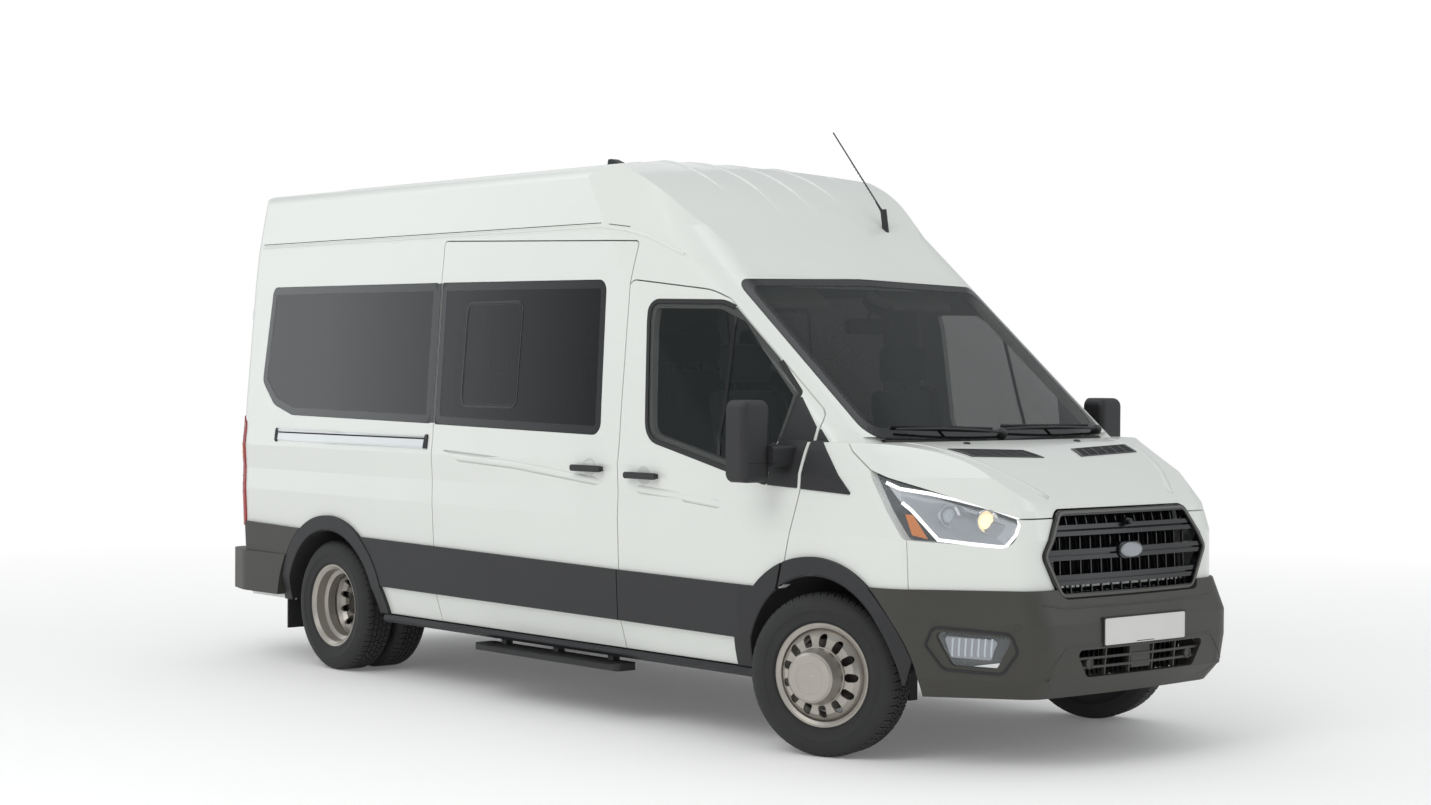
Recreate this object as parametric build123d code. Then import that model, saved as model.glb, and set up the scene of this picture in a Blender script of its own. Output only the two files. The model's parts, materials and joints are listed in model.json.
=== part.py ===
"""High-roof, long-wheelbase minibus with twin rear wheels, as an assembly of separate pieces.

Frame: +X forward, +Y left, +Z up, millimetres.  The origin is on the ground, at the
middle of the length and of the width.  Each node is written to parts/NODE.step.
"""
import os
from math import atan, cos, radians, sin, tan

from build123d import *

# ---------------------------------------------------------------- driving dimensions
WHEELBASE = 3776.0
FRONT_OVERHANG = 997.0
REAR_OVERHANG = 1208.0
LENGTH = FRONT_OVERHANG + WHEELBASE + REAR_OVERHANG
FRONT_AXLE_X = LENGTH / 2 - FRONT_OVERHANG
REAR_AXLE_X = FRONT_AXLE_X - WHEELBASE

TYRE_RADIUS = 349.5
TYRE_WIDTH = 195.0
RIM_RADIUS = 220.0
RIM_WIDTH = 160.0
DISC_OFFSET = 109.5
HAND_HOLES = 13
KINGPIN_Y = 840.0
FRONT_TYRE_Y = 888.0
REAR_OUTER_TYRE_Y = 914.0
TWIN_SPACING = 219.0
STEER_AT_REST = 19.0
AXLE_Z = TYRE_RADIUS

PANEL_GAP = 6.0
TRIM_GAP = 0.3
GLASS_THICK = 6.0
GLASS_INSET = 3.0
DOOR_THICK = 38.0
JAMB_DEPTH = DOOR_THICK + PANEL_GAP
WALL_THICK = 74.0
JAMB_WIDTH = 55.0

BODY_HALF_WIDTH = 1026.0
MIRROR_HALF_WIDTH = 1237.0
SKIRT_Z = 345.0
ROOF_CENTRE_Z = 2693.0
ROOF_EDGE_Z = 2611.0
ROOF_EDGE_Y = 830.0

FLOOR_Z = 690.0
FLOOR_THICK = 60.0
CAB_FLOOR_Z = 600.0


def fx(x):
    """Station measured forward from the front axle."""
    return FRONT_AXLE_X + x


def rx(x):
    """Station measured forward from the rear axle."""
    return REAR_AXLE_X + x


# ---------------------------------------------------------------- outline helpers
def corner_points(rows):
    """Tangent points and arc middle at each corner of a closed outline.

    rows: (u, v, corner radius)
    """
    count = len(rows)
    corners = []
    for i, (u, v, radius) in enumerate(rows):
        here = Vector(u, v)
        to_last = Vector(*rows[i - 1][:2]) - here
        to_next = Vector(*rows[(i + 1) % count][:2]) - here
        if radius <= 0:
            corners.append((here, None, here))
            continue
        half = radians(to_last.get_angle(to_next)) / 2
        reach = radius / tan(half)
        bisector = (to_last.normalized() + to_next.normalized()).normalized()
        middle = here + bisector * (radius / sin(half) - radius)
        corners.append((here + to_last.normalized() * reach, middle, here + to_next.normalized() * reach))
    return corners


def outline(rows, place):
    """Closed face of lines and tangent arcs; place maps (u, v) to a point in space."""
    corners = corner_points(rows)
    edges = []
    for i, (start, middle, end) in enumerate(corners):
        last = corners[i - 1][2]
        if (start - last).length > 1e-6:
            edges.append(Edge.make_line(place(last), place(start)))
        if middle is not None:
            edges.append(Edge.make_three_point_arc(place(start), place(middle), place(end)))
    return Face(Wire(edges))


def side_prism(rows, y0, y1):
    """Outline in (x, z) extruded from y0 to y1."""
    face = outline(rows, lambda p: Vector(p.X, y0, p.Y))
    return extrude(face, y1 - y0, dir=(0, 1, 0))


def plan_prism(rows, z0, z1):
    """Outline in (x, y) extruded from z0 to z1."""
    face = outline(rows, lambda p: Vector(p.X, p.Y, z0))
    return extrude(face, z1 - z0, dir=(0, 0, 1))


def section_prism(rows, x0, x1):
    """Outline in (y, z) extruded from x0 to x1."""
    face = outline(rows, lambda p: Vector(x0, p.X, p.Y))
    return extrude(face, x1 - x0, dir=(1, 0, 0))


def block(x0, x1, y0, y1, z0, z1):
    """Box between two corners."""
    return Pos((x0 + x1) / 2, (y0 + y1) / 2, (z0 + z1) / 2) * Box(abs(x1 - x0), abs(y1 - y0), abs(z1 - z0))


def rod(start, end, radius):
    """Round bar between two points."""
    start, end = Vector(*start), Vector(*end)
    plane = Plane(origin=start, z_dir=end - start)
    return extrude(plane * Circle(radius), (end - start).length)


def biggest(shape):
    """The main solid of a cut, without the slivers that a cut can leave."""
    return max(shape.solids(), key=lambda solid: solid.volume)


def mirrored(shape):
    """The same shape on the other side of the centre plane."""
    return mirror(shape, about=Plane.XZ)


def both_sides(shape):
    """A shape and its mirror image, as one compound."""
    return Compound(children=[*shape.solids(), *mirrored(shape).solids()])


def inset_rows(rows, inset):
    """The outline moved inwards by inset, for a counter-clockwise list of corners."""
    count = len(rows)
    moved = []
    for i, (u, v, radius) in enumerate(rows):
        here = Vector(u, v)
        along_in = (here - Vector(*rows[i - 1][:2])).normalized()
        along_out = (Vector(*rows[(i + 1) % count][:2]) - here).normalized()
        normal_in = Vector(-along_in.Y, along_in.X)
        normal_out = Vector(-along_out.Y, along_out.X)
        share = 1 + normal_in.dot(normal_out)
        shift = (normal_in + normal_out) * (inset / share)
        turn = along_in.X * along_out.Y - along_in.Y * along_out.X
        new_radius = radius - inset if turn > 0 else radius + inset
        moved.append((u + shift.X, v + shift.Y, max(new_radius, 1.0) if radius > 0 else 0.0))
    return moved


# ---------------------------------------------------------------- body envelope
NOSE_BOW_RADIUS = 5000.0
NOSE_CORNER_RADIUS = 150.0
WING_CORNER_RADIUS = 220.0
REAR_CORNER_RADIUS = 70.0

REAR_FACE_X = REAR_AXLE_X - 972.5
SIDE_TAPER = fx(-430)

# columns: z, half width, start of the taper, wing corner x, y, nose corner x, y, nose x at the centre
LOWER_LEVELS = [
    (SKIRT_Z, 960, SIDE_TAPER, fx(414), 925, fx(854), 560, fx(879)),
    (480, 1000, SIDE_TAPER, fx(434), 950, fx(868), 580, fx(896)),
    (720, 1013, SIDE_TAPER, fx(454), 962, fx(886), 590, fx(922)),
    (950, 1022, SIDE_TAPER, fx(474), 962, fx(880), 595, fx(901)),
    (1068, 1018, SIDE_TAPER, fx(434), 958, fx(852), 575, fx(859)),
    (1200, 1024, SIDE_TAPER, fx(354), 950, fx(734), 560, fx(774)),
    (1300, 1012, SIDE_TAPER, fx(244), 910, fx(574), 540, fx(614)),
    (1370, 1003, SIDE_TAPER, fx(174), 870, fx(454), 520, fx(494)),
]
UPPER_LEVELS = [
    (1240, 1017, fx(-434), fx(252), 871, fx(312), 560, fx(344)),
    (1480, 1000, fx(-750), fx(-26), 858, fx(9), 560, fx(34)),
    (2110, 946, fx(-1340), fx(-776), 842, fx(-784), 560, fx(-774)),
    (2310, 922, fx(-1500), fx(-1016), 820, fx(-1016), 560, fx(-1006)),
    (2560, 874, fx(-1700), fx(-1245), 792, fx(-1210), 540, fx(-1190)),
    (2720, 842, fx(-1800), fx(-1345), 770, fx(-1310), 530, fx(-1290)),
]
# bonnet line on the centre plane: rear end, crown, front end
BONNET_REAR = (fx(229), 1335.0)
BONNET_CROWN = (fx(491), 1286.0)
BONNET_FRONT = (fx(858), 1072.0)
ROOF_FRONT_SLOPE = 0.8
ROOF_BEND_X = fx(-1478)
ROOF_BEND_RADIUS = 1200.0
ROOF_EDGE_RADIUS = 90.0
ROOF_CROWN_RADIUS = 4000.0


def level_rows(half, taper_x, wing_x, wing_y, nose_x, nose_y, centre_x):
    """Counter-clockwise plan outline of one level of the body."""
    left = [
        (wing_x, wing_y, WING_CORNER_RADIUS),
        (taper_x, half, 0),
        (REAR_FACE_X, half, REAR_CORNER_RADIUS),
    ]
    right = [(x, -y, radius) for x, y, radius in reversed(left)]
    return [
        (nose_x, -nose_y, NOSE_CORNER_RADIUS),
        (centre_x, 0, NOSE_BOW_RADIUS),
        (nose_x, nose_y, NOSE_CORNER_RADIUS),
        *left,
        *right,
    ]


def level_loft(levels, inset):
    """Ruled loft through the plan outlines of a table of levels."""
    sections = []
    for z, *row in levels:
        rows = inset_rows(level_rows(*row), inset)
        sections.append(outline(rows, lambda p, z=z: Vector(p.X, p.Y, z)))
    return loft(sections, ruled=True)


def bonnet_limit(inset):
    """Everything under the bonnet line."""
    rear, crown, front = [Vector(x, 0, z - inset) for x, z in (BONNET_REAR, BONNET_CROWN, BONNET_FRONT)]
    back = Vector(REAR_FACE_X - 100, 0, rear.Z)
    ahead = Vector(LENGTH, 0, front.Z)
    low_ahead = Vector(LENGTH, 0, 0)
    low_back = Vector(back.X, 0, 0)
    edges = [
        Edge.make_line(back, rear),
        Edge.make_three_point_arc(rear, crown, front),
        Edge.make_line(front, ahead),
        Edge.make_line(ahead, low_ahead),
        Edge.make_line(low_ahead, low_back),
        Edge.make_line(low_back, back),
    ]
    face = Pos(0, -LENGTH / 4, 0) * Face(Wire(edges))
    return extrude(face, LENGTH / 2, dir=(0, 1, 0))


def roof_limit(inset):
    """Everything under the roof: side profile with its front bend, crossed with the crown."""
    top = ROOF_CENTRE_Z - inset
    bend_z = top - 20
    foot_x = ROOF_BEND_X + bend_z / ROOF_FRONT_SLOPE
    rows = [
        (REAR_FACE_X + inset, 0, 0),
        (foot_x, 0, 0),
        (ROOF_BEND_X, bend_z, ROOF_BEND_RADIUS),
        (fx(-2526), top, 9000),
        (REAR_FACE_X + inset, top - 45, 110),
    ]
    profile = side_prism(rows, -LENGTH / 4, LENGTH / 4)
    peak = top + 18
    edge_y, edge_z = ROOF_EDGE_Y + 32 - inset, ROOF_EDGE_Z - inset
    foot_y = edge_y + edge_z * 0.242
    crown = [
        (-foot_y, 0, 0),
        (foot_y, 0, 0),
        (edge_y, edge_z, ROOF_EDGE_RADIUS),
        (0, peak, ROOF_CROWN_RADIUS),
        (-edge_y, edge_z, ROOF_EDGE_RADIUS),
    ]
    return profile & section_prism(crown, REAR_FACE_X - 100, LENGTH)


class Envelope:
    """Body surface moved inwards by inset: the nose part, the cabin part and both together."""

    def __init__(self, inset):
        self.nose = level_loft(LOWER_LEVELS, inset) & bonnet_limit(inset)
        self.cabin = level_loft(UPPER_LEVELS, inset) & roof_limit(inset)
        self.whole = self.nose + self.cabin



# ---------------------------------------------------------------- panel outlines
# side outlines are rows of (x, z, corner radius)
FRONT_ARCH = (fx(46), 358.0, 417.0)
REAR_ARCH = (rx(-5), 314.0, 448.0)
FRONT_ARCH_TRIM = (fx(25), 356.0, 496.0)
REAR_ARCH_TRIM = (rx(-5), 314.0, 524.0)
LINER_CLEAR = 23.0
LINER_WALL = 6.0
DOOR_SPLIT_X = fx(-1276)

BELOW_SKIRT_Z = SKIRT_Z - 30
FRONT_DOOR = [
    (DOOR_SPLIT_X + PANEL_GAP / 2, BELOW_SKIRT_Z, 0),
    (fx(-320), BELOW_SKIRT_Z, 0),
    (fx(-178), 745, 60),
    (fx(-133), 920, 150),
    (fx(-68), 1140, 200),
    (fx(-58), 1440, 60),
    (fx(-143), 1560, 60),
    (fx(-553), 1900, 200),
    (fx(-793), 2000, 300),
    (DOOR_SPLIT_X + PANEL_GAP / 2, 2055, 30),
]
FRONT_WINDOW = [
    (fx(-1082), 1325, 100),
    (fx(-262), 1150, 20),
    (fx(-200), 1545, 20),
    (fx(-563), 1885, 90),
    (fx(-710), 1948, 120),
    (fx(-1132), 1957, 45),
]
SLIDING_DOOR = [
    (fx(-2778), BELOW_SKIRT_Z, 0),
    (DOOR_SPLIT_X - PANEL_GAP / 2, BELOW_SKIRT_Z, 0),
    (DOOR_SPLIT_X - PANEL_GAP / 2, 2236, 20),
    (fx(-2823), 2288, 20),
]
SLIDING_WINDOW = [
    (fx(-2795), 1353, 12),
    (fx(-1420), 1330, 60),
    (fx(-1453), 2062, 60),
    (fx(-2812), 2078, 12),
]
REAR_WINDOW = [
    (rx(-760), 1560, 60),
    (rx(-620), 1430, 120),
    (rx(-420), 1374, 200),
    (fx(-2835), 1356, 12),
    (fx(-2850), 2078, 12),
    (rx(-717), 2090, 45),
]
ROOF_SEAM = [
    (REAR_FACE_X - 50, 2305),
    (fx(-1440), 2300),
    (fx(-1240), 2258),
    (fx(-990), 2165),
    (fx(-730), 2071),
]
PILLAR_FOOT = [(fx(-52), 1425), (fx(118), 1358)]
BONNET_SHUT = [(fx(110), 1362), (fx(177), 1304), (fx(304), 1228), (fx(834), 1040)]
LAMP_OUTLINE = [
    (fx(306), 1220, 12),
    (fx(494), 950, 25),
    (fx(838), 915, 50),
    (fx(838), 1031, 40),
]
BUMPER_TOP_Z = 745.0
NOSE_SEAM_X = fx(506)

# outlines across the body are rows of (y, z, corner radius)
SCREEN = [
    (-772, 1352, 70),
    (0, 1334, 0),
    (772, 1352, 70),
    (778, 2052, 60),
    (0, 2072, 0),
    (-778, 2052, 60),
]
REAR_DOOR = [
    (PANEL_GAP / 2, 625, 10),
    (880, 625, 60),
    (884, 1200, 0),
    (842, 2250, 200),
    (770, 2500, 120),
    (PANEL_GAP / 2, 2500, 10),
]
REAR_DOOR_WINDOW = [(130, 1380, 70), (745, 1380, 70), (735, 2070, 70), (130, 2070, 70)]
GRILLE = [
    (-432, 706, 45),
    (432, 706, 45),
    (530, 885, 40),
    (412, 1068, 45),
    (-412, 1068, 45),
    (-530, 885, 40),
]
SCREEN_EDGE_Y = 845.0
DOOR_HINGE_X = fx(-46)
DOOR_HINGE_Y = 1012.0
REAR_HINGE_X = REAR_FACE_X - 12.0
REAR_HINGE_Y = 902.0
BONNET_HINGE = (fx(112), 1352.0)


def across(rows, y0=0.0, y1=1200.0):
    """Side outline extruded over the left half of the body."""
    return side_prism(rows, y0, y1)


def arch_bar(arch, extra=0.0, y0=500.0, y1=1200.0):
    """Round bar through a wheel arch of the left side."""
    x, z, radius = arch
    return rod((x, y0, z), (x, y1, z), radius + extra)


def shrunk(rows, amount):
    """Outline moved inwards, without its sharpest arcs."""
    return inset_rows(rows, amount)


def grown(rows, amount):
    """Outline moved outwards."""
    return inset_rows(rows, -amount)


# ---------------------------------------------------------------- body shell
PANE_OUT = 1.5
PANE_IN = PANE_OUT + GLASS_THICK
REBATE = PANE_IN + 0.3
BORDER = 34.0
TRIM_PROUD = 16.0
ARCH_PROUD = 20.0
SAIL_PROUD = 6.0
SKIN = Envelope(0)
PANE_OUTER = Envelope(PANE_OUT)
PANE_INNER = Envelope(PANE_IN)
REBATE_FLOOR = Envelope(REBATE)
DOOR_INNER = Envelope(DOOR_THICK)
JAMB_OUTER = Envelope(JAMB_DEPTH)
WALL_INNER = Envelope(WALL_THICK)
SEAL_FACE = Envelope(DOOR_THICK + TRIM_GAP)
TRIM_FACE = Envelope(-TRIM_GAP)
TRIM_OUTER = Envelope(-TRIM_PROUD)
ARCH_OUTER = Envelope(-ARCH_PROUD)
SAIL_OUTER = Envelope(-SAIL_PROUD)
DOOR_SHELL = SKIN.whole - DOOR_INNER.whole
OUTER_SHELL = SKIN.whole - JAMB_OUTER.whole
WALL_SHELL = SKIN.whole - WALL_INNER.whole
PANE_SHELL = PANE_OUTER.whole - PANE_INNER.whole
REBATE_SHELL = SKIN.whole - REBATE_FLOOR.whole
SEAL_SHELL = SEAL_FACE.whole - JAMB_OUTER.whole


def proud(outer, zone):
    """Part that lies on the body skin inside a zone, as far out as an outer envelope."""
    return (outer.whole & zone) - TRIM_FACE.whole


def glazed(panel, rows):
    """Cut a rebate for a pane and the hole inside its border from a panel."""
    panel -= REBATE_SHELL & across(rows, 700)
    return panel - across(shrunk(rows, BORDER), 700)


def pane(rows):
    """Flush pane that fits the rebate of the same outline."""
    return PANE_SHELL & across(shrunk(rows, TRIM_GAP), 700)


def side_region():
    """Outline of the body side, from the rear face to the screen pillar."""
    rows = [(REAR_FACE_X - 60, SKIRT_Z, 0), (PILLAR_FOOT[0][0], SKIRT_Z, 0)]
    rows += [(x, z, 0) for x, z in PILLAR_FOOT]
    rows += [(fx(400), PILLAR_FOOT[1][1], 0), (fx(400), ROOF_SEAM[-1][1] - 40, 0)]
    rows += [(x, z - TRIM_GAP, 0) for x, z in reversed(ROOF_SEAM)]
    return rows


def wing_region():
    """Outline of the front wing between the door, the bumper, the lamp and the bonnet."""
    back = [(x + PANEL_GAP, z, radius) for x, z, radius in FRONT_DOOR[2:6]]
    rows = [(fx(-320), SKIRT_Z + 60, 0), (NOSE_SEAM_X, SKIRT_Z + 60, 0), (NOSE_SEAM_X, 950, 0)]
    rows += [(fx(304), 1220, 0)]
    rows += [(x, z - PANEL_GAP, 0) for x, z in reversed(BONNET_SHUT[:3])]
    rows += [(PILLAR_FOOT[1][0], PILLAR_FOOT[1][1] - TRIM_GAP, 0)]
    rows += [(PILLAR_FOOT[0][0], PILLAR_FOOT[0][1] - TRIM_GAP, 0)]
    rows += [(x, z, 0) for x, z, _ in reversed(back[:3])]
    return rows


def side_wall(door_outlines, windows):
    """One body side: double-skin wall, jambs round its doors, rear corner and screen pillar."""
    wall = WALL_SHELL & across(side_region())
    wall -= OUTER_SHELL & across([(fx(-330), SKIRT_Z - 5, 0), *wing_back_rows()])
    for rows in door_outlines:
        wall -= OUTER_SHELL & across(grown(rows, PANEL_GAP), SCREEN_EDGE_Y - PANEL_GAP)
        wall -= across(shrunk(rows, JAMB_WIDTH), SCREEN_EDGE_Y - 50)
        wall += SEAL_SHELL & (across(shrunk(rows, 20), 500) - across(shrunk(rows, 34), 500))
    for rows in windows:
        wall = glazed(wall, rows)
    wall -= arch_bar(REAR_ARCH)
    wall -= arch_bar(FRONT_ARCH, LINER_CLEAR)
    wall -= screen_prism(grown(SCREEN, TRIM_GAP), 0) & REBATE_CUT
    wall -= screen_prism(shrunk(SCREEN, BORDER), 0)
    wall -= rear_prism(grown(REAR_DOOR, PANEL_GAP)) & OUTER_SHELL
    wall -= rear_prism(shrunk(REAR_DOOR, JAMB_WIDTH))
    wall -= tail_lamp_prism(PANEL_GAP)
    wall -= block(REAR_FACE_X - 50, REAR_FACE_X + 200, 0, REAR_DOOR[1][0] - JAMB_WIDTH, 0, FLOOR_Z + 10)
    swing = across(grown(FRONT_DOOR, PANEL_GAP), SCREEN_EDGE_Y - PANEL_GAP)
    wall -= swing & block(fx(-430), fx(0), 0, 1200, 1290, 1720)
    return biggest(wall + rear_hinge_body())


def wing_back_rows():
    """Outline of the pillar zone that the wing covers, ahead of the front door."""
    rows = [(PILLAR_FOOT[0][0] + 20, SKIRT_Z - 5, 0), (PILLAR_FOOT[0][0] + 20, PILLAR_FOOT[0][1] - 8, 0)]
    rows += [(PILLAR_FOOT[0][0] - 60, PILLAR_FOOT[0][1] + 15, 0), (fx(-140), 900, 0)]
    return rows


def screen_prism(rows, grow):
    """Windscreen outline extruded along the car."""
    return section_prism(grown(rows, grow) if grow else rows, fx(-760), fx(420))


def rear_prism(rows):
    """Rear door outline extruded through the rear wall."""
    return section_prism(rows, REAR_FACE_X - 60, REAR_FACE_X + 120)


REBATE_CUT = SKIN.cabin - REBATE_FLOOR.cabin


def build_body():
    """Fixed body panels and their glass."""
    nodes = {}
    left_panes = [SLIDING_WINDOW, REAR_WINDOW]
    nodes["side_wall_left"] = side_wall([FRONT_DOOR], left_panes)
    nodes["side_wall_right"] = mirrored(side_wall([FRONT_DOOR, SLIDING_DOOR], [REAR_WINDOW]))
    seam = [(x, z, 0) for x, z in ROOF_SEAM]
    above = [(fx(-640), 2071, 0), (fx(-640), 2900, 0), (REAR_FACE_X - 50, 2900, 0)]
    roof = OUTER_SHELL & side_prism([*seam, *above], -1100, 1100)
    roof -= screen_prism(grown(SCREEN, TRIM_GAP), 0)
    rear_cut = rear_prism(grown(REAR_DOOR, PANEL_GAP))
    nodes["roof"] = roof - rear_cut - mirrored(rear_cut)
    door = DOOR_SHELL & across(SLIDING_DOOR)
    nodes["sliding_door"] = mirrored(glazed(door, SLIDING_WINDOW))
    panes = pane(SLIDING_WINDOW) + pane(REAR_WINDOW)
    nodes["side_glass"] = Compound(children=[*panes.solids(), *mirrored(panes).solids()])
    screen = PANE_OUTER.cabin - PANE_INNER.cabin
    nodes["windscreen"] = screen & screen_prism(shrunk(SCREEN, TRIM_GAP), 0)
    return nodes


def build_nose():
    """Wings, white nose panel, bonnet, bumper, grille and lamps."""
    nodes = {}
    lamp = side_prism(LAMP_OUTLINE, 400, 1200)
    lamp_hole = side_prism(grown(LAMP_OUTLINE, TRIM_GAP * 3), 400, 1200)
    grille_hole = section_prism(grown(GRILLE, TRIM_GAP * 3), fx(500), LENGTH)
    wing = DOOR_SHELL & across(wing_region())
    wing -= arch_bar(FRONT_ARCH)
    wing -= lamp_hole
    wing -= block(fx(0), LENGTH, 0, 1200, 0, BUMPER_TOP_Z)
    wing -= cabin_clearance()
    nodes["front_wings"] = both_sides(max(wing.solids(), key=lambda s: s.volume))
    panel_rows = [
        (NOSE_SEAM_X + 3, BUMPER_TOP_Z + TRIM_GAP, 0),
        (LENGTH / 2, BUMPER_TOP_Z + TRIM_GAP, 0),
        (LENGTH / 2, BONNET_SHUT[3][1] - PANEL_GAP, 0),
        (BONNET_SHUT[3][0], BONNET_SHUT[3][1] - PANEL_GAP, 0),
        (NOSE_SEAM_X + 3, 1100, 0),
    ]
    panel = DOOR_SHELL & side_prism(panel_rows, -1200, 1200)
    panel -= lamp_hole
    panel -= mirrored(lamp_hole)
    panel -= grille_hole
    tie = DOOR_INNER.nose & block(NOSE_SEAM_X, LENGTH / 2, -560, 560, BUMPER_TOP_Z + 1, BUMPER_TOP_Z + 40)
    panel += tie - WALL_INNER.nose
    nodes["nose_panel"] = panel
    shut = [(x, z, 0) for x, z in BONNET_SHUT]
    bonnet_rows = [*shut, (LENGTH / 2, BONNET_SHUT[3][1], 0), (LENGTH / 2, 1700, 0), (BONNET_SHUT[0][0], 1700, 0)]
    bonnet = (SKIN.nose - DOOR_INNER.nose) & side_prism(bonnet_rows, -1200, 1200)
    bonnet -= Envelope(-PANEL_GAP).cabin
    bonnet -= section_prism(grown(GRILLE, PANEL_GAP), fx(500), LENGTH)
    nodes["bonnet"] = max(bonnet.solids(), key=lambda s: s.volume)
    fog = side_prism(FOG_OUTLINE, 600, 1200)
    fog = (level_loft(BUMPER_LEVELS, FOG_DEPTH) & fog) - level_loft(BUMPER_LEVELS, BUMPER_WALL)
    lamps = [biggest((SKIN.nose & lamp) - WALL_INNER.nose - grille_hole), biggest(fog)]
    nodes["front_lamps"] = Compound(children=[*lamps, *[mirrored(part) for part in lamps]])
    return nodes


def cabin_clearance():
    """Cabin volume with a panel gap, which the nose panels stay clear of."""
    return JAMB_OUTER.cabin



def tail_lamp_prism(grow):
    """Zone of the tail lamp on the left rear corner."""
    rows = [
        (REAR_FACE_X - 40, 738 - grow, 0),
        (rx(-897), 738 - grow, 0),
        (rx(-890), 790, 0),
        (rx(-900), 1320 + grow, 0),
        (rx(-950), 1362 + grow, 0),
        (REAR_FACE_X - 40, 1362 + grow, 0),
    ]
    return side_prism(rows, REAR_HINGE_Y + 12 - grow, 1200) - JAMB_OUTER.whole


REAR_HINGES = (690.0, 1965.0)
HINGE_RADIUS = 9.0
HINGE_HEIGHT = 55.0


def rear_hinge_body():
    """Lower barrels of the left rear door's hinges, on the corner pillar."""
    parts = []
    for z in REAR_HINGES:
        foot = (REAR_HINGE_X, REAR_HINGE_Y, z - HINGE_HEIGHT)
        top = (REAR_HINGE_X, REAR_HINGE_Y, z - TRIM_GAP / 2)
        leaf = block(REAR_HINGE_X - 3, REAR_FACE_X + 4, REAR_HINGE_Y, REAR_HINGE_Y + 26, foot[2], top[2])
        parts.append(rod(foot, top, HINGE_RADIUS) + leaf)
    return parts[0] + parts[1]


def rear_hinge_door():
    """Upper barrels of the left rear door's hinges, on the door."""
    parts = []
    for z in REAR_HINGES:
        foot = (REAR_HINGE_X, REAR_HINGE_Y, z + TRIM_GAP / 2)
        top = (REAR_HINGE_X, REAR_HINGE_Y, z + HINGE_HEIGHT)
        leaf = block(REAR_HINGE_X - 3, REAR_FACE_X - 1, REAR_HINGE_Y - 80, REAR_HINGE_Y, foot[2], top[2])
        leaf += block(REAR_HINGE_X, REAR_FACE_X + 4, REAR_HINGE_Y - 80, REAR_HINGE_Y - 56, foot[2], top[2])
        parts.append(rod(foot, top, HINGE_RADIUS) + leaf - SKIN.whole)
    return parts[0] + parts[1]


def build_doors():
    """Front and rear doors with their glass and trim; both sides are mirror images."""
    nodes = {}
    door = glazed(DOOR_SHELL & across(FRONT_DOOR, SCREEN_EDGE_Y), FRONT_WINDOW)
    door -= arch_bar(FRONT_ARCH)
    door -= arch_bar(FRONT_ARCH, LINER_CLEAR + PANEL_GAP, 500, ARCH_SKIN_Y)
    glass = pane(FRONT_WINDOW)
    trim = door_trim()
    rear = rear_prism(REAR_DOOR) & DOOR_SHELL
    rear -= rear_prism(REAR_DOOR_WINDOW) & REBATE_SHELL
    rear -= rear_prism(shrunk(REAR_DOOR_WINDOW, BORDER))
    rear += rear_hinge_door()
    rear_glass = rear_prism(shrunk(REAR_DOOR_WINDOW, TRIM_GAP)) & PANE_SHELL
    made = {
        "front_door": biggest(door),
        "front_door_glass": biggest(glass - block(fx(-1300), fx(0), 0, SCREEN_EDGE_Y, 1100, 2100)),
        "front_door_trim": trim,
        "rear_door": biggest(rear),
        "rear_door_glass": biggest(rear_glass),
    }
    for name, shape in made.items():
        nodes[f"{name}_left"] = shape
        nodes[f"{name}_right"] = mirrored(shape)
    return nodes


ARCH_SKIN_Y = 990.0
SAIL = [(fx(-255), 1145, 4), (fx(-84), 1138, 4), (fx(-72), 1398, 4), (fx(-190), 1530, 4)]
WING_SAIL = [(fx(-60), 1136, 2), (fx(226), 1122, 6), (fx(-50), 1392, 2)]
CLADDING_LOW_Z = 478.0
CLADDING_HIGH_Z = 712.0
MIRROR_X = fx(-214)
MIRROR_Z = 1337.0
HANDLE_Z = 1155.0
HANDLE_X = fx(-1080)


def arch_ring(trim_arch, arch):
    """Moulding round a wheel arch of the left side."""
    ring = arch_bar(trim_arch) - arch_bar(arch, 2)
    ring &= block(trim_arch[0] - 600, trim_arch[0] + 600, 900, 1200, 335, 900)
    return proud(ARCH_OUTER, ring)


def handle(x, z, y_skin):
    """Pull handle on two feet, on the left side."""
    length, height, reach = 225.0, 30.0, 34.0
    bar = block(x - length / 2, x + length / 2, y_skin + reach - 16, y_skin + reach, z - height / 2, z + height / 2)
    bar = fillet(bar.edges().filter_by(Axis.Y), 13)
    feet = [block(x + dx - 18, x + dx + 18, y_skin - 20, y_skin + reach - 10, z - 11, z + 11) for dx in (-80, 80)]
    return biggest((bar + feet[0] + feet[1]) - TRIM_FACE.whole)


def door_trim():
    """Sail, mirror, handle and lower cladding of the left front door."""
    sail = proud(SAIL_OUTER, across(SAIL))
    housing = block(MIRROR_X - 55, MIRROR_X + 62, 1082, MIRROR_HALF_WIDTH, 1161, 1513)
    housing = fillet(housing.edges().filter_by(Axis.X), 42)
    housing = fillet(housing.faces().sort_by(Axis.X)[-1].edges(), 30)
    arm = side_prism([(fx(-250), 1240, 12), (fx(-120), 1228, 12), (fx(-120), 1318, 12), (fx(-250), 1322, 12)], 960, 1100)
    mirror_part = sail + (arm - TRIM_FACE.whole) + housing
    cladding_rows = [
        (DOOR_SPLIT_X + PANEL_GAP / 2, CLADDING_LOW_Z, 0),
        (fx(-300), CLADDING_LOW_Z - 8, 0),
        (fx(-300), CLADDING_HIGH_Z - 8, 0),
        (DOOR_SPLIT_X + PANEL_GAP / 2, CLADDING_HIGH_Z, 0),
    ]
    cladding = proud(TRIM_OUTER, across(cladding_rows))
    cladding = (cladding - arch_bar(FRONT_ARCH_TRIM)) + (arch_ring(FRONT_ARCH_TRIM, FRONT_ARCH) & across(shrunk(FRONT_DOOR, 2)))
    solids = [biggest(mirror_part), handle(HANDLE_X, HANDLE_Z, 1024), biggest(cladding)]
    return Compound(children=solids)


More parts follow.
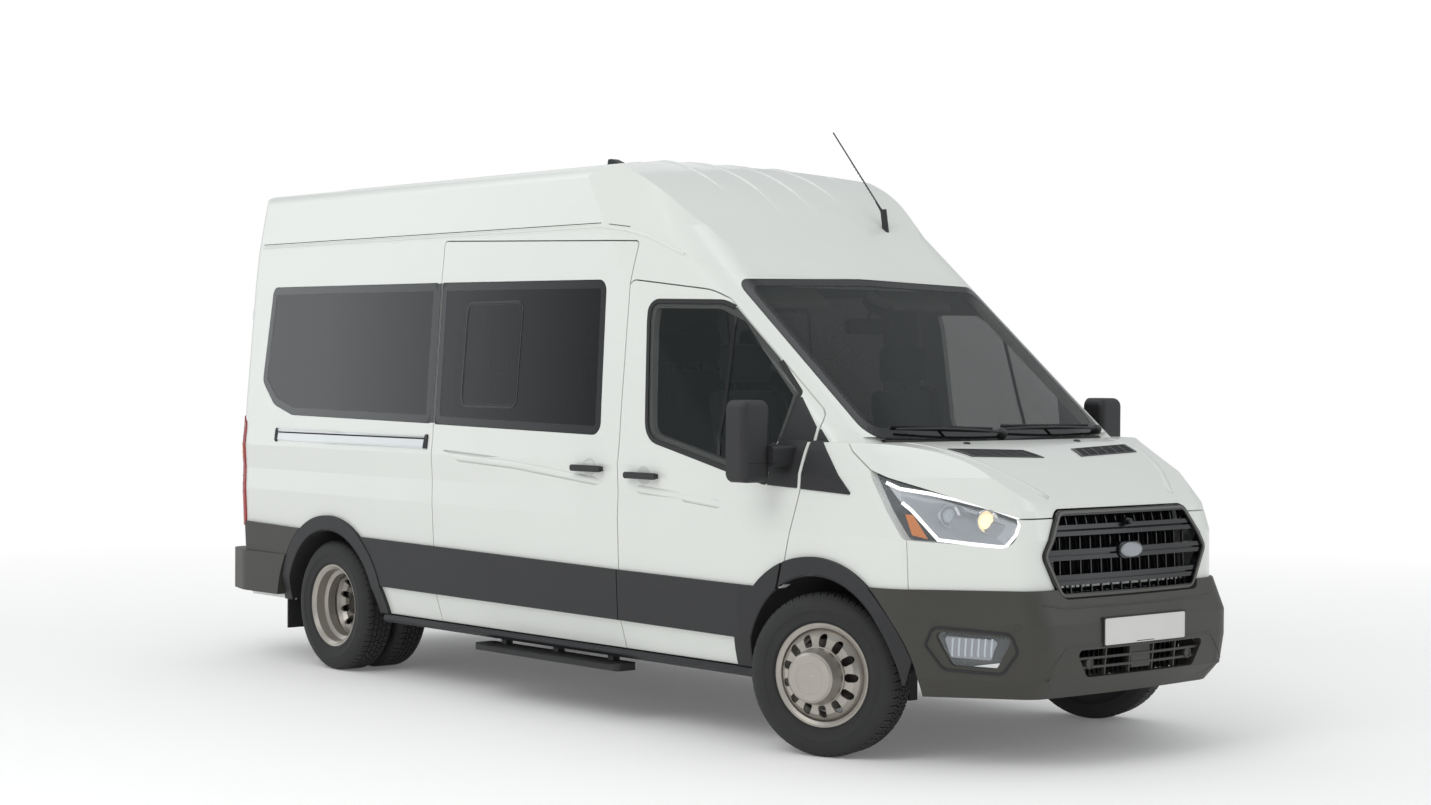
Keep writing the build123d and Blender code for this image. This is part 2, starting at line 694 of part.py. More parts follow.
def build_trim():
    """Plastic and metal trim that stays on the body."""
    nodes = {}
    middle_rows = [
        (rx(250), CLADDING_LOW_Z + 12, 0),
        (DOOR_SPLIT_X - PANEL_GAP / 2, CLADDING_LOW_Z, 0),
        (DOOR_SPLIT_X - PANEL_GAP / 2, CLADDING_HIGH_Z, 0),
        (rx(250), CLADDING_HIGH_Z + 28, 0),
    ]
    middle = proud(TRIM_OUTER, across(middle_rows))
    rear_ring = arch_ring(REAR_ARCH_TRIM, REAR_ARCH)
    middle = (middle - arch_bar(REAR_ARCH_TRIM)) + rear_ring
    flap = block(rx(-498), rx(-488), 790, 985, 185, SKIRT_Z - TRIM_GAP)
    front_ring = arch_ring(FRONT_ARCH_TRIM, FRONT_ARCH) - across(grown(FRONT_DOOR, PANEL_GAP + 4))
    sail = proud(SAIL_OUTER, across(WING_SAIL))
    left = [biggest(middle), flap, biggest(front_ring), biggest(sail)]
    right = [mirrored(part) for part in left]
    rail_rows = [(rx(-568), 1238, 4), (fx(-2843), 1226, 4), (fx(-2843), 1279, 4), (rx(-568), 1298, 4)]
    nodes["door_rail"] = mirrored(biggest(proud(SAIL_OUTER, across(rail_rows))))
    sill_rows = [(886, 300, 0), (972, 300, 0), (984, 316, 0), (976, 338, 0), (945, 338, 0), (914, 344.7, 0), (886, 344.7, 0)]
    sill = section_prism(sill_rows, rx(475), fx(-378))
    step = block(fx(-2400), fx(-1250), -1040, -915, 242, 276)
    step = fillet(step.edges().filter_by(Axis.Z), 30)
    legs = [block(x - 20, x + 20, -960, -920, 270, 305) for x in (fx(-2250), fx(-1825), fx(-1400))]
    sill_and_step = biggest(mirrored(sill) + step + legs[0] + legs[1] + legs[2])
    slider_handle = mirrored(handle(fx(-1482), HANDLE_Z + 20, 1025))
    nodes["body_trim"] = Compound(children=[*left, *right, sill, sill_and_step, slider_handle])
    lamp = (tail_lamp_prism(0) & SAIL_OUTER.whole) - JAMB_OUTER.whole
    nodes["tail_lamps"] = both_sides(biggest(lamp))
    return nodes


def bow_centre(nose_x, nose_y, apex_x):
    """Corner on the centre plane that puts the apex of the nose bow at apex_x."""
    reach = apex_x - nose_x
    for _ in range(30):
        slope = atan(reach / nose_y)
        reach = apex_x - nose_x + NOSE_BOW_RADIUS * (1 / cos(slope) - 1)
    return nose_x + reach


BUMPER_LEVELS = [
    (300, 958, SIDE_TAPER, fx(414), 925, fx(890), 560, fx(925)),
    (380, 982, SIDE_TAPER, fx(426), 945, fx(950), 590, bow_centre(fx(950), 590, LENGTH / 2 - 12)),
    (500, 1002, SIDE_TAPER, fx(434), 966, fx(965), 600, bow_centre(fx(965), 600, LENGTH / 2)),
    (610, 1012, SIDE_TAPER, fx(444), 976, fx(960), 605, bow_centre(fx(960), 605, LENGTH / 2 - 2)),
    (BUMPER_TOP_Z, 1018, SIDE_TAPER, fx(454), 978, fx(905), 590, fx(934)),
]
BUMPER_WALL = 40.0
INTAKE = [(-345, 385, 30), (345, 385, 30), (414, 500, 20), (-414, 500, 20)]
FOG_OUTLINE = [(fx(650), 436, 25), (fx(800), 428, 25), (fx(868), 560, 20), (fx(596), 578, 20)]
FOG_DEPTH = 12.0
# heights of the grille's bars
GRILLE_BARS = (782.0, 885.0, 985.0)
GRILLE_FIN_STEP = 62.0
GRILLE_FINS = 14
BADGE_CENTRE_Z = 893.0


def nose_layers(*insets):
    """Middle of the nose at each inset from its surface."""
    zone = block(fx(600), LENGTH, -600, 600, 600, 1200)
    return {inset: (level_loft(LOWER_LEVELS, inset) & bonnet_limit(inset)) & zone for inset in insets}


def build_front():
    """Front bumper with its intake, and the grille."""
    nodes = {}
    ahead = block(fx(300), LENGTH, -1200, 1200, 0, BUMPER_TOP_Z)
    shell = (level_loft(BUMPER_LEVELS, 0) & ahead) - level_loft(BUMPER_LEVELS, BUMPER_WALL)
    intake = section_prism(INTAKE, fx(800), LENGTH)
    fog_hole = side_prism(grown(FOG_OUTLINE, TRIM_GAP), 600, 1200)
    trim_bar = arch_bar(FRONT_ARCH_TRIM, 3, 800)
    grille_cut = section_prism(grown(GRILLE, TRIM_GAP * 3), fx(500), LENGTH)
    bumper = shell - [intake, grille_cut, fog_hole, mirrored(fog_hole), trim_bar, mirrored(trim_bar)]
    screen = (level_loft(BUMPER_LEVELS, 14) & intake) - level_loft(BUMPER_LEVELS, 30)
    slats = [screen & block(fx(800), LENGTH, -430, 430, z - 5, z + 5) for z in (424, 462)]
    slats += [screen & block(fx(800), LENGTH, y - 4, y + 4, 370, 510) for y in (-225, -75, 75, 225)]
    nodes["front_bumper"] = biggest(bumper + slats)
    zone = section_prism(GRILLE, fx(600), LENGTH)
    opening = section_prism(shrunk(GRILLE, 22), fx(600), LENGTH)
    layers = nose_layers(-14, -6, 12, 16, 26)
    parts = [(layers[-14] & (zone - opening)) - layers[26]]
    bead_zones = [block(fx(600), LENGTH, -600, 600, z + dz - 9, z + dz + 9) for z in GRILLE_BARS for dz in (-13, 13)]
    spine_zones = [block(fx(600), LENGTH, -600, 600, z - 20, z + 20) for z in GRILLE_BARS]
    parts += [(layers[-6] & zone & bead) - layers[26] for bead in bead_zones]
    parts += [(layers[12] & zone & spine) - layers[26] for spine in spine_zones]
    for i in range(GRILLE_FINS):
        y = (i - (GRILLE_FINS - 1) / 2) * GRILLE_FIN_STEP
        parts.append((layers[16] & zone & block(fx(600), LENGTH, y - 3, y + 3, 600, 1200)) - layers[26])
    pod = [(y, BADGE_CENTRE_Z + dz, 33) for y, dz in ((-76, -34), (76, -34), (76, 34), (-76, 34))]
    parts.append((layers[-14] & section_prism(pod, fx(600), LENGTH)) - layers[26])
    nodes["grille"] = biggest(parts[0] + parts[1:])
    return nodes


REAR_BUMPER_LOW_Z = 372.0
REAR_BUMPER_STEP_Z = 600.0


def build_rear():
    """Rear bumper with its step, wrapped round the corners to the rear arches."""
    half = [
        (-LENGTH / 2, 420, 900),
        (-LENGTH / 2 + 70, 965, 90),
        (rx(-900), 1036, 200),
        (rx(-300), 1030, 0),
    ]
    rows = [(x, -y, radius) for x, y, radius in half[::-1]] + half
    outer = plan_prism(rows[::-1], REAR_BUMPER_LOW_Z, REAR_BUMPER_STEP_Z)
    inner = block(-LENGTH / 2 + 45, REAR_FACE_X + 100, -900, 900, 0, REAR_BUMPER_STEP_Z - 30)
    bumper = outer - inner
    bumper -= block(REAR_FACE_X - 14, LENGTH, -985, 985, 0, 900)
    bumper -= TRIM_FACE.whole
    side_rows = [(rx(-883), 590, 0), (rx(-300), 590, 0), (rx(-300), 752, 0), (rx(-883), 765, 0)]
    side = proud(ARCH_OUTER, across(side_rows))
    bumper += side
    bumper += mirrored(side)
    trim_bar = arch_bar(REAR_ARCH_TRIM, 3, 800)
    bumper -= trim_bar
    bumper -= mirrored(trim_bar)
    return {"rear_bumper": biggest(bumper)}


# ---------------------------------------------------------------- wheels and steering
# half section of the rim barrel and the disc: rows of (radius, distance from the tyre's centre plane)
BARREL = [
    (220, 80), (220, 73), (207, 70), (203, 45), (178, 28), (178, -5), (199, -25), (204, -70), (220, -73), (220, -80),
    (213, -80), (197, -66), (191, -20), (170, -10), (170, 34), (195, 52), (199, 74), (213, 80),
]
DISC = [
    (45, 109.5), (128, 109.5), (165, 104), (184, 84), (197, 60), (197, 52),
    (189, 52), (189, 58), (177, 78), (160, 96), (127, 101.5), (45, 101.5),
]
TYRE = [
    (207.4, 50), (207.4, 69.7), (220.4, 72.7), (222, 84), (258, 96), (290, 97.5), (322, 91), (341, 74), (349.5, 58),
]
TYRE_CAVITY = [(334, 50), (300, 85), (262, 84), (226, 62)]
FRONT_CAP = [(0, 109.8), (122, 109.8), (120, 140), (106, 185), (96, 195), (0, 195)]


def ring(rows, sign=1):
    """Profile of (radius, distance along the axle) turned about the Y axis."""
    points = [Vector(radius, sign * along, 0) for radius, along in rows]
    return revolve(Face(Wire.make_polygon(points)), Axis.Y)


def tyre_shape():
    """Tyre centred on the origin, its axle along Y."""
    outer = TYRE + [(radius, -along) for radius, along in TYRE[::-1]]
    cavity = [(radius, -along) for radius, along in TYRE_CAVITY[::-1]] + TYRE_CAVITY
    return ring(outer + cavity)


def rim_shape(sign):
    """Steel wheel centred on the origin; sign tells the side of its disc."""
    wheel = ring(BARREL, sign) + ring(DISC, sign)
    for i in range(HAND_HOLES):
        slot = extrude(Plane.XZ.offset(-sign * 60) * Pos(150, 0) * SlotOverall(58, 36), sign * -70)
        wheel -= Rot(0, 360 / HAND_HOLES * i, 0) * slot
    return wheel


def build_wheels():
    """Steered single wheels in front, twin wheels behind, with knuckles and axle."""
    nodes = {}
    hub = rod((0, 60, 0), (0, DISC_OFFSET - 8, 0), 70)
    front_rim = rim_shape(1) + ring(FRONT_CAP) + rod((0, 85, 0), (0, DISC_OFFSET + 1, 0), 70)
    tyre = tyre_shape()
    knuckle = rod((0, 0, -AXLE_Z + 240.3), (0, 0, 110.2), 28) + rod((0, 0, 0), (0, 84.7 + FRONT_TYRE_Y - KINGPIN_Y, 0), 46)
    to_wheel = Pos(0, FRONT_TYRE_Y - KINGPIN_Y, 0)
    for side, name in ((1, "left"), (-1, "right")):
        turn = Pos(FRONT_AXLE_X, side * KINGPIN_Y, AXLE_Z) * Rot(0, 0, STEER_AT_REST)
        for node, shape in (("tyre", to_wheel * tyre), ("rim", to_wheel * front_rim), ("knuckle", knuckle)):
            placed = turn * (shape if side > 0 else mirrored(shape))
            nodes[f"{node}_front_{name}" if node != "knuckle" else f"knuckle_{name}"] = placed
    inner_y = REAR_OUTER_TYRE_Y - TWIN_SPACING
    spindle = rod((0, inner_y + 60, 0), (0, REAR_OUTER_TYRE_Y - 60, 0), 62)
    rims = Pos(0, inner_y, 0) * rim_shape(1) + Pos(0, REAR_OUTER_TYRE_Y, 0) * rim_shape(-1) + spindle
    rims = Pos(REAR_AXLE_X, 0, AXLE_Z) * rims
    nodes["rims_rear_left"] = rims
    nodes["rims_rear_right"] = mirrored(rims)
    for side, name in ((1, "left"), (-1, "right")):
        pair = [Pos(REAR_AXLE_X, side * y, AXLE_Z) * tyre for y in (inner_y, REAR_OUTER_TYRE_Y)]
        nodes[f"tyres_rear_{name}"] = Compound(children=pair)
    return nodes


# ---------------------------------------------------------------- chassis
RAIL_LOW_Z, RAIL_HIGH_Z = 440.0, 539.7
RAIL_IN_Y, RAIL_OUT_Y = 430.0, 500.0
TOW_HOLE_R = 6.5
TOW_SPACING_X = 120.0
TOW_X = rx(-1000)
LINER_INNER_Y = 535.0


def liner(arch, outer, y0, y1):
    """Wheelhouse of the left side: arched wall with an inner side wall."""
    x, z, _ = arch
    low = z - 20
    shell = rod((x, y0, z), (x, y1, z), outer) - rod((x, y0 + LINER_WALL, z), (x, y1 + 5, z), outer - LINER_WALL)
    return biggest(shell & block(x - 700, x + 700, y0 - 5, y1 + 5, low, 1000))


def build_floor():
    """Floor, bulkhead and wheelhouses."""
    nodes = {}
    high, low = FLOOR_Z, FLOOR_Z - FLOOR_THICK
    cab_low = CAB_FLOOR_Z - FLOOR_THICK
    rows = [
        (REAR_FACE_X + 80, low, 0), (fx(-1290), low, 0), (fx(-1290), cab_low, 0), (fx(-455), cab_low, 0),
        (fx(-455), CAB_FLOOR_Z, 0), (fx(-1230), CAB_FLOOR_Z, 0), (fx(-1230), high, 0), (REAR_FACE_X + 80, high, 0),
    ]
    pan = side_prism(rows, -1000, 1000) & Envelope(WALL_THICK + TRIM_GAP).whole
    pan += block(fx(-500), fx(-104), -528, 528, cab_low, CAB_FLOOR_Z)
    sill = block(REAR_FACE_X + 48, REAR_FACE_X + 90, -800, 800, RAIL_HIGH_Z + TRIM_GAP, high)
    pan += sill
    rear_hole = arch_bar(REAR_ARCH, TRIM_GAP, 554)
    pan -= rear_hole
    pan -= mirrored(rear_hole)
    nodes["floor"] = biggest(pan)
    front = biggest(liner(FRONT_ARCH, FRONT_ARCH[2] + LINER_CLEAR - TRIM_GAP, LINER_INNER_Y, 990) & SEAL_FACE.whole)
    rear = liner(REAR_ARCH, REAR_ARCH[2] - TRIM_GAP, 556, 1030) & PANE_INNER.whole
    rear = biggest(rear - block(rx(-52), rx(52), 550, 570, 200, AXLE_Z + 52))
    nodes["wheel_liners"] = Compound(children=[front, rear, mirrored(front), mirrored(rear)])
    wall = block(fx(-103.7), fx(-80), -885, 885, cab_low, 1200)
    wall += block(fx(-103.7), fx(245), -800, 800, 1180, 1200)
    for y in (-620, 620):
        wall += rod((fx(235), y, 1190), (fx(235), y, 1400), 12)
    wall &= Envelope(DOOR_THICK + TRIM_GAP).nose
    lip = (REBATE_FLOOR.cabin - Envelope(REBATE + 22).cabin) & block(fx(0), fx(400), -700, 700, 1294, 1345)
    wall += lip
    wall += block(fx(150), fx(200), -60, 60, 1190, 1310) & REBATE_FLOOR.cabin
    arch = arch_bar(FRONT_ARCH, LINER_CLEAR + 1, 525)
    wall -= arch
    wall -= mirrored(arch)
    nodes["bulkhead"] = biggest(wall)
    return nodes


def build_chassis():
    """Rails, cross members, axles, engine, exhaust and tank."""
    nodes = {}
    frame = block(rx(-1090), fx(760), RAIL_IN_Y, RAIL_OUT_Y, RAIL_LOW_Z, RAIL_HIGH_Z)
    frame += mirrored(frame)
    members = [
        (rx(-1080), RAIL_LOW_Z, RAIL_HIGH_Z), (rx(-500), RAIL_LOW_Z + 60, 629.7), (rx(450), RAIL_LOW_Z + 60, 629.7),
        (fx(-1800), RAIL_LOW_Z + 60, 629.7), (fx(-700), RAIL_LOW_Z + 75, RAIL_HIGH_Z), (fx(690), RAIL_LOW_Z - 60, RAIL_HIGH_Z - 40),
    ]
    for x, low, high in members:
        frame += block(x, x + 60, -RAIL_OUT_Y, RAIL_OUT_Y, low, high)
    frame += block(fx(-50), fx(120), -RAIL_OUT_Y, RAIL_OUT_Y, 330, RAIL_LOW_Z + 5)
    for side in (-1, 1):
        for x in (rx(650), rx(-700)):
            frame += block(x - 30, x + 30, side * RAIL_OUT_Y - side * 5, side * 553, 435.3, RAIL_HIGH_Z)
        for dx in (-TOW_SPACING_X / 2, TOW_SPACING_X / 2):
            y = side * (RAIL_IN_Y + RAIL_OUT_Y) / 2
            frame -= rod((TOW_X + dx, y, RAIL_LOW_Z - 5), (TOW_X + dx, y, RAIL_LOW_Z + 40), TOW_HOLE_R)
    nodes["chassis"] = biggest(frame)
    tube = rod((REAR_AXLE_X, -754.7, AXLE_Z), (REAR_AXLE_X, 754.7, AXLE_Z), 45)
    case = rod((REAR_AXLE_X, -90, AXLE_Z), (REAR_AXLE_X, 90, AXLE_Z), 125)
    shaft = rod((REAR_AXLE_X, 0, AXLE_Z), (fx(-507), 0, 450), 36)
    nodes["rear_axle"] = tube + case + shaft
    nodes["suspension"] = Compound(children=suspension())
    engine = block(fx(-60), fx(620), -250, 250, 470, 1060) + block(fx(-500), fx(-55), -150, 150, 385, 525)
    engine += block(fx(300), fx(380), -RAIL_IN_Y + 0.3, RAIL_IN_Y - 0.3, 480, 535)
    radiator = block(fx(690), fx(745), -360, 360, RAIL_HIGH_Z - 39.7, 1000)
    nodes["engine"] = Compound(children=[engine, radiator])
    pipe = rod((fx(-560), -270, 470), (rx(-870), -270, 470), 26)
    pipe += rod((fx(-2900), -270, 470), (fx(-2300), -270, 470), 85)
    for x, top in ((fx(-900), cab_floor_low()), (fx(-1900), 629.7), (rx(300), 629.7), (rx(-850), 629.7)):
        pipe += block(x - 5, x + 5, -285, -255, 475, top)
    nodes["exhaust"] = pipe
    tank = block(fx(-3050), fx(-2050), 512, 860, 400, 629.7)
    nodes["fuel_tank"] = fillet(tank.edges().filter_by(Axis.X), 40)
    return nodes


def cab_floor_low():
    """Underside of the cab floor, less the seat gap."""
    return CAB_FLOOR_Z - FLOOR_THICK - TRIM_GAP


def suspension():
    """Leaf springs behind, arms and struts in front, for both sides."""
    low = 274.0
    thick = 30.0
    ends = (rx(650), rx(-700))
    arcs = []
    for lift in (0, thick):
        arcs.append([Vector(ends[0], 503, 405 + lift), Vector(REAR_AXLE_X, 503, low + lift), Vector(ends[1], 503, 405 + lift)])
    edges = [
        Edge.make_three_point_arc(*arcs[0]),
        Edge.make_line(arcs[0][2], arcs[1][2]),
        Edge.make_three_point_arc(*arcs[1][::-1]),
        Edge.make_line(arcs[1][0], arcs[0][0]),
    ]
    spring = extrude(Face(Wire(edges)), 50, dir=(0, 1, 0))
    arm = block(fx(-50), fx(50), 431, KINGPIN_Y + 24, 205, 240)
    arm += block(fx(-90), fx(90), 431, 480, 205, 329.7)
    foot = block(fx(-30), fx(30), 650, KINGPIN_Y + 24, 460, 492)
    strut = foot + rod((FRONT_AXLE_X, 680, 460), (FRONT_AXLE_X, 650, 790), 32)
    strut &= rod((FRONT_ARCH[0], 400, FRONT_ARCH[1]), (FRONT_ARCH[0], 1000, FRONT_ARCH[1]), FRONT_ARCH[2] + LINER_CLEAR - LINER_WALL - 0.6)
    parts = [spring, arm, biggest(strut)]
    return [*parts, *[mirrored(part) for part in parts]]


# ---------------------------------------------------------------- interior
# columns: cushion centre x, floor z, seat centres y, leg positions y
SEAT_ROWS = [
    (fx(-640), CAB_FLOOR_Z, (520,), (330, 700)),
    (fx(-640), CAB_FLOOR_Z, (-520,), (-330, -700)),
    (fx(-1840), FLOOR_Z, (210, 660), (60, 480)),
    (fx(-2620), FLOOR_Z, (210, 660), (60, 480)),
    (fx(-3400), FLOOR_Z, (210, 660), (60, 480)),
    (fx(-4180), FLOOR_Z, (210, 660), (60, 480)),
    (fx(-3400), FLOOR_Z, (-660,), (-470, -530)),
    (fx(-4180), FLOOR_Z, (-660,), (-470, -530)),
]
SEAT_WIDTH = 430.0
SEAT_HEIGHT = 300.0
CUSHION_THICK = 120.0
# side outlines seen from the left, from the cushion's centre and the seat frame's top
CUSHION = [(-230, 0, 20), (240, 0, 20), (240, CUSHION_THICK, 50), (-230, CUSHION_THICK - 20, 20)]
BACKREST = [(-240, 60, 30), (-345, 640, 40), (-255, 650, 40), (-150, 130, 40)]
SEAT_FOOT = [(-272, -40, 0), (-190, -40, 0), (-190, -10, 0), (-272, 20, 0)]
SEAT_BACK = [(-272, -40, 0), (-250, -40, 0), (-352.5, 560, 0), (-374, 560, 0)]
HEADREST = [(-362, 680, 30), (-362, 860, 40), (-270, 865, 40), (-265, 690, 30)]


def build_interior():
    """Seats on their frames, dashboard and steering wheel."""
    nodes = {}
    soft, frames = [], []
    for x, floor, centres, legs in SEAT_ROWS:
        top = floor + SEAT_HEIGHT
        for y in centres:
            for rows, width in ((CUSHION, SEAT_WIDTH), (BACKREST, SEAT_WIDTH - 10), (HEADREST, 260)):
                placed = [(x + dx, top + dz, radius) for dx, dz, radius in rows]
                soft.append(side_prism(placed, y - width / 2, y + width / 2))
        y0, y1 = min(centres) - SEAT_WIDTH / 2, max(centres) + SEAT_WIDTH / 2
        frame = block(x - 200, x + 200, y0 + 10, y1 - 10, top - 40, top - TRIM_GAP)
        for y in legs:
            frame += block(x - 180, x + 180, y - 15, y + 15, floor + TRIM_GAP, top - 20)
        for y in centres:
            for rows in (SEAT_FOOT, SEAT_BACK):
                placed = [(x + dx, top + dz, radius) for dx, dz, radius in rows]
                frame += side_prism(placed, y - 150, y + 150)
            for dy in (-70, 70):
                frame += rod((x - 368.3, y + dy, top + 540), (x - 368.3, y + dy, top + 780), 6)
        frames.append(frame)
    nodes["seat_cushions"] = Compound(children=soft)
    nodes["seat_frames"] = Compound(children=[biggest(frame) for frame in frames])
    dash = side_prism(
        [(fx(-345), 905, 30), (fx(-104), 830, 0), (fx(-104), 1215, 20), (fx(-240), 1240, 40), (fx(-360), 1130, 40)],
        -850,
        850,
    )
    nodes["dashboard"] = dash
    centre = Vector(fx(-455), 520, 1200)
    column = Vector(fx(-352), 520, 1105)
    plane = Plane(origin=centre, z_dir=centre - column)
    wheel = Location(plane) * Torus(190, 14)
    wheel += rod(tuple(column + (centre - column).normalized() * 6), tuple(centre), 26)
    wheel += Location(plane) * Box(370, 36, 14)
    wheel += Location(plane) * Pos(0, -85, 0) * Box(40, 180, 14)
    nodes["steering_wheel"] = biggest(wheel - Pos(-TRIM_GAP, 0, 0) * dash)
    fin_base = ROOF_CENTRE_Z
    fin = side_prism([(rx(1130), fin_base - 30, 0), (rx(1330), fin_base - 30, 0), (rx(1330), fin_base + 6, 0), (rx(1180), fin_base + 62, 20), (rx(1150), fin_base + 62, 8)], -22, 22)
    base = rod((fx(-1058), 500, 2320), (fx(-1078), 500, 2440), 16)
    whip = rod((fx(-1078), 500, 2425), (fx(-1442), 500, 2848), 3.5)
    nodes["roof_aerials"] = Compound(children=[biggest(fin - TRIM_FACE.whole), biggest((base + whip) - TRIM_FACE.whole)])
    return nodes


BUILDERS = (
    build_body,
    build_nose,
    build_doors,
    build_trim,
    build_front,
    build_rear,
    build_wheels,
    build_floor,
    build_chassis,
    build_interior,
)


def main():
    """Build every node and write it to parts."""
    os.makedirs("parts", exist_ok=True)
    for maker in BUILDERS:
        for name, shape in maker().items():
            export_step(shape, f"parts/{name}.step")


if __name__ == "__main__":
    main()
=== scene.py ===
"""Looks of the minibus: finishes for every solid, and the fine pieces that sit on them.

Metres throughout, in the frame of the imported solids: +X forward, +Y left, +Z up.
"""

import json
import logging
from collections.abc import Callable, Iterable
from contextlib import suppress
from dataclasses import dataclass
from enum import Enum
from math import ceil, cos, pi, radians, sin, tan

import bmesh
import bpy
from bmesh.types import BMesh
from bpy.types import Mesh
from mathutils import Matrix, Vector
from mathutils.bvhtree import BVHTree
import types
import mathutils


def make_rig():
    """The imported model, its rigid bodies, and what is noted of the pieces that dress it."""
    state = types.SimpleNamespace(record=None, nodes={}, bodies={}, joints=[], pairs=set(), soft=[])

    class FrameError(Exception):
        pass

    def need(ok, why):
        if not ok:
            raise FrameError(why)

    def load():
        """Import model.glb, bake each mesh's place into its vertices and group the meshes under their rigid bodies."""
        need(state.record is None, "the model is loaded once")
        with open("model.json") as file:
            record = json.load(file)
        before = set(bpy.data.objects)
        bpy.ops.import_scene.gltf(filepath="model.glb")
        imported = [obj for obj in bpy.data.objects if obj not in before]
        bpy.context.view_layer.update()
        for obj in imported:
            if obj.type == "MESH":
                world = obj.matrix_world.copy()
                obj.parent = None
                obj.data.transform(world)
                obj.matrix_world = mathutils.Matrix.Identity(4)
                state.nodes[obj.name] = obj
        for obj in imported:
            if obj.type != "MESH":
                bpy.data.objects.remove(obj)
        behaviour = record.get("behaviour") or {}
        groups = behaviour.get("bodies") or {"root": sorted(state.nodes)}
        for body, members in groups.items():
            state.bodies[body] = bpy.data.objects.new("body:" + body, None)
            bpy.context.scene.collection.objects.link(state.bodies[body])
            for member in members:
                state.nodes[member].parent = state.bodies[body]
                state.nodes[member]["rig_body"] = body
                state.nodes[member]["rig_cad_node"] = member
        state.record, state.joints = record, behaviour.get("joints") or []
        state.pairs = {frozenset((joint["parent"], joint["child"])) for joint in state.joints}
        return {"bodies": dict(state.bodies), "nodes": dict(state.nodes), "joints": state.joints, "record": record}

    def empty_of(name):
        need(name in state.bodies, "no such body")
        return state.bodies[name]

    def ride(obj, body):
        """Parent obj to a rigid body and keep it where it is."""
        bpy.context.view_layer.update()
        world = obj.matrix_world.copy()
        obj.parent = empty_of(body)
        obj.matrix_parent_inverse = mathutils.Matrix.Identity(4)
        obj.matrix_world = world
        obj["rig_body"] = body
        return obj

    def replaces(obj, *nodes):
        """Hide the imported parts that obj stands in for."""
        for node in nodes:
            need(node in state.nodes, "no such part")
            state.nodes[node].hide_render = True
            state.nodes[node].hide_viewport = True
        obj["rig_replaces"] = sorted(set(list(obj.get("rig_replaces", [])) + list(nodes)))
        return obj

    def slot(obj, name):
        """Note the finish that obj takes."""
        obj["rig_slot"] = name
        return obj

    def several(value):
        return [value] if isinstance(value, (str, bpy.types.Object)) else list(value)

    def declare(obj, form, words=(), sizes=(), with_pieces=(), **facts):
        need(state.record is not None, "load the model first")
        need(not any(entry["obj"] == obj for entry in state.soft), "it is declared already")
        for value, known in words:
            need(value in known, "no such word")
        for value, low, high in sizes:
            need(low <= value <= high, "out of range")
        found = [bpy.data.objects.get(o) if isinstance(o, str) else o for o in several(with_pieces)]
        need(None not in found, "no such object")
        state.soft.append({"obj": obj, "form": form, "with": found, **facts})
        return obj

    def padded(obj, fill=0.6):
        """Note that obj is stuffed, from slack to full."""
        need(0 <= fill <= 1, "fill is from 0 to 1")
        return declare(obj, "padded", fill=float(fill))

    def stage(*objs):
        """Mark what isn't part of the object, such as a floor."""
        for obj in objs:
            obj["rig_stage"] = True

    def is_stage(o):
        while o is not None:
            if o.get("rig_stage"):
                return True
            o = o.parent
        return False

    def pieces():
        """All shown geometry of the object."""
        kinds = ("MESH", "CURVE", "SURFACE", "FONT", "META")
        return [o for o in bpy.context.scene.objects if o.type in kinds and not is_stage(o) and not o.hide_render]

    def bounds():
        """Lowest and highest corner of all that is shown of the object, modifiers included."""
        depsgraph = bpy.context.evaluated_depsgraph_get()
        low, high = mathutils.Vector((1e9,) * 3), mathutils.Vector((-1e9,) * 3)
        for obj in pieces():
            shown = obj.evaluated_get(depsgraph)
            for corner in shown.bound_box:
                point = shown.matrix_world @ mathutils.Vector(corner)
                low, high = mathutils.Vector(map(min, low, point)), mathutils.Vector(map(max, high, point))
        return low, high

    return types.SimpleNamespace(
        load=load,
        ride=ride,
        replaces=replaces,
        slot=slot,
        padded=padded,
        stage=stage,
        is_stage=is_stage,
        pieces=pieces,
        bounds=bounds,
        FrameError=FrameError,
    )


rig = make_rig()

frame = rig.load()

logging.basicConfig(level=logging.INFO, format="%(message)s")
log = logging.getLogger("minibus")

Point = tuple[float, float, float]
Outline = list[tuple[float, float]]

# size of the even faces on the cushions, and how they are smoothed
CUSHION_FACE = 0.013
CUSHION_SMOOTHING = 0.6
CUSHION_PASSES = 7

FRONT_AXLE_X = 1.9935
REAR_AXLE_X = -1.7825
AXLE_Z = 0.3495
TYRE_RADIUS = AXLE_Z
KINGPIN_Y = 0.84
SCRUB = 0.048
STEERED_DEG = 19.0
REAR_WHEEL_Y = 0.914


class Side(Enum):
    """Side of the vehicle, with its sign along Y."""

    LEFT = 1
    RIGHT = -1

    @property
    def word(self) -> str:
        """Name used at the end of node names."""
        return self.name.lower()


# ---------------------------------------------------------------- finishes
def linear(hex_colour: str, alpha: float = 1.0) -> tuple[float, float, float, float]:
    """Turn an sRGB hex colour into Blender's linear colour.

    Args:
        hex_colour: six hex digits.
        alpha: opacity kept as it is.

    Returns:
        Red, green, blue and alpha.
    """
    values = [int(hex_colour[i : i + 2], 16) / 255 for i in (0, 2, 4)]
    red, green, blue = [v / 12.92 if v <= 0.04045 else ((v + 0.055) / 1.055) ** 2.4 for v in values]
    return (red, green, blue, alpha)


def add_node(
    tree: bpy.types.NodeTree, kind: str, links: dict | None = None, **settings: object
) -> bpy.types.Node:
    """Add a node with its settings and links.

    Args:
        tree: node tree to add to.
        kind: node type name.
        links: input name or index to the output socket or value it takes.
        settings: node attributes.

    Returns:
        The new node.
    """
    node = tree.nodes.new(kind)
    for key, value in settings.items():
        setattr(node, key, value)
    for key, value in (links or {}).items():
        socket = node.inputs[key]
        if isinstance(value, bpy.types.NodeSocket):
            tree.links.new(value, socket)
        else:
            socket.default_value = value
    return node


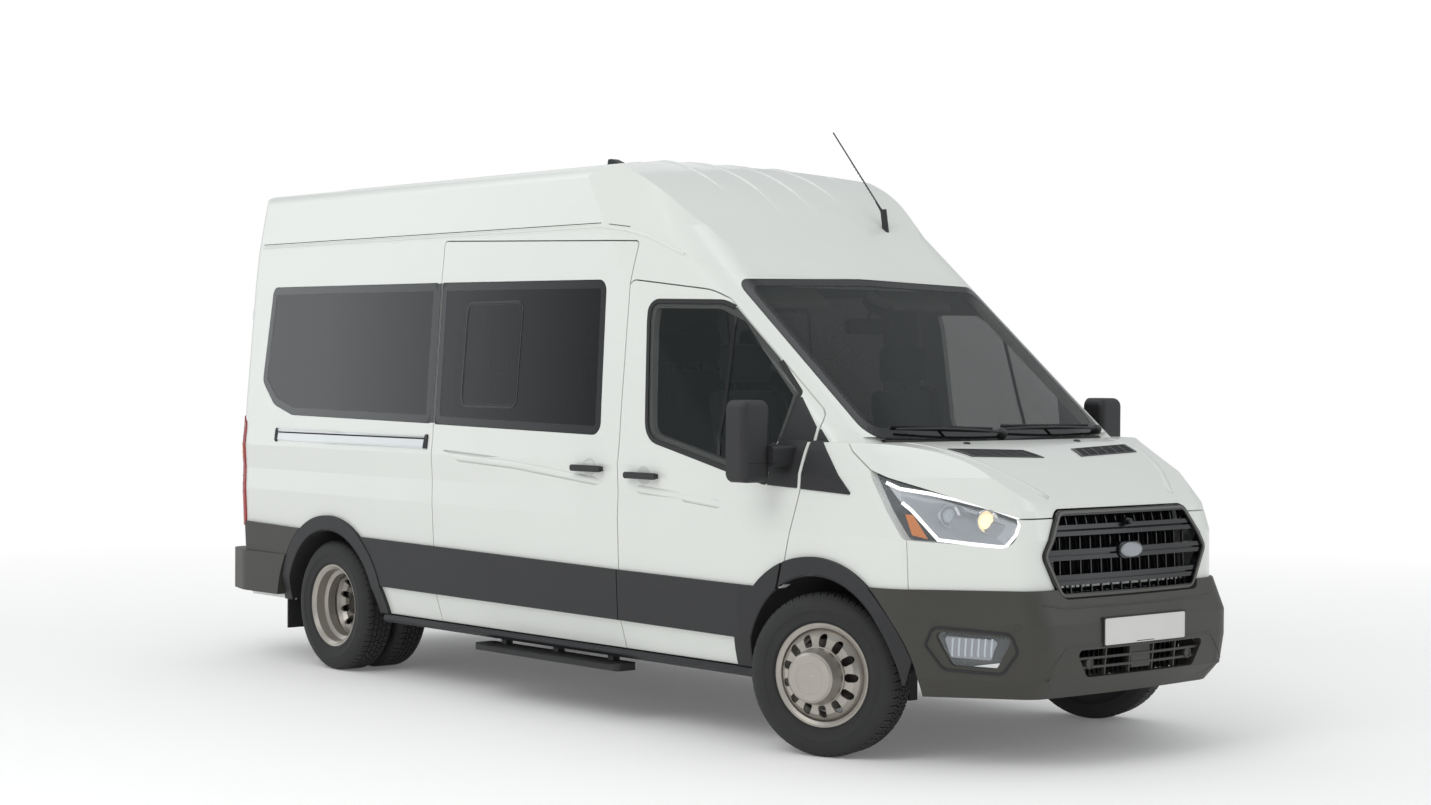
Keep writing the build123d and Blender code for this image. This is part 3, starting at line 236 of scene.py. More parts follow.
def empty_material(name: str) -> tuple[bpy.types.Material, bpy.types.NodeTree]:
    """Make a node material without nodes.

    Args:
        name: material name.

    Returns:
        The material and its node tree.
    """
    made = bpy.data.materials.new(name)
    made.use_nodes = True
    made.node_tree.nodes.clear()
    return made, made.node_tree


@dataclass(frozen=True)
class Finish:
    """Moulded, painted or coated surface with fine relief and a slight change of tone."""

    name: str
    slot: str
    colour: str
    second: str
    roughness: float
    metallic: float = 0.0
    grain_mm: float = 1.5
    relief: float = 0.05
    patch_mm: float = 300.0
    coat: float = 0.0
    alpha: float = 1.0
    specular: float = 0.5
    sheen: float = 0.0
    stretch: Point = (1.0, 1.0, 1.0)
    glow: float = 0.0

    def material(self) -> bpy.types.Material:
        """Make the node material, or give back the one made before.

        Returns:
            The material.
        """
        found = bpy.data.materials.get(self.name)
        if found:
            return found
        made, tree = empty_material(self.name)
        place = add_node(tree, "ShaderNodeTexCoord").outputs["Object"]
        scaled = add_node(tree, "ShaderNodeMapping", {"Vector": place, "Scale": self.stretch}).outputs[0]
        patches = add_node(
            tree, "ShaderNodeTexNoise", {"Vector": scaled, "Scale": 1000 / self.patch_mm, "Detail": 3.0}
        )
        tone = add_node(
            tree, "ShaderNodeMix",
            {"Factor": patches.outputs["Fac"], 6: linear(self.colour), 7: linear(self.second)},
            data_type="RGBA",
        )
        grain = add_node(
            tree, "ShaderNodeTexNoise", {"Vector": scaled, "Scale": 1000 / self.grain_mm, "Detail": 2.0}
        )
        bump = add_node(
            tree, "ShaderNodeBump",
            {"Height": grain.outputs["Fac"], "Strength": self.relief, "Distance": self.grain_mm / 2000},
        )
        shader = add_node(
            tree, "ShaderNodeBsdfPrincipled",
            {
                "Base Color": tone.outputs[2], "Normal": bump.outputs[0], "Roughness": self.roughness,
                "Metallic": self.metallic, "Coat Weight": self.coat, "Coat Roughness": 0.08,
                "Alpha": self.alpha, "Specular IOR Level": self.specular, "Sheen Weight": self.sheen,
            },
        )
        if self.glow:
            shader.inputs["Emission Color"].default_value = linear(self.colour)
            shader.inputs["Emission Strength"].default_value = self.glow
        add_node(tree, "ShaderNodeOutputMaterial", {"Surface": shader.outputs[0]})
        return made


@dataclass(frozen=True)
class WovenFinish:
    """Woven seat cloth: two crossed sets of threads and soft fuzz."""

    name: str
    slot: str
    colour: str
    second: str
    thread_mm: float = 4.0

    def material(self) -> bpy.types.Material:
        """Make the node material, or give back the one made before.

        Returns:
            The material.
        """
        found = bpy.data.materials.get(self.name)
        if found:
            return found
        made, tree = empty_material(self.name)
        place = add_node(tree, "ShaderNodeTexCoord").outputs["Object"]
        scale = 1000 / self.thread_mm / 6.283
        across = add_node(tree, "ShaderNodeTexWave", {"Vector": place, "Scale": scale}, bands_direction="Y")
        along = add_node(
            tree, "ShaderNodeTexWave", {"Vector": place, "Scale": scale}, bands_direction="DIAGONAL"
        )
        weave = add_node(
            tree, "ShaderNodeMath", {0: across.outputs["Fac"], 1: along.outputs["Fac"]}, operation="MULTIPLY"
        )
        tone = add_node(
            tree, "ShaderNodeMix",
            {"Factor": weave.outputs[0], 6: linear(self.colour), 7: linear(self.second)}, data_type="RGBA",
        )
        bump = add_node(
            tree, "ShaderNodeBump", {"Height": weave.outputs[0], "Strength": 0.3, "Distance": 0.001}
        )
        shader = add_node(
            tree, "ShaderNodeBsdfPrincipled",
            {"Base Color": tone.outputs[2], "Normal": bump.outputs[0], "Roughness": 0.9, "Sheen Weight": 0.3},
        )
        add_node(tree, "ShaderNodeOutputMaterial", {"Surface": shader.outputs[0]})
        return made


# sprayed car paint: smooth, with a clear coat that gives soft highlights
BODY_PAINT = Finish(
    "satin_white_car_paint", "paint", "D8DBD6", "DCDFDA", 0.32, coat=0.45, relief=0.01, grain_mm=2.5
)
# the same paint darkened: painted shade of a handle cup
CUP_SHADE_PAINT = Finish(
    "shaded_white_car_paint", "paint", "C2C5C1", "C9CCC8", 0.36, coat=0.3, relief=0.01, grain_mm=2.5
)
# injection-moulded polypropylene, left unpainted: matt, finely grained charcoal
GRAINED_PLASTIC = Finish(
    "grained_black_polypropylene", "black_trim", "1E1E20", "252527", 0.55, relief=0.35, grain_mm=1.6
)
# the same plastic in the bumper's warmer, lighter tone
BUMPER_PLASTIC = Finish(
    "grained_grey_polypropylene", "black_trim", "35342F", "3B3A36", 0.5, relief=0.3, grain_mm=1.8
)
# moulded ABS with a polished face: deep black, clear highlights
GLOSS_PLASTIC = Finish(
    "polished_black_abs", "gloss_black", "0B0B0D", "101012", 0.22, relief=0.02, specular=0.5
)
# moulded ABS with a satin face, as on the grille's upper rim
SATIN_GREY = Finish("satin_grey_abs", "black_trim", "54544F", "5C5B56", 0.42, relief=0.05)
# clear tinted laminated glass: one can see the seats behind it
CLEAR_GLASS = Finish(
    "laminated_clear_glass", "window_glass", "141A19", "161C1B", 0.03, relief=0.0, alpha=0.46, specular=0.5
)
# privacy glass: much darker, mirror-smooth
DARK_GLASS = Finish(
    "toughened_dark_glass", "dark_glass", "060708", "08090A", 0.03, relief=0.0, alpha=0.8, specular=0.4
)
# fired black enamel on the edge of a pane
GLASS_ENAMEL = Finish("fired_black_enamel", "dark_glass", "0A0A0B", "0C0C0D", 0.12, relief=0.0)
# clear polycarbonate lens of a lamp
LAMP_LENS = Finish(
    "clear_polycarbonate", "lamp_clear", "C9CED2", "CFD4D8", 0.04, relief=0.0, alpha=0.14, specular=0.7
)
# red acrylic lens
RED_LENS = Finish("red_acrylic", "lamp_red", "8E1013", "A01518", 0.12, relief=0.02, patch_mm=40)
# amber acrylic reflector
AMBER_LENS = Finish("amber_acrylic", "lamp_clear", "C4701C", "D07A22", 0.15, relief=0.02, patch_mm=40)
# vacuum-metallised reflector behind a lens
REFLECTOR = Finish("metallised_reflector", "lamp_clear", "D8DADC", "E2E4E6", 0.12, metallic=1.0, relief=0.0)
# lit light guide: white polycarbonate that glows evenly
LIGHT_GUIDE = Finish("white_light_guide", "lamp_clear", "F2F3F2", "F7F8F7", 0.3, relief=0.0, glow=1.0)
# dark moulded lamp bezel
LAMP_BEZEL = Finish("dark_lamp_bezel", "lamp_clear", "A4A8AD", "B2B6BB", 0.26, metallic=0.5, relief=0.05)
# pressed steel wheel with silver paint that has a warm metallic fleck
WHEEL_PAINT = Finish(
    "silver_painted_steel", "wheel_steel", "AAA59D", "B6B1A9", 0.36, metallic=0.7, relief=0.06, grain_mm=0.8,
    patch_mm=60,
)
# zinc-plated steel of nuts, bolts and clamps
ZINC = Finish(
    "zinc_plated_steel", "cast_metal", "8F8C86", "A09D97", 0.35, metallic=0.9, relief=0.1, grain_mm=0.6,
    patch_mm=10,
)
# vulcanised rubber, faintly dusty
TYRE_RUBBER = Finish(
    "vulcanised_tyre_rubber", "tyre_rubber", "222223", "2C2C2C", 0.74, relief=0.3, grain_mm=1.2, patch_mm=120
)
# black chassis paint over pressed steel
CHASSIS_PAINT = Finish(
    "matt_black_chassis_paint", "steel_dark", "1C1C1D", "262524", 0.65, relief=0.15, grain_mm=3
)
# as-cast iron, lightly rusted
CAST_IRON = Finish(
    "as_cast_iron", "cast_metal", "3A3735", "4A4340", 0.7, metallic=0.5, relief=0.5, grain_mm=2.5, patch_mm=60
)
# dull heat-tinted exhaust tube
EXHAUST_STEEL = Finish(
    "heat_tinted_steel", "rail_metal", "7A736A", "8D8478", 0.45, metallic=0.9, relief=0.1, patch_mm=90
)
# extruded and anodised aluminium
ANODISED = Finish(
    "anodised_aluminium", "rail_metal", "C6C8C8", "D0D2D2", 0.28, metallic=0.7, relief=0.03,
    stretch=(0.05, 1, 1),
)
# glass-bead vinyl flooring
FLOOR_VINYL = Finish(
    "flecked_vinyl_floor", "floor_vinyl", "4A4C4E", "6A6C6E", 0.6, relief=0.1, grain_mm=4, patch_mm=8
)
# soft grained dashboard skin
DASH_SKIN = Finish(
    "soft_grained_dashboard_skin", "dash_plastic", "26272A", "2E2F32", 0.7, relief=0.4, grain_mm=2.2
)
# powder-coated seat tube
POWDER_COAT = Finish("black_powder_coat", "steel_dark", "1E1E20", "252527", 0.5, relief=0.1, grain_mm=1)
# ground brake disc, dull from use
BRAKE_STEEL = Finish(
    "ground_brake_steel", "cast_metal", "5A5652", "6B6660", 0.42, metallic=0.85, relief=0.1, patch_mm=30,
    stretch=(1, 6, 1),
)
# bare badge: satin metal with nothing on it
BADGE_METAL = Finish("bare_satin_metal", "gloss_black", "8E9196", "9A9DA2", 0.3, metallic=0.8, relief=0.02)
# silvered mirror glass
MIRROR_GLASS = Finish(
    "silvered_mirror_glass", "window_glass", "C6CBCF", "CCD1D5", 0.02, metallic=1.0, relief=0.0
)
# foam-backed headlining cloth
HEADLINING = Finish(
    "foam_backed_headlining", "dash_plastic", "8B8A86", "94938F", 0.9, relief=0.2, grain_mm=2.0, sheen=0.2
)
# tightly woven seat-belt web
BELT_WEB = Finish(
    "woven_belt_web", "seat_fabric", "1C1C1E", "26262A", 0.85, relief=0.5, grain_mm=1.5, sheen=0.2,
    stretch=(1, 8, 1),
)
# near-black sheet: painted shade in vent depths, shut lines, seams and slots, also on the grille's black fins
PAINTED_SHADE_BLACK = Finish("unlit_vent_plastic", "black_trim", "060607", "08080A", 0.75, relief=0.1)
# clear moulded glass of a projector
LAMP_GLASS = Finish("moulded_lamp_glass", "lamp_clear", "AEB6BD", "BAC2C8", 0.05, relief=0.02, specular=0.8)
# low beam: warm, softly lit
WARM_LAMP = Finish("warm_lit_lamp", "lamp_clear", "FFE2B0", "FFEAC4", 0.2, relief=0.02, glow=0.9)
# bare number plate: white reflective sheet
BARE_PLATE = Finish(
    "bare_reflective_plate", "rail_metal", "C9C9C6", "D2D2CF", 0.32, metallic=0.25, relief=0.02
)
# seat cloth in slate blue-grey
SEAT_CLOTH = WovenFinish("woven_slate_seat_cloth", "seat_fabric", "3A3F48", "525862")

NODE_FINISHES: dict[Finish | WovenFinish, str] = {
    # the solids of each finish; a star stands for left and right
    BODY_PAINT: "side_wall_* roof sliding_door front_wings nose_panel bonnet front_door_* rear_door_*",
    CLEAR_GLASS: "windscreen front_door_glass_*",
    DARK_GLASS: "side_glass rear_door_glass_*",
    LAMP_LENS: "front_lamps",
    GRAINED_PLASTIC: "front_door_trim_* body_trim wheel_liners fuel_tank roof_aerials",
    BUMPER_PLASTIC: "front_bumper rear_bumper",
    ANODISED: "door_rail",
    RED_LENS: "tail_lamps",
    GLOSS_PLASTIC: "grille",
    TYRE_RUBBER: "tyre_front_* tyres_rear_*",
    WHEEL_PAINT: "rim_front_* rims_rear_*",
    CAST_IRON: "knuckle_* rear_axle engine",
    CHASSIS_PAINT: "suspension chassis bulkhead",
    EXHAUST_STEEL: "exhaust",
    FLOOR_VINYL: "floor",
    DASH_SKIN: "dashboard steering_wheel",
    POWDER_COAT: "seat_frames",
    SEAT_CLOTH: "seat_cushions",
}


def dress_nodes() -> None:
    """Give every carried-over solid the finish of its real material."""
    for finish, names in NODE_FINISHES.items():
        for name in names.split():
            for word in ("left", "right") if "*" in name else ("",):
                solid = bpy.data.objects[name.replace("*", word)]
                solid.data.materials.clear()
                solid.data.materials.append(finish.material())


# ---------------------------------------------------------------- mesh helpers
def mesh_of(shape: BMesh, smooth: bool = False) -> Mesh:
    """Close a bmesh into a mesh with outward faces.

    Args:
        shape: working mesh, freed here.
        smooth: whether its faces are shaded smooth.

    Returns:
        The mesh.
    """
    bmesh.ops.remove_doubles(shape, verts=shape.verts, dist=1e-6)
    bmesh.ops.recalc_face_normals(shape, faces=shape.faces)
    mesh = bpy.data.meshes.new("piece")
    shape.to_mesh(mesh)
    shape.free()
    for face in mesh.polygons:
        face.use_smooth = smooth
    return mesh


def piece(
    name: str, form: Mesh | BMesh, finish: Finish | WovenFinish, body: str = "body", slot: str = "",
    smooth: bool = False,
) -> bpy.types.Object:
    """Put a form in the scene as a finished piece that rides on a body.

    Args:
        name: piece name.
        form: mesh or working mesh in place, in metres.
        finish: finish it is given, unless the mesh has materials.
        body: body it moves with.
        slot: material slot of the record, where it isn't the finish's usual one.
        smooth: whether the faces of a working mesh are shaded smooth.

    Returns:
        The new object.
    """
    mesh = mesh_of(form, smooth) if isinstance(form, BMesh) else form
    mesh.name = name
    made = bpy.data.objects.new(name, mesh)
    bpy.context.scene.collection.objects.link(made)
    if not mesh.materials:
        mesh.materials.append(finish.material())
    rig.ride(made, body)
    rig.slot(made, slot or finish.slot)
    log.info("made %s", name)
    return made


def facing(spot: Vector, ahead: Vector) -> Matrix:
    """Matrix that moves the origin to a spot and turns Y to a direction."""
    return Matrix.Translation(spot) @ ahead.to_track_quat("Y", "Z").to_matrix().to_4x4()


def add_prism(
    shape: BMesh, outline: Outline, place: Callable[..., Point | Vector], low: float, high: float
) -> None:
    """Add a closed prism.

    Args:
        shape: working mesh.
        outline: corners (u, v).
        place: function of (u, v, depth) that gives a point in space.
        low: first depth.
        high: last depth.
    """
    near = [shape.verts.new(place(u, v, low)) for u, v in outline]
    far = [shape.verts.new(place(u, v, high)) for u, v in outline]
    shape.faces.new(near[::-1])
    shape.faces.new(far)
    for i, vert in enumerate(near):
        j = (i + 1) % len(near)
        shape.faces.new((vert, near[j], far[j], far[i]))


def add_tube(shape: BMesh, points: list[Point], radius: float, sides: int = 8, closed: bool = False) -> None:
    """Add a round tube along points.

    Args:
        shape: working mesh.
        points: centre line.
        radius: tube radius.
        sides: faces round it.
        closed: whether the line joins its own start.
    """
    centres = [Vector(p) for p in points]
    count = len(centres)
    rings = []
    for i, here in enumerate(centres):
        last = centres[i - 1] if closed or i else here
        after = centres[(i + 1) % count] if closed or i < count - 1 else here
        along = (after - last).normalized()
        side = along.cross(Vector((0.13, 0.27, 1.0))).normalized()
        up = side.cross(along)
        ring = []
        for k in range(sides):
            turn = 2 * pi * k / sides
            ring.append(shape.verts.new(here + radius * (cos(turn) * side + sin(turn) * up)))
        rings.append(ring)
    for i in range(count if closed else count - 1):
        ring, after_ring = rings[i], rings[(i + 1) % count]
        for k in range(sides):
            m = (k + 1) % sides
            shape.faces.new((ring[k], ring[m], after_ring[m], after_ring[k]))
    if not closed:
        shape.faces.new(rings[0][::-1])
        shape.faces.new(rings[-1])


def rounded(outline: list[tuple[float, float, float]], steps: int = 5) -> Outline:
    """Outline with rounded corners.

    Args:
        outline: corners (u, v, radius).
        steps: points on each arc.

    Returns:
        Plain corners.
    """
    points: Outline = []
    count = len(outline)
    for i, (u, v, radius) in enumerate(outline):
        here = Vector((u, v))
        if radius <= 0:
            points.append((u, v))
            continue
        back = (Vector(outline[i - 1][:2]) - here).normalized()
        ahead = (Vector(outline[(i + 1) % count][:2]) - here).normalized()
        half = back.angle(ahead) / 2
        middle = here + (back + ahead).normalized() * (radius / sin(half))
        start = here + back * (radius / tan(half)) - middle
        end = here + ahead * (radius / tan(half)) - middle
        turn = start.angle_signed(end)
        for k in range(steps + 1):
            angle = -turn * k / steps
            p = middle + Vector(
                (start.x * cos(angle) - start.y * sin(angle), start.x * sin(angle) + start.y * cos(angle))
            )
            points.append((p.x, p.y))
    return points


Station = tuple[Vector, Vector]


@dataclass
class Skin:
    """Outer surface of some carried-over solids, found by rays.

    Pieces are laid on it, so that they sit on what carries them.
    """

    nodes: tuple[str, ...]

    def __post_init__(self) -> None:
        """Index the faces of the solids."""
        shape = bmesh.new()
        for node in self.nodes:
            shape.from_mesh(bpy.data.objects[node].data)
        self.tree = BVHTree.FromBMesh(shape)
        shape.free()

    def hit(self, start: Point, along: Point) -> Station:
        """First point of the surface on a ray.

        Args:
            start: where the ray starts.
            along: its direction.

        Returns:
            The point and the normal that faces the ray.
        """
        spot, normal, _, _ = self.tree.ray_cast(Vector(start), Vector(along))
        if spot is None:
            raise ValueError(f"no surface of {self.nodes} from {start}")
        if normal.dot(Vector(along)) > 0:
            normal = -normal
        return spot, normal.normalized()

    def side(self, x: float, z: float, side: Side) -> Station:
        """Point seen from one side at a place (x, z)."""
        return self.hit((x, side.value * 2.0, z), (0, -side.value, 0))

    def front(self, y: float, z: float) -> Station:
        """Point seen from ahead at a place (y, z)."""
        return self.hit((4.0, y, z), (-1, 0, 0))

    def back(self, y: float, z: float) -> Station:
        """Point seen from behind at a place (y, z)."""
        return self.hit((-4.0, y, z), (1, 0, 0))

    def top(self, x: float, y: float) -> Station:
        """Point seen from above at a place (x, y)."""
        return self.hit((x, y, 4.0), (0, 0, -1))

    def below(self, x: float, y: float) -> Station:
        """Point seen from below at a place (x, y)."""
        return self.hit((x, y, -1.0), (0, 0, 1))


def longest_run(points: Outline, cast: Callable[..., Station], closed: bool = True) -> list[Station]:
    """Longest unbroken run of points that have a surface under them.

    Args:
        points: places (u, v).
        cast: function that gives the station of a place, or raises ValueError.
        closed: whether the last point joins the first.

    Returns:
        The stations of that run.
    """
    found: list[Station | None] = []
    for u, v in points:
        try:
            found.append(cast(u, v))
        except ValueError:
            found.append(None)
    if closed and None in found:
        first = found.index(None)
        found = found[first:] + found[:first]
    runs: list[list[Station]] = [[]]
    for station in found:
        if station is None:
            runs.append([])
        else:
            runs[-1].append(station)
    return max(runs, key=len)


def hits(cast: Callable[..., Station], points: Iterable[tuple]) -> list[Station]:
    """Stations of those points where a cast meets a surface.

    Args:
        cast: method of a skin.
        points: arguments of each cast.

    Returns:
        The stations found, in the order of the points.
    """
    found = []
    for point in points:
        with suppress(ValueError):
            found.append(cast(*point))
    return found


def stepped(line: Outline, step: float, closed: bool = False) -> Outline:
    """Line with extra points, none further apart than a step.

    Args:
        line: points (u, v).
        step: longest distance between points.
        closed: whether the last point joins the first.

    Returns:
        The finer line.
    """
    points: Outline = []
    count = len(line)
    for i in range(count if closed else count - 1):
        here, after = Vector(line[i]), Vector(line[(i + 1) % count])
        parts = max(1, ceil((after - here).length / step))
        for k in range(parts):
            spot = here.lerp(after, k / parts)
            points.append((spot.x, spot.y))
    if not closed:
        points.append(line[-1])
    return points


def inset(loop: Outline, distance: float) -> Outline:
    """Closed loop drawn in by a distance, point for point.

    Args:
        loop: points (u, v) all round.
        distance: how far each point moves towards the inside.

    Returns:
        As many points.
    """
    count = len(loop)
    area = sum(
        loop[i][0] * loop[(i + 1) % count][1] - loop[(i + 1) % count][0] * loop[i][1] for i in range(count)
    )
    sign = 1 if area > 0 else -1
    drawn: Outline = []
    for i, (u, v) in enumerate(loop):
        back, ahead = Vector(loop[i - 1]), Vector(loop[(i + 1) % count])
        along = (ahead - back).normalized()
        drawn.append((u - sign * along.y * distance, v + sign * along.x * distance))
    return drawn


def add_sweep(shape: BMesh, line: list[Station], profile: Outline, closed: bool = False) -> None:
    """Sweep a closed profile along points of a surface.

    Args:
        shape: working mesh.
        line: points with the surface normals there.
        profile: corners (across, out), in metres.
        closed: whether the line joins its own start.
    """
    count = len(line)
    rings = []
    for i, (here, normal) in enumerate(line):
        last = line[i - 1][0] if closed or i else here
        after = line[(i + 1) % count][0] if closed or i < count - 1 else here
        into = (here - last).normalized() if (here - last).length > 1e-9 else (after - here).normalized()
        along = (into + (after - here).normalized()).normalized() if (after - here).length > 1e-9 else into
        across = along.cross(normal).normalized()
        out = across.cross(along).normalized()
        widen = 1 / max(0.6, along.dot(into))
        rings.append([shape.verts.new(here + across * u * widen + out * v) for u, v in profile])
    for i in range(count if closed else count - 1):
        ring, after_ring = rings[i], rings[(i + 1) % count]
        for k in range(len(profile)):
            m = (k + 1) % len(profile)
            shape.faces.new((ring[k], ring[m], after_ring[m], after_ring[k]))
    if not closed:
        shape.faces.new(rings[0][::-1])
        shape.faces.new(rings[-1])


def sunk_ends(line: list[Station], depth: float = 0.003, reach: int = 3) -> list[Station]:
    """Let both ends of a line of stations sink under the surface, so that a pressing fades out.

    Args:
        line: points with the surface normals there.
        depth: how far the first and last point sink.
        reach: how many points the fade takes.

    Returns:
        The new stations.
    """
    faded = []
    for i, (spot, normal) in enumerate(line):
        near = min(i, len(line) - 1 - i)
        faded.append((spot - normal * depth * max(0.0, 1 - near / reach), normal))
    return faded


def strip_profile(width: float, proud: float, sunk: float = 0.002, chamfer: float = 0.0) -> Outline:
    """Profile of a flat strip with chamfered upper edges.

    Args:
        width: full width.
        proud: height over the surface.
        sunk: depth under the surface.
        chamfer: size of the chamfers.

    Returns:
        Corners (across, out).
    """
    half = width / 2
    if not chamfer:
        return [(-half, -sunk), (half, -sunk), (half, proud), (-half, proud)]
    return [
        (-half, -sunk), (half, -sunk), (half, proud - chamfer), (half - chamfer, proud),
        (chamfer - half, proud), (-half, proud - chamfer),
    ]


def add_band(
    shape: BMesh, outer: list[Station], inner: list[Station], proud: float, sunk: float = 0.002
) -> None:
    """Add a closed band between two loops on a surface.

    Args:
        shape: working mesh.
        outer: outer loop of points with normals.
        inner: inner loop with as many points.
        proud: height over the surface.
        sunk: depth under the surface.
    """
    rings = []
    for (p, n), (q, m) in zip(outer, inner):
        spots = (p + n * proud, q + m * proud, q - m * sunk, p - n * sunk)
        rings.append([shape.verts.new(spot) for spot in spots])
    for i, ring in enumerate(rings):
        after = rings[(i + 1) % len(rings)]
        for k in range(4):
            m = (k + 1) % 4
            shape.faces.new((ring[k], ring[m], after[m], after[k]))


def add_patch(
    shape: BMesh, loop: list[Station], proud: float, sunk: float = 0.003, chamfer: float = 0.0
) -> None:
    """Add a small plate whose edge follows a surface.

    Args:
        shape: working mesh.
        loop: edge points with normals.
        proud: height over the surface.
        sunk: depth under the surface.
        chamfer: share of the way to the centre that the top's edge is drawn in.
    """
    centre = sum((p for p, _ in loop), Vector()) / len(loop)
    low = [shape.verts.new(p - n * sunk) for p, n in loop]
    rim = [shape.verts.new(p + n * proud * (0.5 if chamfer else 1.0)) for p, n in loop]
    levels = [low, rim]
    if chamfer:
        levels.append([shape.verts.new(p.lerp(centre, chamfer) + n * proud) for p, n in loop])
    for under, over in zip(levels, levels[1:]):
        for i, vert in enumerate(under):
            j = (i + 1) % len(under)
            shape.faces.new((vert, under[j], over[j], over[i]))
    shape.faces.new(low[::-1])
    shape.faces.new(levels[-1])


def add_lathe(shape: BMesh, profile: Outline, steps: int, place: Matrix, closed: bool = True) -> None:
    """Add a turned solid.

    Args:
        shape: working mesh.
        profile: corners (radius, distance along the axle).
        steps: faces round it.
        place: turns the axle (Y) and moves the centre.
        closed: whether the profile joins its own start.
    """
    rings = []
    for k in range(steps):
        turn = 2 * pi * k / steps
        ring = [shape.verts.new(place @ Vector((r * sin(turn), y, r * cos(turn)))) for r, y in profile]
        rings.append(ring)
    count = len(profile)
    for k, ring in enumerate(rings):
        after = rings[(k + 1) % steps]
        for i in range(count if closed else count - 1):
            j = (i + 1) % count
            shape.faces.new((ring[i], ring[j], after[j], after[i]))


def add_block(shape: BMesh, low: Point, high: Point, chamfer: float = 0.0) -> None:
    """Add a block with chamfered long edges.

    Args:
        shape: working mesh.
        low: lowest corner.
        high: highest corner.
        chamfer: size of the chamfers on the edges along X.
    """
    (x0, y0, z0), (x1, y1, z1) = low, high
    c = chamfer
    rows = [(y0, z0, c), (y1, z0, c), (y1, z1, c), (y0, z1, c)]
    add_prism(shape, rounded(rows, 2), lambda u, v, w: (w, u, v), x0, x1)


class Arrayed:
    """One shape repeated by a node tree, in a row or round an axle."""

    INPUTS = {
        "Count": "NodeSocketInt", "Step": "NodeSocketVector", "Turn": "NodeSocketVector",
        "Finish": "NodeSocketMaterial",
    }

    def __init__(self) -> None:
        """Make the node tree once: numbered points, instances, real geometry, finish."""
        tree = bpy.data.node_groups.new("repeat_in_a_row_or_ring", "GeometryNodeTree")
        tree.interface.new_socket("Geometry", in_out="INPUT", socket_type="NodeSocketGeometry")
        for name, kind in self.INPUTS.items():
            tree.interface.new_socket(name, in_out="INPUT", socket_type=kind)
        tree.interface.new_socket("Geometry", in_out="OUTPUT", socket_type="NodeSocketGeometry")
        given = add_node(tree, "NodeGroupInput").outputs
        number = add_node(tree, "GeometryNodeInputIndex").outputs[0]
        place = add_node(tree, "ShaderNodeVectorMath", {0: given["Step"], "Scale": number}, operation="SCALE")
        turn = add_node(tree, "ShaderNodeVectorMath", {0: given["Turn"], "Scale": number}, operation="SCALE")
        points = add_node(tree, "GeometryNodePoints", {"Count": given["Count"], "Position": place.outputs[0]})
        copies = add_node(
            tree, "GeometryNodeInstanceOnPoints",
            {"Points": points.outputs[0], "Instance": given["Geometry"], "Rotation": turn.outputs[0]},
        )
        real = add_node(tree, "GeometryNodeRealizeInstances", {"Geometry": copies.outputs[0]})
        finish = add_node(
            tree, "GeometryNodeSetMaterial", {"Geometry": real.outputs[0], "Material": given["Finish"]}
        )
        add_node(tree, "NodeGroupOutput", {"Geometry": finish.outputs[0]})
        self.tree = tree

    def repeat(
        self, mesh: Mesh, count: int, finish: Finish, step: Point = (0, 0, 0), turn: Point = (0, 0, 0),
        place: Matrix | None = None,
    ) -> Mesh:
        """Repeat a mesh and give back the result as a plain mesh.

        Args:
            mesh: shape to repeat, about the origin.
            count: number of copies.
            finish: finish of the copies.
            step: move from one copy to the next.
            turn: turn from one copy to the next, in radians about X, Y and Z.
            place: moves the whole row or ring.

        Returns:
            The new mesh.
        """
        carrier = bpy.data.objects.new("repeat_carrier", mesh)
        bpy.context.scene.collection.objects.link(carrier)
        modifier = carrier.modifiers.new("repeat", "NODES")
        modifier.node_group = self.tree
        values = {"Count": count, "Step": step, "Turn": turn, "Finish": finish.material()}
        for item in self.tree.interface.items_tree:
            if item.in_out == "INPUT" and item.name in values:
                modifier[item.identifier] = values[item.name]
        bpy.context.view_layer.update()
        graph = bpy.context.evaluated_depsgraph_get()
        result = bpy.data.meshes.new_from_object(carrier.evaluated_get(graph))
        bpy.data.objects.remove(carrier)
        if place is not None:
            result.transform(place)
        return result


def merged(*meshes: Mesh) -> Mesh:
    """Join meshes that share one finish.

    Args:
        meshes: meshes in place, the first with the finish of all.

    Returns:
        The joined mesh.
    """
    shape = bmesh.new()
    for mesh in meshes:
        shape.from_mesh(mesh)
    joined = bpy.data.meshes.new("joined")
    shape.to_mesh(joined)
    shape.free()
    for material in meshes[0].materials:
        joined.materials.append(material)
    return joined


# ---------------------------------------------------------------- wheels
@dataclass(frozen=True)
class Wheel:
    """One wheel position: node words, body, centre and angle."""

    words: str
    body: str
    centre: Point
    steer_deg: float = 0.0
    twin: float = 0.0

    @property
    def place(self) -> Matrix:
        """Matrix from the tyre's own frame, with its axle along Y."""
        return Matrix.Translation(self.centre) @ Matrix.Rotation(radians(self.steer_deg), 4, "Z")

    @property
    def sign(self) -> int:
        """Outboard direction along Y."""
        return 1 if self.centre[1] > 0 else -1


def wheels() -> list[Wheel]:
    """The four wheel positions, the front ones steered.

    Returns:
        The wheel positions.
    """
    found = []
    for side in Side:
        turn = radians(STEERED_DEG)
        x = FRONT_AXLE_X - side.value * SCRUB * sin(turn)
        y = side.value * (KINGPIN_Y + SCRUB * cos(turn))
        found.append(Wheel(f"front_{side.word}", f"wheel_front_{side.word}", (x, y, AXLE_Z), STEERED_DEG))
        centre = (REAR_AXLE_X, side.value * REAR_WHEEL_Y, AXLE_Z)
        found.append(Wheel(f"rear_{side.word}", f"wheels_rear_{side.word}", centre, 0.0, 0.219))
    return found


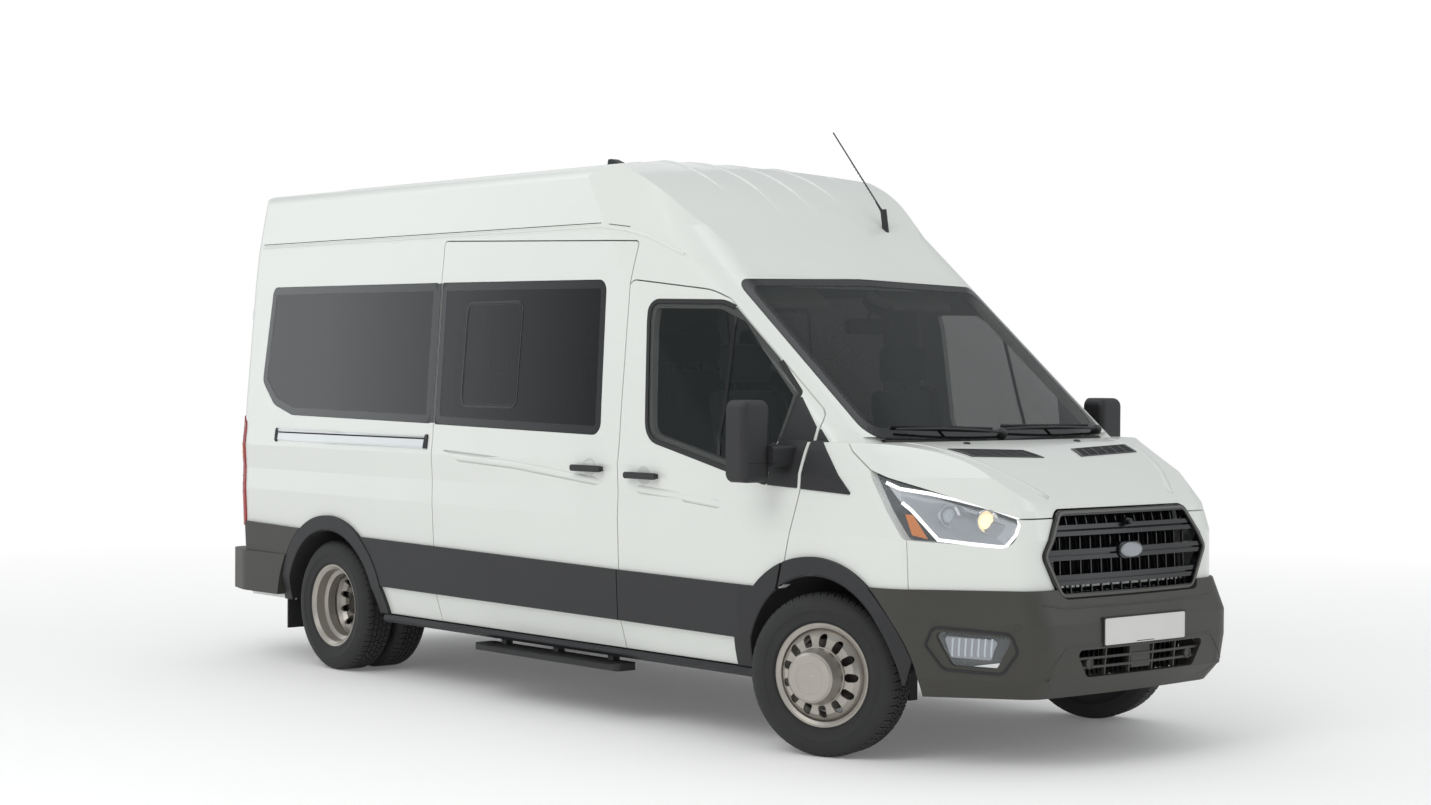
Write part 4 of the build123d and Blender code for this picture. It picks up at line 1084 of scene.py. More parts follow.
@dataclass
class Tyres:
    """Moulded tyres with five rows of tread blocks and ribbed sidewalls."""

    repeater: Arrayed
    pitches: int = 62
    # carcass: radius and distance along the axle, from bead to tread
    flank: tuple = (
        (0.2074, 0.0697), (0.2204, 0.0727), (0.222, 0.084), (0.232, 0.0885), (0.2335, 0.0905),
        (0.236, 0.0905), (0.238, 0.0895), (0.258, 0.096), (0.276, 0.0968), (0.2775, 0.0982), (0.28, 0.0982),
        (0.2815, 0.0968), (0.29, 0.0975), (0.305, 0.0938), (0.322, 0.0905), (0.332, 0.0818), (0.3395, 0.0738),
        (0.3405, 0.06), (0.3405, 0.0),
    )

    def build(self) -> None:
        """Make the tyres of every wheel position."""
        blocks = self.tread_blocks()
        for wheel in wheels():
            node = f"tyres_{wheel.words}" if wheel.twin else f"tyre_{wheel.words}"
            shape = bmesh.new()
            outline = list(self.flank) + [(r, -y) for r, y in self.flank[-2::-1]]
            outline += [
                (0.226, -0.062), (0.3, -0.085), (0.334, -0.05), (0.334, 0.05), (0.3, 0.085), (0.226, 0.062)
            ]
            shifts = [
                Matrix.Translation((0, -wheel.sign * wheel.twin * k, 0))
                for k in range(2 if wheel.twin else 1)
            ]
            for shift in shifts:
                add_lathe(shape, outline, 96, wheel.place @ shift)
            carcass = mesh_of(shape, smooth=True)
            carcass.materials.append(TYRE_RUBBER.material())
            rows = [
                self.repeater.repeat(
                    b.copy(), self.pitches, TYRE_RUBBER, turn=(0, 2 * pi / self.pitches, 0),
                    place=wheel.place @ s,
                )
                for b in blocks for s in shifts
            ]
            mould = piece(f"{node}_mould", merged(carcass, *rows), TYRE_RUBBER, wheel.body)
            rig.replaces(mould, node)

    def tread_blocks(self) -> list[Mesh]:
        """One block of each row, each with its own sipe.

        Returns:
            One mesh for each row.
        """
        pitch = 2 * pi * TYRE_RADIUS / self.pitches
        blocks = []
        # low edge, high edge along the axle, skew of the block, share of a pitch it is turned on
        for low, high, skew, phase in (
            (-0.01, 0.01, 0.003, 0.0), (0.0155, 0.0365, 0.006, 0.5), (-0.0365, -0.0155, 0.006, 0.25)
        ):
            blocks.append(
                self.block(
                    [(low, 0.338), (low, TYRE_RADIUS), (high, TYRE_RADIUS), (high, 0.338)], pitch, skew, phase
                )
            )
        for sign in (1, -1):
            shoulder = [
                (0.042, 0.338), (0.042, TYRE_RADIUS), (0.058, TYRE_RADIUS), (0.0705, 0.3448), (0.0795, 0.336),
                (0.0835, 0.329), (0.076, 0.327),
            ]
            blocks.append(
                self.block([(sign * y, r) for y, r in shoulder], pitch, sign * 0.004, 0.1 + 0.3 * (sign > 0))
            )
        return blocks

    def block(self, profile: Outline, pitch: float, skew: float, phase: float) -> Mesh:
        """Tread block made of two halves with a sipe between them.

        Args:
            profile: corners (along the axle, radius).
            pitch: length of one pitch round the tread.
            skew: how far the block leans along its width.
            phase: share of a pitch it is turned on.

        Returns:
            The mesh.
        """
        shape = bmesh.new()
        mid = sum(y for y, _ in profile) / len(profile)

        def place(y: float, radius: float, along: float) -> Vector:
            """Point of the tread, at a distance along its circumference."""
            angle = (along + phase * pitch + skew * (y - mid) / 0.02) / TYRE_RADIUS
            return Vector((radius * sin(angle), y, radius * cos(angle)))

        half = pitch * 0.42
        add_prism(shape, profile, place, -half, -0.0006)
        add_prism(shape, profile, place, 0.0006, half)
        return mesh_of(shape)


@dataclass
class WheelFittings:
    """Wheel nuts, valves, rim edges, hub cap rings and brake discs."""

    repeater: Arrayed

    def build(self) -> None:
        """Fit every wheel position."""
        for wheel in wheels():
            self.rim(wheel)
            if wheel.twin:
                self.rear_nuts(wheel)
            else:
                self.cap(wheel)
            self.brake(wheel)

    def rim(self, wheel: Wheel) -> None:
        """Rolled rim edge and valve of the outer wheel.

        Args:
            wheel: wheel position.
        """
        shape = bmesh.new()
        s = wheel.sign
        edge = [
            (0.2195, 0.0725), (0.2225, 0.0742), (0.2245, 0.0775), (0.2235, 0.0808), (0.2205, 0.082),
            (0.2175, 0.0805), (0.2168, 0.077),
        ]
        add_lathe(shape, [(r, s * y) for r, y in edge], 72, wheel.place)
        mesh = mesh_of(shape, smooth=True)
        piece(f"rim_edge_{wheel.words}", mesh, WHEEL_PAINT, wheel.body)
        valve = bmesh.new()
        spots = [
            (0.205 * sin(0.5), 0.05, 0.205 * cos(0.5)), (0.178 * sin(0.5), 0.078, 0.178 * cos(0.5)),
            (0.172 * sin(0.5), 0.092, 0.172 * cos(0.5)),
        ]
        add_tube(valve, [wheel.place @ Vector((x, s * y, z)) for x, y, z in spots], 0.004, 8)
        piece(f"valve_{wheel.words}", valve, TYRE_RUBBER, wheel.body)

    def cap(self, wheel: Wheel) -> None:
        """Raised rings and bare oval of the front hub cap.

        Args:
            wheel: wheel position.
        """
        s = wheel.sign
        shape = bmesh.new()
        ring = [(0.06, 0.1945), (0.062, 0.1962), (0.066, 0.1962), (0.068, 0.1945)]
        add_lathe(shape, [(r, s * y) for r, y in ring], 48, wheel.place)
        ring = [(0.1225, 0.1095), (0.1245, 0.1125), (0.1245, 0.116), (0.1215, 0.1185), (0.1195, 0.1185)]
        add_lathe(shape, [(r, s * y) for r, y in ring], 64, wheel.place)
        oval = [
            wheel.place @ Vector((0.024 * sin(a), s * 0.1946, 0.013 * cos(a)))
            for a in (2 * pi * k / 24 for k in range(24))
        ]
        out = (wheel.place.to_3x3() @ Vector((0, s, 0))).normalized()
        add_patch(shape, [(p, out) for p in oval], 0.0015, 0.001, chamfer=0.12)
        piece(f"hub_cap_ring_{wheel.words}", shape, WHEEL_PAINT, wheel.body)

    def rear_nuts(self, wheel: Wheel) -> None:
        """Six nuts with studs and washers in the rear dish, round the hub end and its bolts.

        Args:
            wheel: wheel position.
        """
        s = wheel.sign
        base = self.dish_depth(wheel)
        shape = bmesh.new()
        lift = 0.09

        def place(u: float, v: float, w: float) -> Vector:
            """Point of the nut that stands over the axle."""
            return Vector((u, s * (base + w), lift + v))

        for radius, sides, low, high in (
            (0.0165, 24, -0.001, 0.004), (0.0135, 6, 0.0035, 0.021), (0.007, 12, 0.02, 0.033)
        ):
            ring = [
                (radius * cos(2 * pi * k / sides), radius * sin(2 * pi * k / sides)) for k in range(sides)
            ]
            add_prism(shape, ring, place, low, high)
        nut = mesh_of(shape)
        nuts = self.repeater.repeat(nut, 6, ZINC, turn=(0, pi / 3, 0), place=wheel.place)
        piece(f"wheel_nuts_{wheel.words}", nuts, ZINC, wheel.body)
        hub = bmesh.new()
        rows = [
            (0.0, 0.0), (0.066, 0.0), (0.066, 0.018), (0.06, 0.03), (0.056, 0.052), (0.04, 0.058),
            (0.036, 0.052), (0.0, 0.052),
        ]
        add_lathe(
            hub,
            [(r, s * (base - 0.002 + y)) for r, y in rows[1:-1]] + [
                (0.0005, s * (base + 0.05)), (0.0005, s * (base - 0.002))
            ],
            40, wheel.place,
        )
        piece(f"hub_end_{wheel.words}", hub, CAST_IRON, wheel.body)
        bolt = bmesh.new()

        def flange(u: float, v: float, w: float) -> Vector:
            """Point of the bolt on the hub flange."""
            return Vector((u, s * (base + 0.027 + w), 0.049 + v))

        add_prism(
            bolt, [(0.006 * cos(pi * k / 3), 0.006 * sin(pi * k / 3)) for k in range(6)], flange, -0.004,
            0.006,
        )
        bolts = self.repeater.repeat(mesh_of(bolt), 8, ZINC, turn=(0, pi / 4, 0), place=wheel.place)
        piece(f"hub_bolts_{wheel.words}", bolts, ZINC, wheel.body)

    def dish_depth(self, wheel: Wheel) -> float:
        """Distance along the axle from the tyre's middle plane to the dish face at the nuts.

        Args:
            wheel: wheel position.

        Returns:
            The distance.
        """
        skin = Skin((f"rims_{wheel.words}",))
        x, y, z = wheel.centre
        spot, _ = skin.hit(
            (x + 0.09 * sin(0.3), y + wheel.sign * 0.5, z + 0.09 * cos(0.3)), (0, -wheel.sign, 0)
        )
        return (spot.y - y) * wheel.sign

    def brake(self, wheel: Wheel) -> None:
        """Brake disc behind the wheel.

        Args:
            wheel: wheel position.
        """
        s = wheel.sign
        shape = bmesh.new()
        low, high = (0.022, 0.05) if not wheel.twin else (-0.175, -0.15)
        outer = 0.15
        rows = [
            (0.085, low), (outer, low), (outer + 0.002, low + 0.003), (outer + 0.002, high - 0.003),
            (outer, high), (0.085, high),
        ]
        add_lathe(shape, [(r, s * y) for r, y in rows], 64, wheel.place)
        piece(f"brake_disc_{wheel.words}", shape, BRAKE_STEEL, wheel.body)


# ---------------------------------------------------------------- nose
@dataclass
class Nose:
    """Grille rim, fins, bare badge and camera of the nose."""

    repeater: Arrayed
    corners: tuple = (
        (-0.432, 0.706, 0.045), (0.432, 0.706, 0.045), (0.53, 0.885, 0.04), (0.412, 1.068, 0.045),
        (-0.412, 1.068, 0.045), (-0.53, 0.885, 0.04),
    )

    def build(self) -> None:
        """Make every piece of the grille."""
        self.skin = Skin(("grille",))
        self.rim()
        self.fins()
        self.badge()
        self.camera_nub()
        self.plenum()

    def rim(self) -> None:
        """Satin band round the grille frame, between two creases."""
        shape = bmesh.new()
        middle = [(y * 0.979, 0.887 + (z - 0.887) * 0.945, r) for y, z, r in self.corners]
        loop = [self.skin.front(y, z) for y, z in stepped(rounded(middle, 6), 0.05, closed=True)]
        add_sweep(shape, loop, strip_profile(0.011, 0.0035, chamfer=0.0012), closed=True)
        piece("grille_rim", shape, SATIN_GREY)

    def fins(self) -> None:
        """Thin upright fins behind the bars, in a row."""
        low, high = (self.skin.front(0.2, z)[0].x - 0.05 for z in (0.716, 1.058))
        shape = bmesh.new()
        outline = [(low, 0.725), (high, 1.045), (high - 0.028, 1.04), (low - 0.028, 0.73)]
        add_prism(shape, outline, lambda u, v, w: (u, w, v), -0.0012, 0.0012)
        fin = mesh_of(shape)
        # fins in their own black, darkened further as painted shade of the grille's depth
        row = self.repeater.repeat(
            fin, 26, PAINTED_SHADE_BLACK, step=(0, 0.031, 0), place=Matrix.Translation((0, -0.3875, 0))
        )
        piece("grille_fins", row, PAINTED_SHADE_BLACK, slot="gloss_black")
        lines = bmesh.new()
        for z in (0.742, 0.833, 0.935, 1.032):
            x = low + (high - low) * (z - 0.725) / 0.32 - 0.027
            add_block(lines, (x - 0.012, -0.42, z - 0.0015), (x, 0.42, z + 0.0015))
        piece("grille_cross_ties", lines, GLOSS_PLASTIC)

    def plenum(self) -> None:
        """Dark cooler with fine fins, deep behind the grille and the lower intake."""
        back = self.skin.front(0.2, 1.058)[0].x - 0.105
        shape = bmesh.new()
        add_block(shape, (back - 0.03, -0.36, 0.36), (back, 0.36, 1.02), 0.004)
        for sign in (-1, 1):
            add_block(
                shape, (back - 0.035, sign * 0.365 - 0.02, 0.35), (back + 0.006, sign * 0.365 + 0.02, 1.03),
                0.006,
            )
        tubes = bmesh.new()
        add_block(tubes, (0, -0.345, -0.0015), (0.004, 0.345, 0.0015))
        row = self.repeater.repeat(
            mesh_of(tubes), 54, GLOSS_PLASTIC, step=(0, 0, 0.012),
            place=Matrix.Translation((back - 0.001, 0, 0.37)),
        )
        joined = merged(row, mesh_of(shape))
        piece("cooler", joined, GLOSS_PLASTIC, slot="steel_dark")

    def badge(self) -> None:
        """Oval badge left bare, with its rim."""
        shape = bmesh.new()
        spot, _ = self.skin.front(0, 0.893)
        ovals = [
            (0.071, 0.031, 0.0, -0.002), (0.071, 0.031, 0.0, 0.006), (0.066, 0.0275, 0.0, 0.0085),
            (0.061, 0.024, 0.0, 0.0065),
        ]
        rings = []
        for across, high, _, out in ovals:
            ring = []
            for k in range(40):
                a = 2 * pi * k / 40
                ring.append(shape.verts.new((spot.x + out, across * cos(a), 0.893 + high * sin(a))))
            rings.append(ring)
        for under, over in zip(rings, rings[1:]):
            for k in range(40):
                m = (k + 1) % 40
                shape.faces.new((under[k], under[m], over[m], over[k]))
        shape.faces.new(rings[0][::-1])
        shape.faces.new(rings[-1])
        piece("bare_badge", shape, BADGE_METAL)

    def camera_nub(self) -> None:
        """Small camera housing on the grille's top centre."""
        spot, _ = self.skin.front(0.0, 0.998)
        shape = bmesh.new()
        ring = [(0.0, 0.031), (0.009, 0.031), (0.0125, 0.027), (0.0155, 0.01), (0.0165, -0.02), (0.0, -0.02)]
        turn = Matrix.Translation((spot.x, 0, 1.012)) @ Matrix.Rotation(radians(-90), 4, "Z")
        add_lathe(shape, [(max(r, 0.0004), y) for r, y in ring], 28, turn)
        piece("camera_nub", shape, GLOSS_PLASTIC)


@dataclass
class Bonnet:
    """Two louvred vents and the pressed lines of the bonnet."""

    repeater: Arrayed
    # outer rear, inner rear, inner front, outer front, as (x, |y|)
    vent: tuple = ((2.394, 0.579), (2.441, 0.156), (2.53, 0.121), (2.498, 0.537))

    def build(self) -> None:
        """Make both vents, creases and washer jets."""
        skin = Skin(("bonnet",))
        for side in Side:
            self.vent_on(skin, side)
            self.crease(skin, side)
            self.jet(skin, side)

    def vent_on(self, skin: Skin, side: Side) -> None:
        """Dark frame with slats across it, laid on the bonnet.

        Args:
            skin: surfaces that the pieces lie on.
            side: side of the vehicle.
        """
        s = side.value
        loop = stepped([(x, s * y) for x, y in self.vent], 0.03, closed=True)
        middle = Vector((sum(p[0] for p in loop) / len(loop), sum(p[1] for p in loop) / len(loop)))
        stations = [skin.top(*p) for p in loop]
        inner = [skin.top(*(Vector(p).lerp(middle, 0.09))) for p in loop]
        shape = bmesh.new()
        add_band(shape, stations, inner, 0.0035)
        vent_shade = bmesh.new()
        outer_rear, inner_rear, inner_front, outer_front = [Vector(p) for p in self.vent]
        for k in range(5):
            t = (k + 1) / 6
            a, b = outer_rear.lerp(inner_rear, t), outer_front.lerp(inner_front, t)
            line = [(a.lerp(b, f).x, s * a.lerp(b, f).y) for f in (0.06, 0.35, 0.65, 0.94)]
            add_sweep(shape, [skin.top(*p) for p in line], strip_profile(0.007, 0.003, chamfer=0.001))
        for k in range(9):
            t = (k + 0.7) / 9.4
            a, b = outer_rear.lerp(outer_front, t), inner_rear.lerp(inner_front, t)
            line = [(a.lerp(b, f).x, s * a.lerp(b, f).y) for f in (0.03, 0.27, 0.5, 0.73, 0.97)]
            add_sweep(
                shape, [skin.top(*p) for p in line],
                [(-0.0022, -0.002), (0.0022, -0.002), (0.0005, 0.0022), (-0.0015, 0.0018)],
            )
        piece(f"bonnet_vent_{side.word}", shape, GLOSS_PLASTIC, "bonnet")
        # near-black sheet under the slats: painted shade of the vent's depth
        bed = [skin.top(*(Vector(p).lerp(middle, 0.08))) for p in loop]
        core = [skin.top(*(Vector(p).lerp(middle, 0.93))) for p in loop]
        add_band(vent_shade, bed, core, 0.0007)
        piece(f"bonnet_vent_bed_{side.word}", vent_shade, PAINTED_SHADE_BLACK, "bonnet", slot="gloss_black")

    def crease(self, skin: Skin, side: Side) -> None:
        """Raised pressing that runs from the screen to the nose.

        Args:
            skin: surfaces that the pieces lie on.
            side: side of the vehicle.
        """
        s = side.value
        line = stepped([(2.22, s * 0.66), (2.45, s * 0.6), (2.66, s * 0.5), (2.8, s * 0.4)], 0.04)
        shape = bmesh.new()
        add_sweep(
            shape, [skin.top(*p) for p in line],
            [(-0.022, -0.0012), (0.022, -0.0012), (0.006, 0.0024), (-0.006, 0.0024)],
        )
        piece(f"bonnet_crease_{side.word}", shape, BODY_PAINT, "bonnet", smooth=True)

    def jet(self, skin: Skin, side: Side) -> None:
        """Washer jet behind the vent.

        Args:
            skin: surfaces that the pieces lie on.
            side: side of the vehicle.
        """
        shape = bmesh.new()
        loop = [
            skin.top(2.3 + 0.013 * sin(a), side.value * 0.36 + 0.019 * cos(a))
            for a in (2 * pi * k / 14 for k in range(14))
        ]
        add_patch(shape, loop, 0.007, 0.002, chamfer=0.3)
        piece(f"washer_jet_{side.word}", shape, GRAINED_PLASTIC, "bonnet")


@dataclass
class Headlamps:
    """Inner parts of the head and fog lamps, seen through their lenses."""

    top: tuple = (
        (2.376, 0.925, 1.181), (2.429, 0.897, 1.157), (2.527, 0.82, 1.139), (2.598, 0.716, 1.114),
        (2.7, 0.64, 1.083), (2.793, 0.572, 1.045), (2.828, 0.598, 1.019), (2.826, 0.626, 0.975),
        (2.801, 0.658, 0.926),
    )
    bottom: tuple = (
        (2.783, 0.674, 0.925), (2.693, 0.756, 0.936), (2.597, 0.844, 0.95), (2.547, 0.869, 1.01),
        (2.496, 0.894, 1.07), (2.455, 0.91, 1.101),
    )
    amber: tuple = ((2.478, 0.916, 1.053), (2.503, 0.895, 1.05), (2.566, 0.871, 0.954), (2.515, 0.912, 0.969))

    def build(self) -> None:
        """Fill the lamps of both sides."""
        for side in Side:
            skin = Skin(("front_lamps",))
            self.guide(skin, side)
            self.reflectors(skin, side)
            self.fog(skin, side)

    @staticmethod
    def on_lamp(skin: Skin, side: Side, spot: Point) -> Station:
        """Point of the lens nearest to a place.

        Args:
            skin: surfaces that the pieces lie on.
            side: side of the vehicle.
            spot: place to look from.

        Returns:
            The point and the surface normal there.
        """
        x, y, z = spot
        aim = Vector((x, side.value * y, z))
        away = Vector((0.75, side.value * 0.66, 0.0)).normalized()
        return skin.hit(aim + away * 0.4, -away)

    def guide(self, skin: Skin, side: Side) -> None:
        """Bright light guide round the top, the front end and the bottom.

        Args:
            skin: surfaces that the pieces lie on.
            side: side of the vehicle.
        """
        shape = bmesh.new()
        stations = [self.on_lamp(skin, side, p) for p in self.top + self.bottom]
        add_sweep(shape, stations, strip_profile(0.013, -0.004, 0.012))
        piece(f"light_guide_{side.word}", shape, LIGHT_GUIDE)
        shape = bmesh.new()
        loop = [self.on_lamp(skin, side, p) for p in self.amber]
        add_patch(shape, loop, -0.004, 0.012)
        piece(f"amber_reflector_{side.word}", shape, AMBER_LENS)
        bed = bmesh.new()
        loop = [self.on_lamp(skin, side, p) for p in self.top[::1] + self.bottom]
        add_patch(bed, loop, -0.026, 0.034)
        piece(f"lamp_bed_{side.word}", bed, LAMP_BEZEL)

    def reflectors(self, skin: Skin, side: Side) -> None:
        """Projector lens and reflector bowl in their bezels.

        Args:
            skin: surfaces that the pieces lie on.
            side: side of the vehicle.
        """
        rows = (
            ("projector", (2.624, 0.785, 1.048), 0.04, LAMP_GLASS),
            ("main_beam", (2.742, 0.685, 1.026), 0.042, WARM_LAMP),
        )
        for name, spot, radius, finish in rows:
            centre, _ = self.on_lamp(skin, side, spot)
            ahead = Vector((0.93, side.value * 0.35, 0.05)).normalized()
            place = facing(centre - ahead * 0.03, ahead)
            bowl = bmesh.new()
            bowl_rows = [
                (radius * 0.55, -0.024), (radius * 0.9, -0.004), (radius * 1.08, 0.004),
                (radius * 1.2, 0.004), (radius * 1.2, -0.01), (radius * 0.7, -0.03),
            ]
            add_lathe(bowl, bowl_rows, 40, place)
            piece(f"{name}_bezel_{side.word}", bowl, REFLECTOR)
            lens = bmesh.new()
            dome = [(0.0005, -0.012)] + [
                (radius * 0.84 * sin(a), -0.014 + radius * 0.42 * cos(a)) for a in (0.02, 0.4, 0.8, 1.2, 1.5)
            ]
            dome += [(radius * 0.8, -0.02), (0.0005, -0.02)]
            add_lathe(lens, dome[1:], 32, place)
            piece(f"{name}_lens_{side.word}", lens, finish, slot="lamp_clear", smooth=True)

    def fog(self, skin: Skin, side: Side) -> None:
        """Fog lamp reflector with flutes, its lens edge and its hexagonal bezel.

        Args:
            skin: surfaces that the pieces lie on.
            side: side of the vehicle.
        """
        skin = Skin(("front_lamps", "front_bumper"))
        rows = [(2.635, 0.47, 0.01), (2.77, 0.462, 0.01), (2.8, 0.545, 0.012), (2.618, 0.558, 0.012)]
        loop = [skin.side(x, z, side) for x, z in stepped(rounded(rows, 3), 0.02, closed=True)]
        shape = bmesh.new()
        add_patch(shape, loop, -0.002, 0.014)
        piece(f"fog_reflector_{side.word}", shape, BADGE_METAL, slot="lamp_clear")
        flutes = bmesh.new()
        for k in range(7):
            x = 2.64 + 0.022 * k
            line = [skin.side(x + 0.002 * j, 0.476 + 0.019 * j, side) for j in range(5)]
            add_sweep(flutes, line, strip_profile(0.009, 0.001, 0.003, 0.0012))
        piece(f"fog_flutes_{side.word}", flutes, LAMP_GLASS)
        edge = bmesh.new()
        hexagon = [
            (2.56, 0.52, 0.02), (2.612, 0.42, 0.03), (2.812, 0.408, 0.03), (2.872, 0.5, 0.03),
            (2.85, 0.574, 0.03), (2.59, 0.596, 0.03),
        ]
        loop = [skin.side(x, z, side) for x, z in stepped(rounded(hexagon, 4), 0.03, closed=True)]
        add_sweep(edge, loop, strip_profile(0.01, 0.006, 0.002, 0.003), closed=True)
        piece(f"fog_bezel_{side.word}", edge, GRAINED_PLASTIC)


@dataclass
class LowerFront:
    """Bare plate, parking sensors, intake fins and creases of the bumper."""

    repeater: Arrayed

    def build(self) -> None:
        """Make the pieces on the front bumper."""
        skin = Skin(("front_bumper",))
        self.plate(skin)
        self.sensors(skin)
        self.valance(skin)
        self.mesh(skin)

    def plate(self, skin: Skin) -> None:
        """Bare number plate in its holder, 520 by 110 mm.

        Args:
            skin: surfaces that the pieces lie on.
        """
        x = max(skin.front(y, 0.568)[0].x for y in (-0.2, 0.0, 0.2))
        holder = bmesh.new()
        rows = [(-0.266, 0.507, 0.006), (0.266, 0.507, 0.006), (0.266, 0.629, 0.006), (-0.266, 0.629, 0.006)]
        add_prism(holder, rounded(rows, 3), lambda u, v, w: (w, u, v), x - 0.03, x + 0.0015)
        piece("front_plate_holder", holder, GRAINED_PLASTIC)
        plate = bmesh.new()
        rows = [(-0.26, 0.513, 0.008), (0.26, 0.513, 0.008), (0.26, 0.623, 0.008), (-0.26, 0.623, 0.008)]
        add_prism(plate, rounded(rows, 4), lambda u, v, w: (w, u, v), x + 0.001, x + 0.0035)
        inner = [(y * 0.985, 0.568 + (z - 0.568) * 0.93, r) for y, z, r in rows]
        outer_loop = [(Vector((x + 0.0035, y, z)), Vector((1, 0, 0))) for y, z in rounded(rows, 4)]
        inner_loop = [(Vector((x + 0.0035, y, z)), Vector((1, 0, 0))) for y, z in rounded(inner, 4)]
        add_band(plate, outer_loop, inner_loop, 0.0012, 0.001)
        piece("front_plate", plate, BARE_PLATE)

    def sensors(self, skin: Skin) -> None:
        """Round parking sensors and the two in the intake.

        Args:
            skin: surfaces that the pieces lie on.
        """
        for side in Side:
            spots = []
            for y, z in ((0.6, 0.6), (0.86, 0.6)):
                spots.append(
                    skin.hit(
                        (2.99 if y < 0.7 else 2.6, side.value * (y + 0.3), z),
                        (-0.45 if y < 0.7 else 0.0, -side.value * 0.9, 0),
                    )
                )
            shape = bmesh.new()
            for spot, normal in spots:
                place = facing(spot, normal)
                add_lathe(
                    shape,
                    [
                        (0.0004, -0.003), (0.0165, -0.003), (0.0165, 0.0008), (0.014, 0.0016),
                        (0.013, 0.0004), (0.0004, 0.0004),
                    ],
                    28, place,
                )
            piece(f"parking_sensors_{side.word}", shape, BUMPER_PLASTIC)
            pods = bmesh.new()
            spot = Vector((2.955, side.value * 0.32, 0.439))
            place = Matrix.Translation(spot) @ Matrix.Rotation(radians(-90), 4, "Z")
            rows = [
                (0.0004, -0.045), (0.02, -0.045), (0.022, -0.012), (0.0235, 0.0), (0.0225, 0.008),
                (0.017, 0.0095), (0.0155, 0.006), (0.0004, 0.006),
            ]
            add_lathe(pods, rows, 28, place)
            piece(f"intake_sensor_{side.word}", pods, BUMPER_PLASTIC)

    def valance(self, skin: Skin) -> None:
        """Creases along the bumper and the flap over the towing eye.

        Args:
            skin: surfaces that the pieces lie on.
        """
        shape = bmesh.new()
        rows = (
            ([(-0.6, 0.372), (-0.47, 0.512), (-0.435, 0.518)], 0.012),
            ([(0.6, 0.372), (0.47, 0.512), (0.435, 0.518)], 0.012), ([(-0.435, 0.518), (0.435, 0.518)], 0.01),
            ([(-0.56, 0.69), (-0.45, 0.672), (0.45, 0.672), (0.56, 0.69)], 0.009),
        )
        for line, width in rows:
            stations = hits(skin.front, stepped(line, 0.04))
            if len(stations) > 1:
                add_sweep(shape, stations, strip_profile(width, 0.003, 0.003, 0.0028))
        piece("bumper_creases", shape, BUMPER_PLASTIC)
        flap = bmesh.new()
        add_block(flap, (2.925, -0.062, 0.405), (2.966, 0.062, 0.512), 0.006)
        piece("tow_eye_flap", flap, BUMPER_PLASTIC)

    def mesh(self, skin: Skin) -> None:
        """Upright fins in the lower intake.

        Args:
            skin: surfaces that the pieces lie on.
        """
        fin = bmesh.new()
        outline = [(0.0, 0.378), (0.004, 0.498), (-0.034, 0.498), (-0.034, 0.378)]
        add_prism(fin, outline, lambda u, v, w: (u, w, v), -0.0012, 0.0012)
        row = self.repeater.repeat(
            mesh_of(fin), 22, GLOSS_PLASTIC, step=(0, 0.031, 0), place=Matrix.Translation((2.905, -0.3255, 0))
        )
        piece("intake_fins", row, GLOSS_PLASTIC)


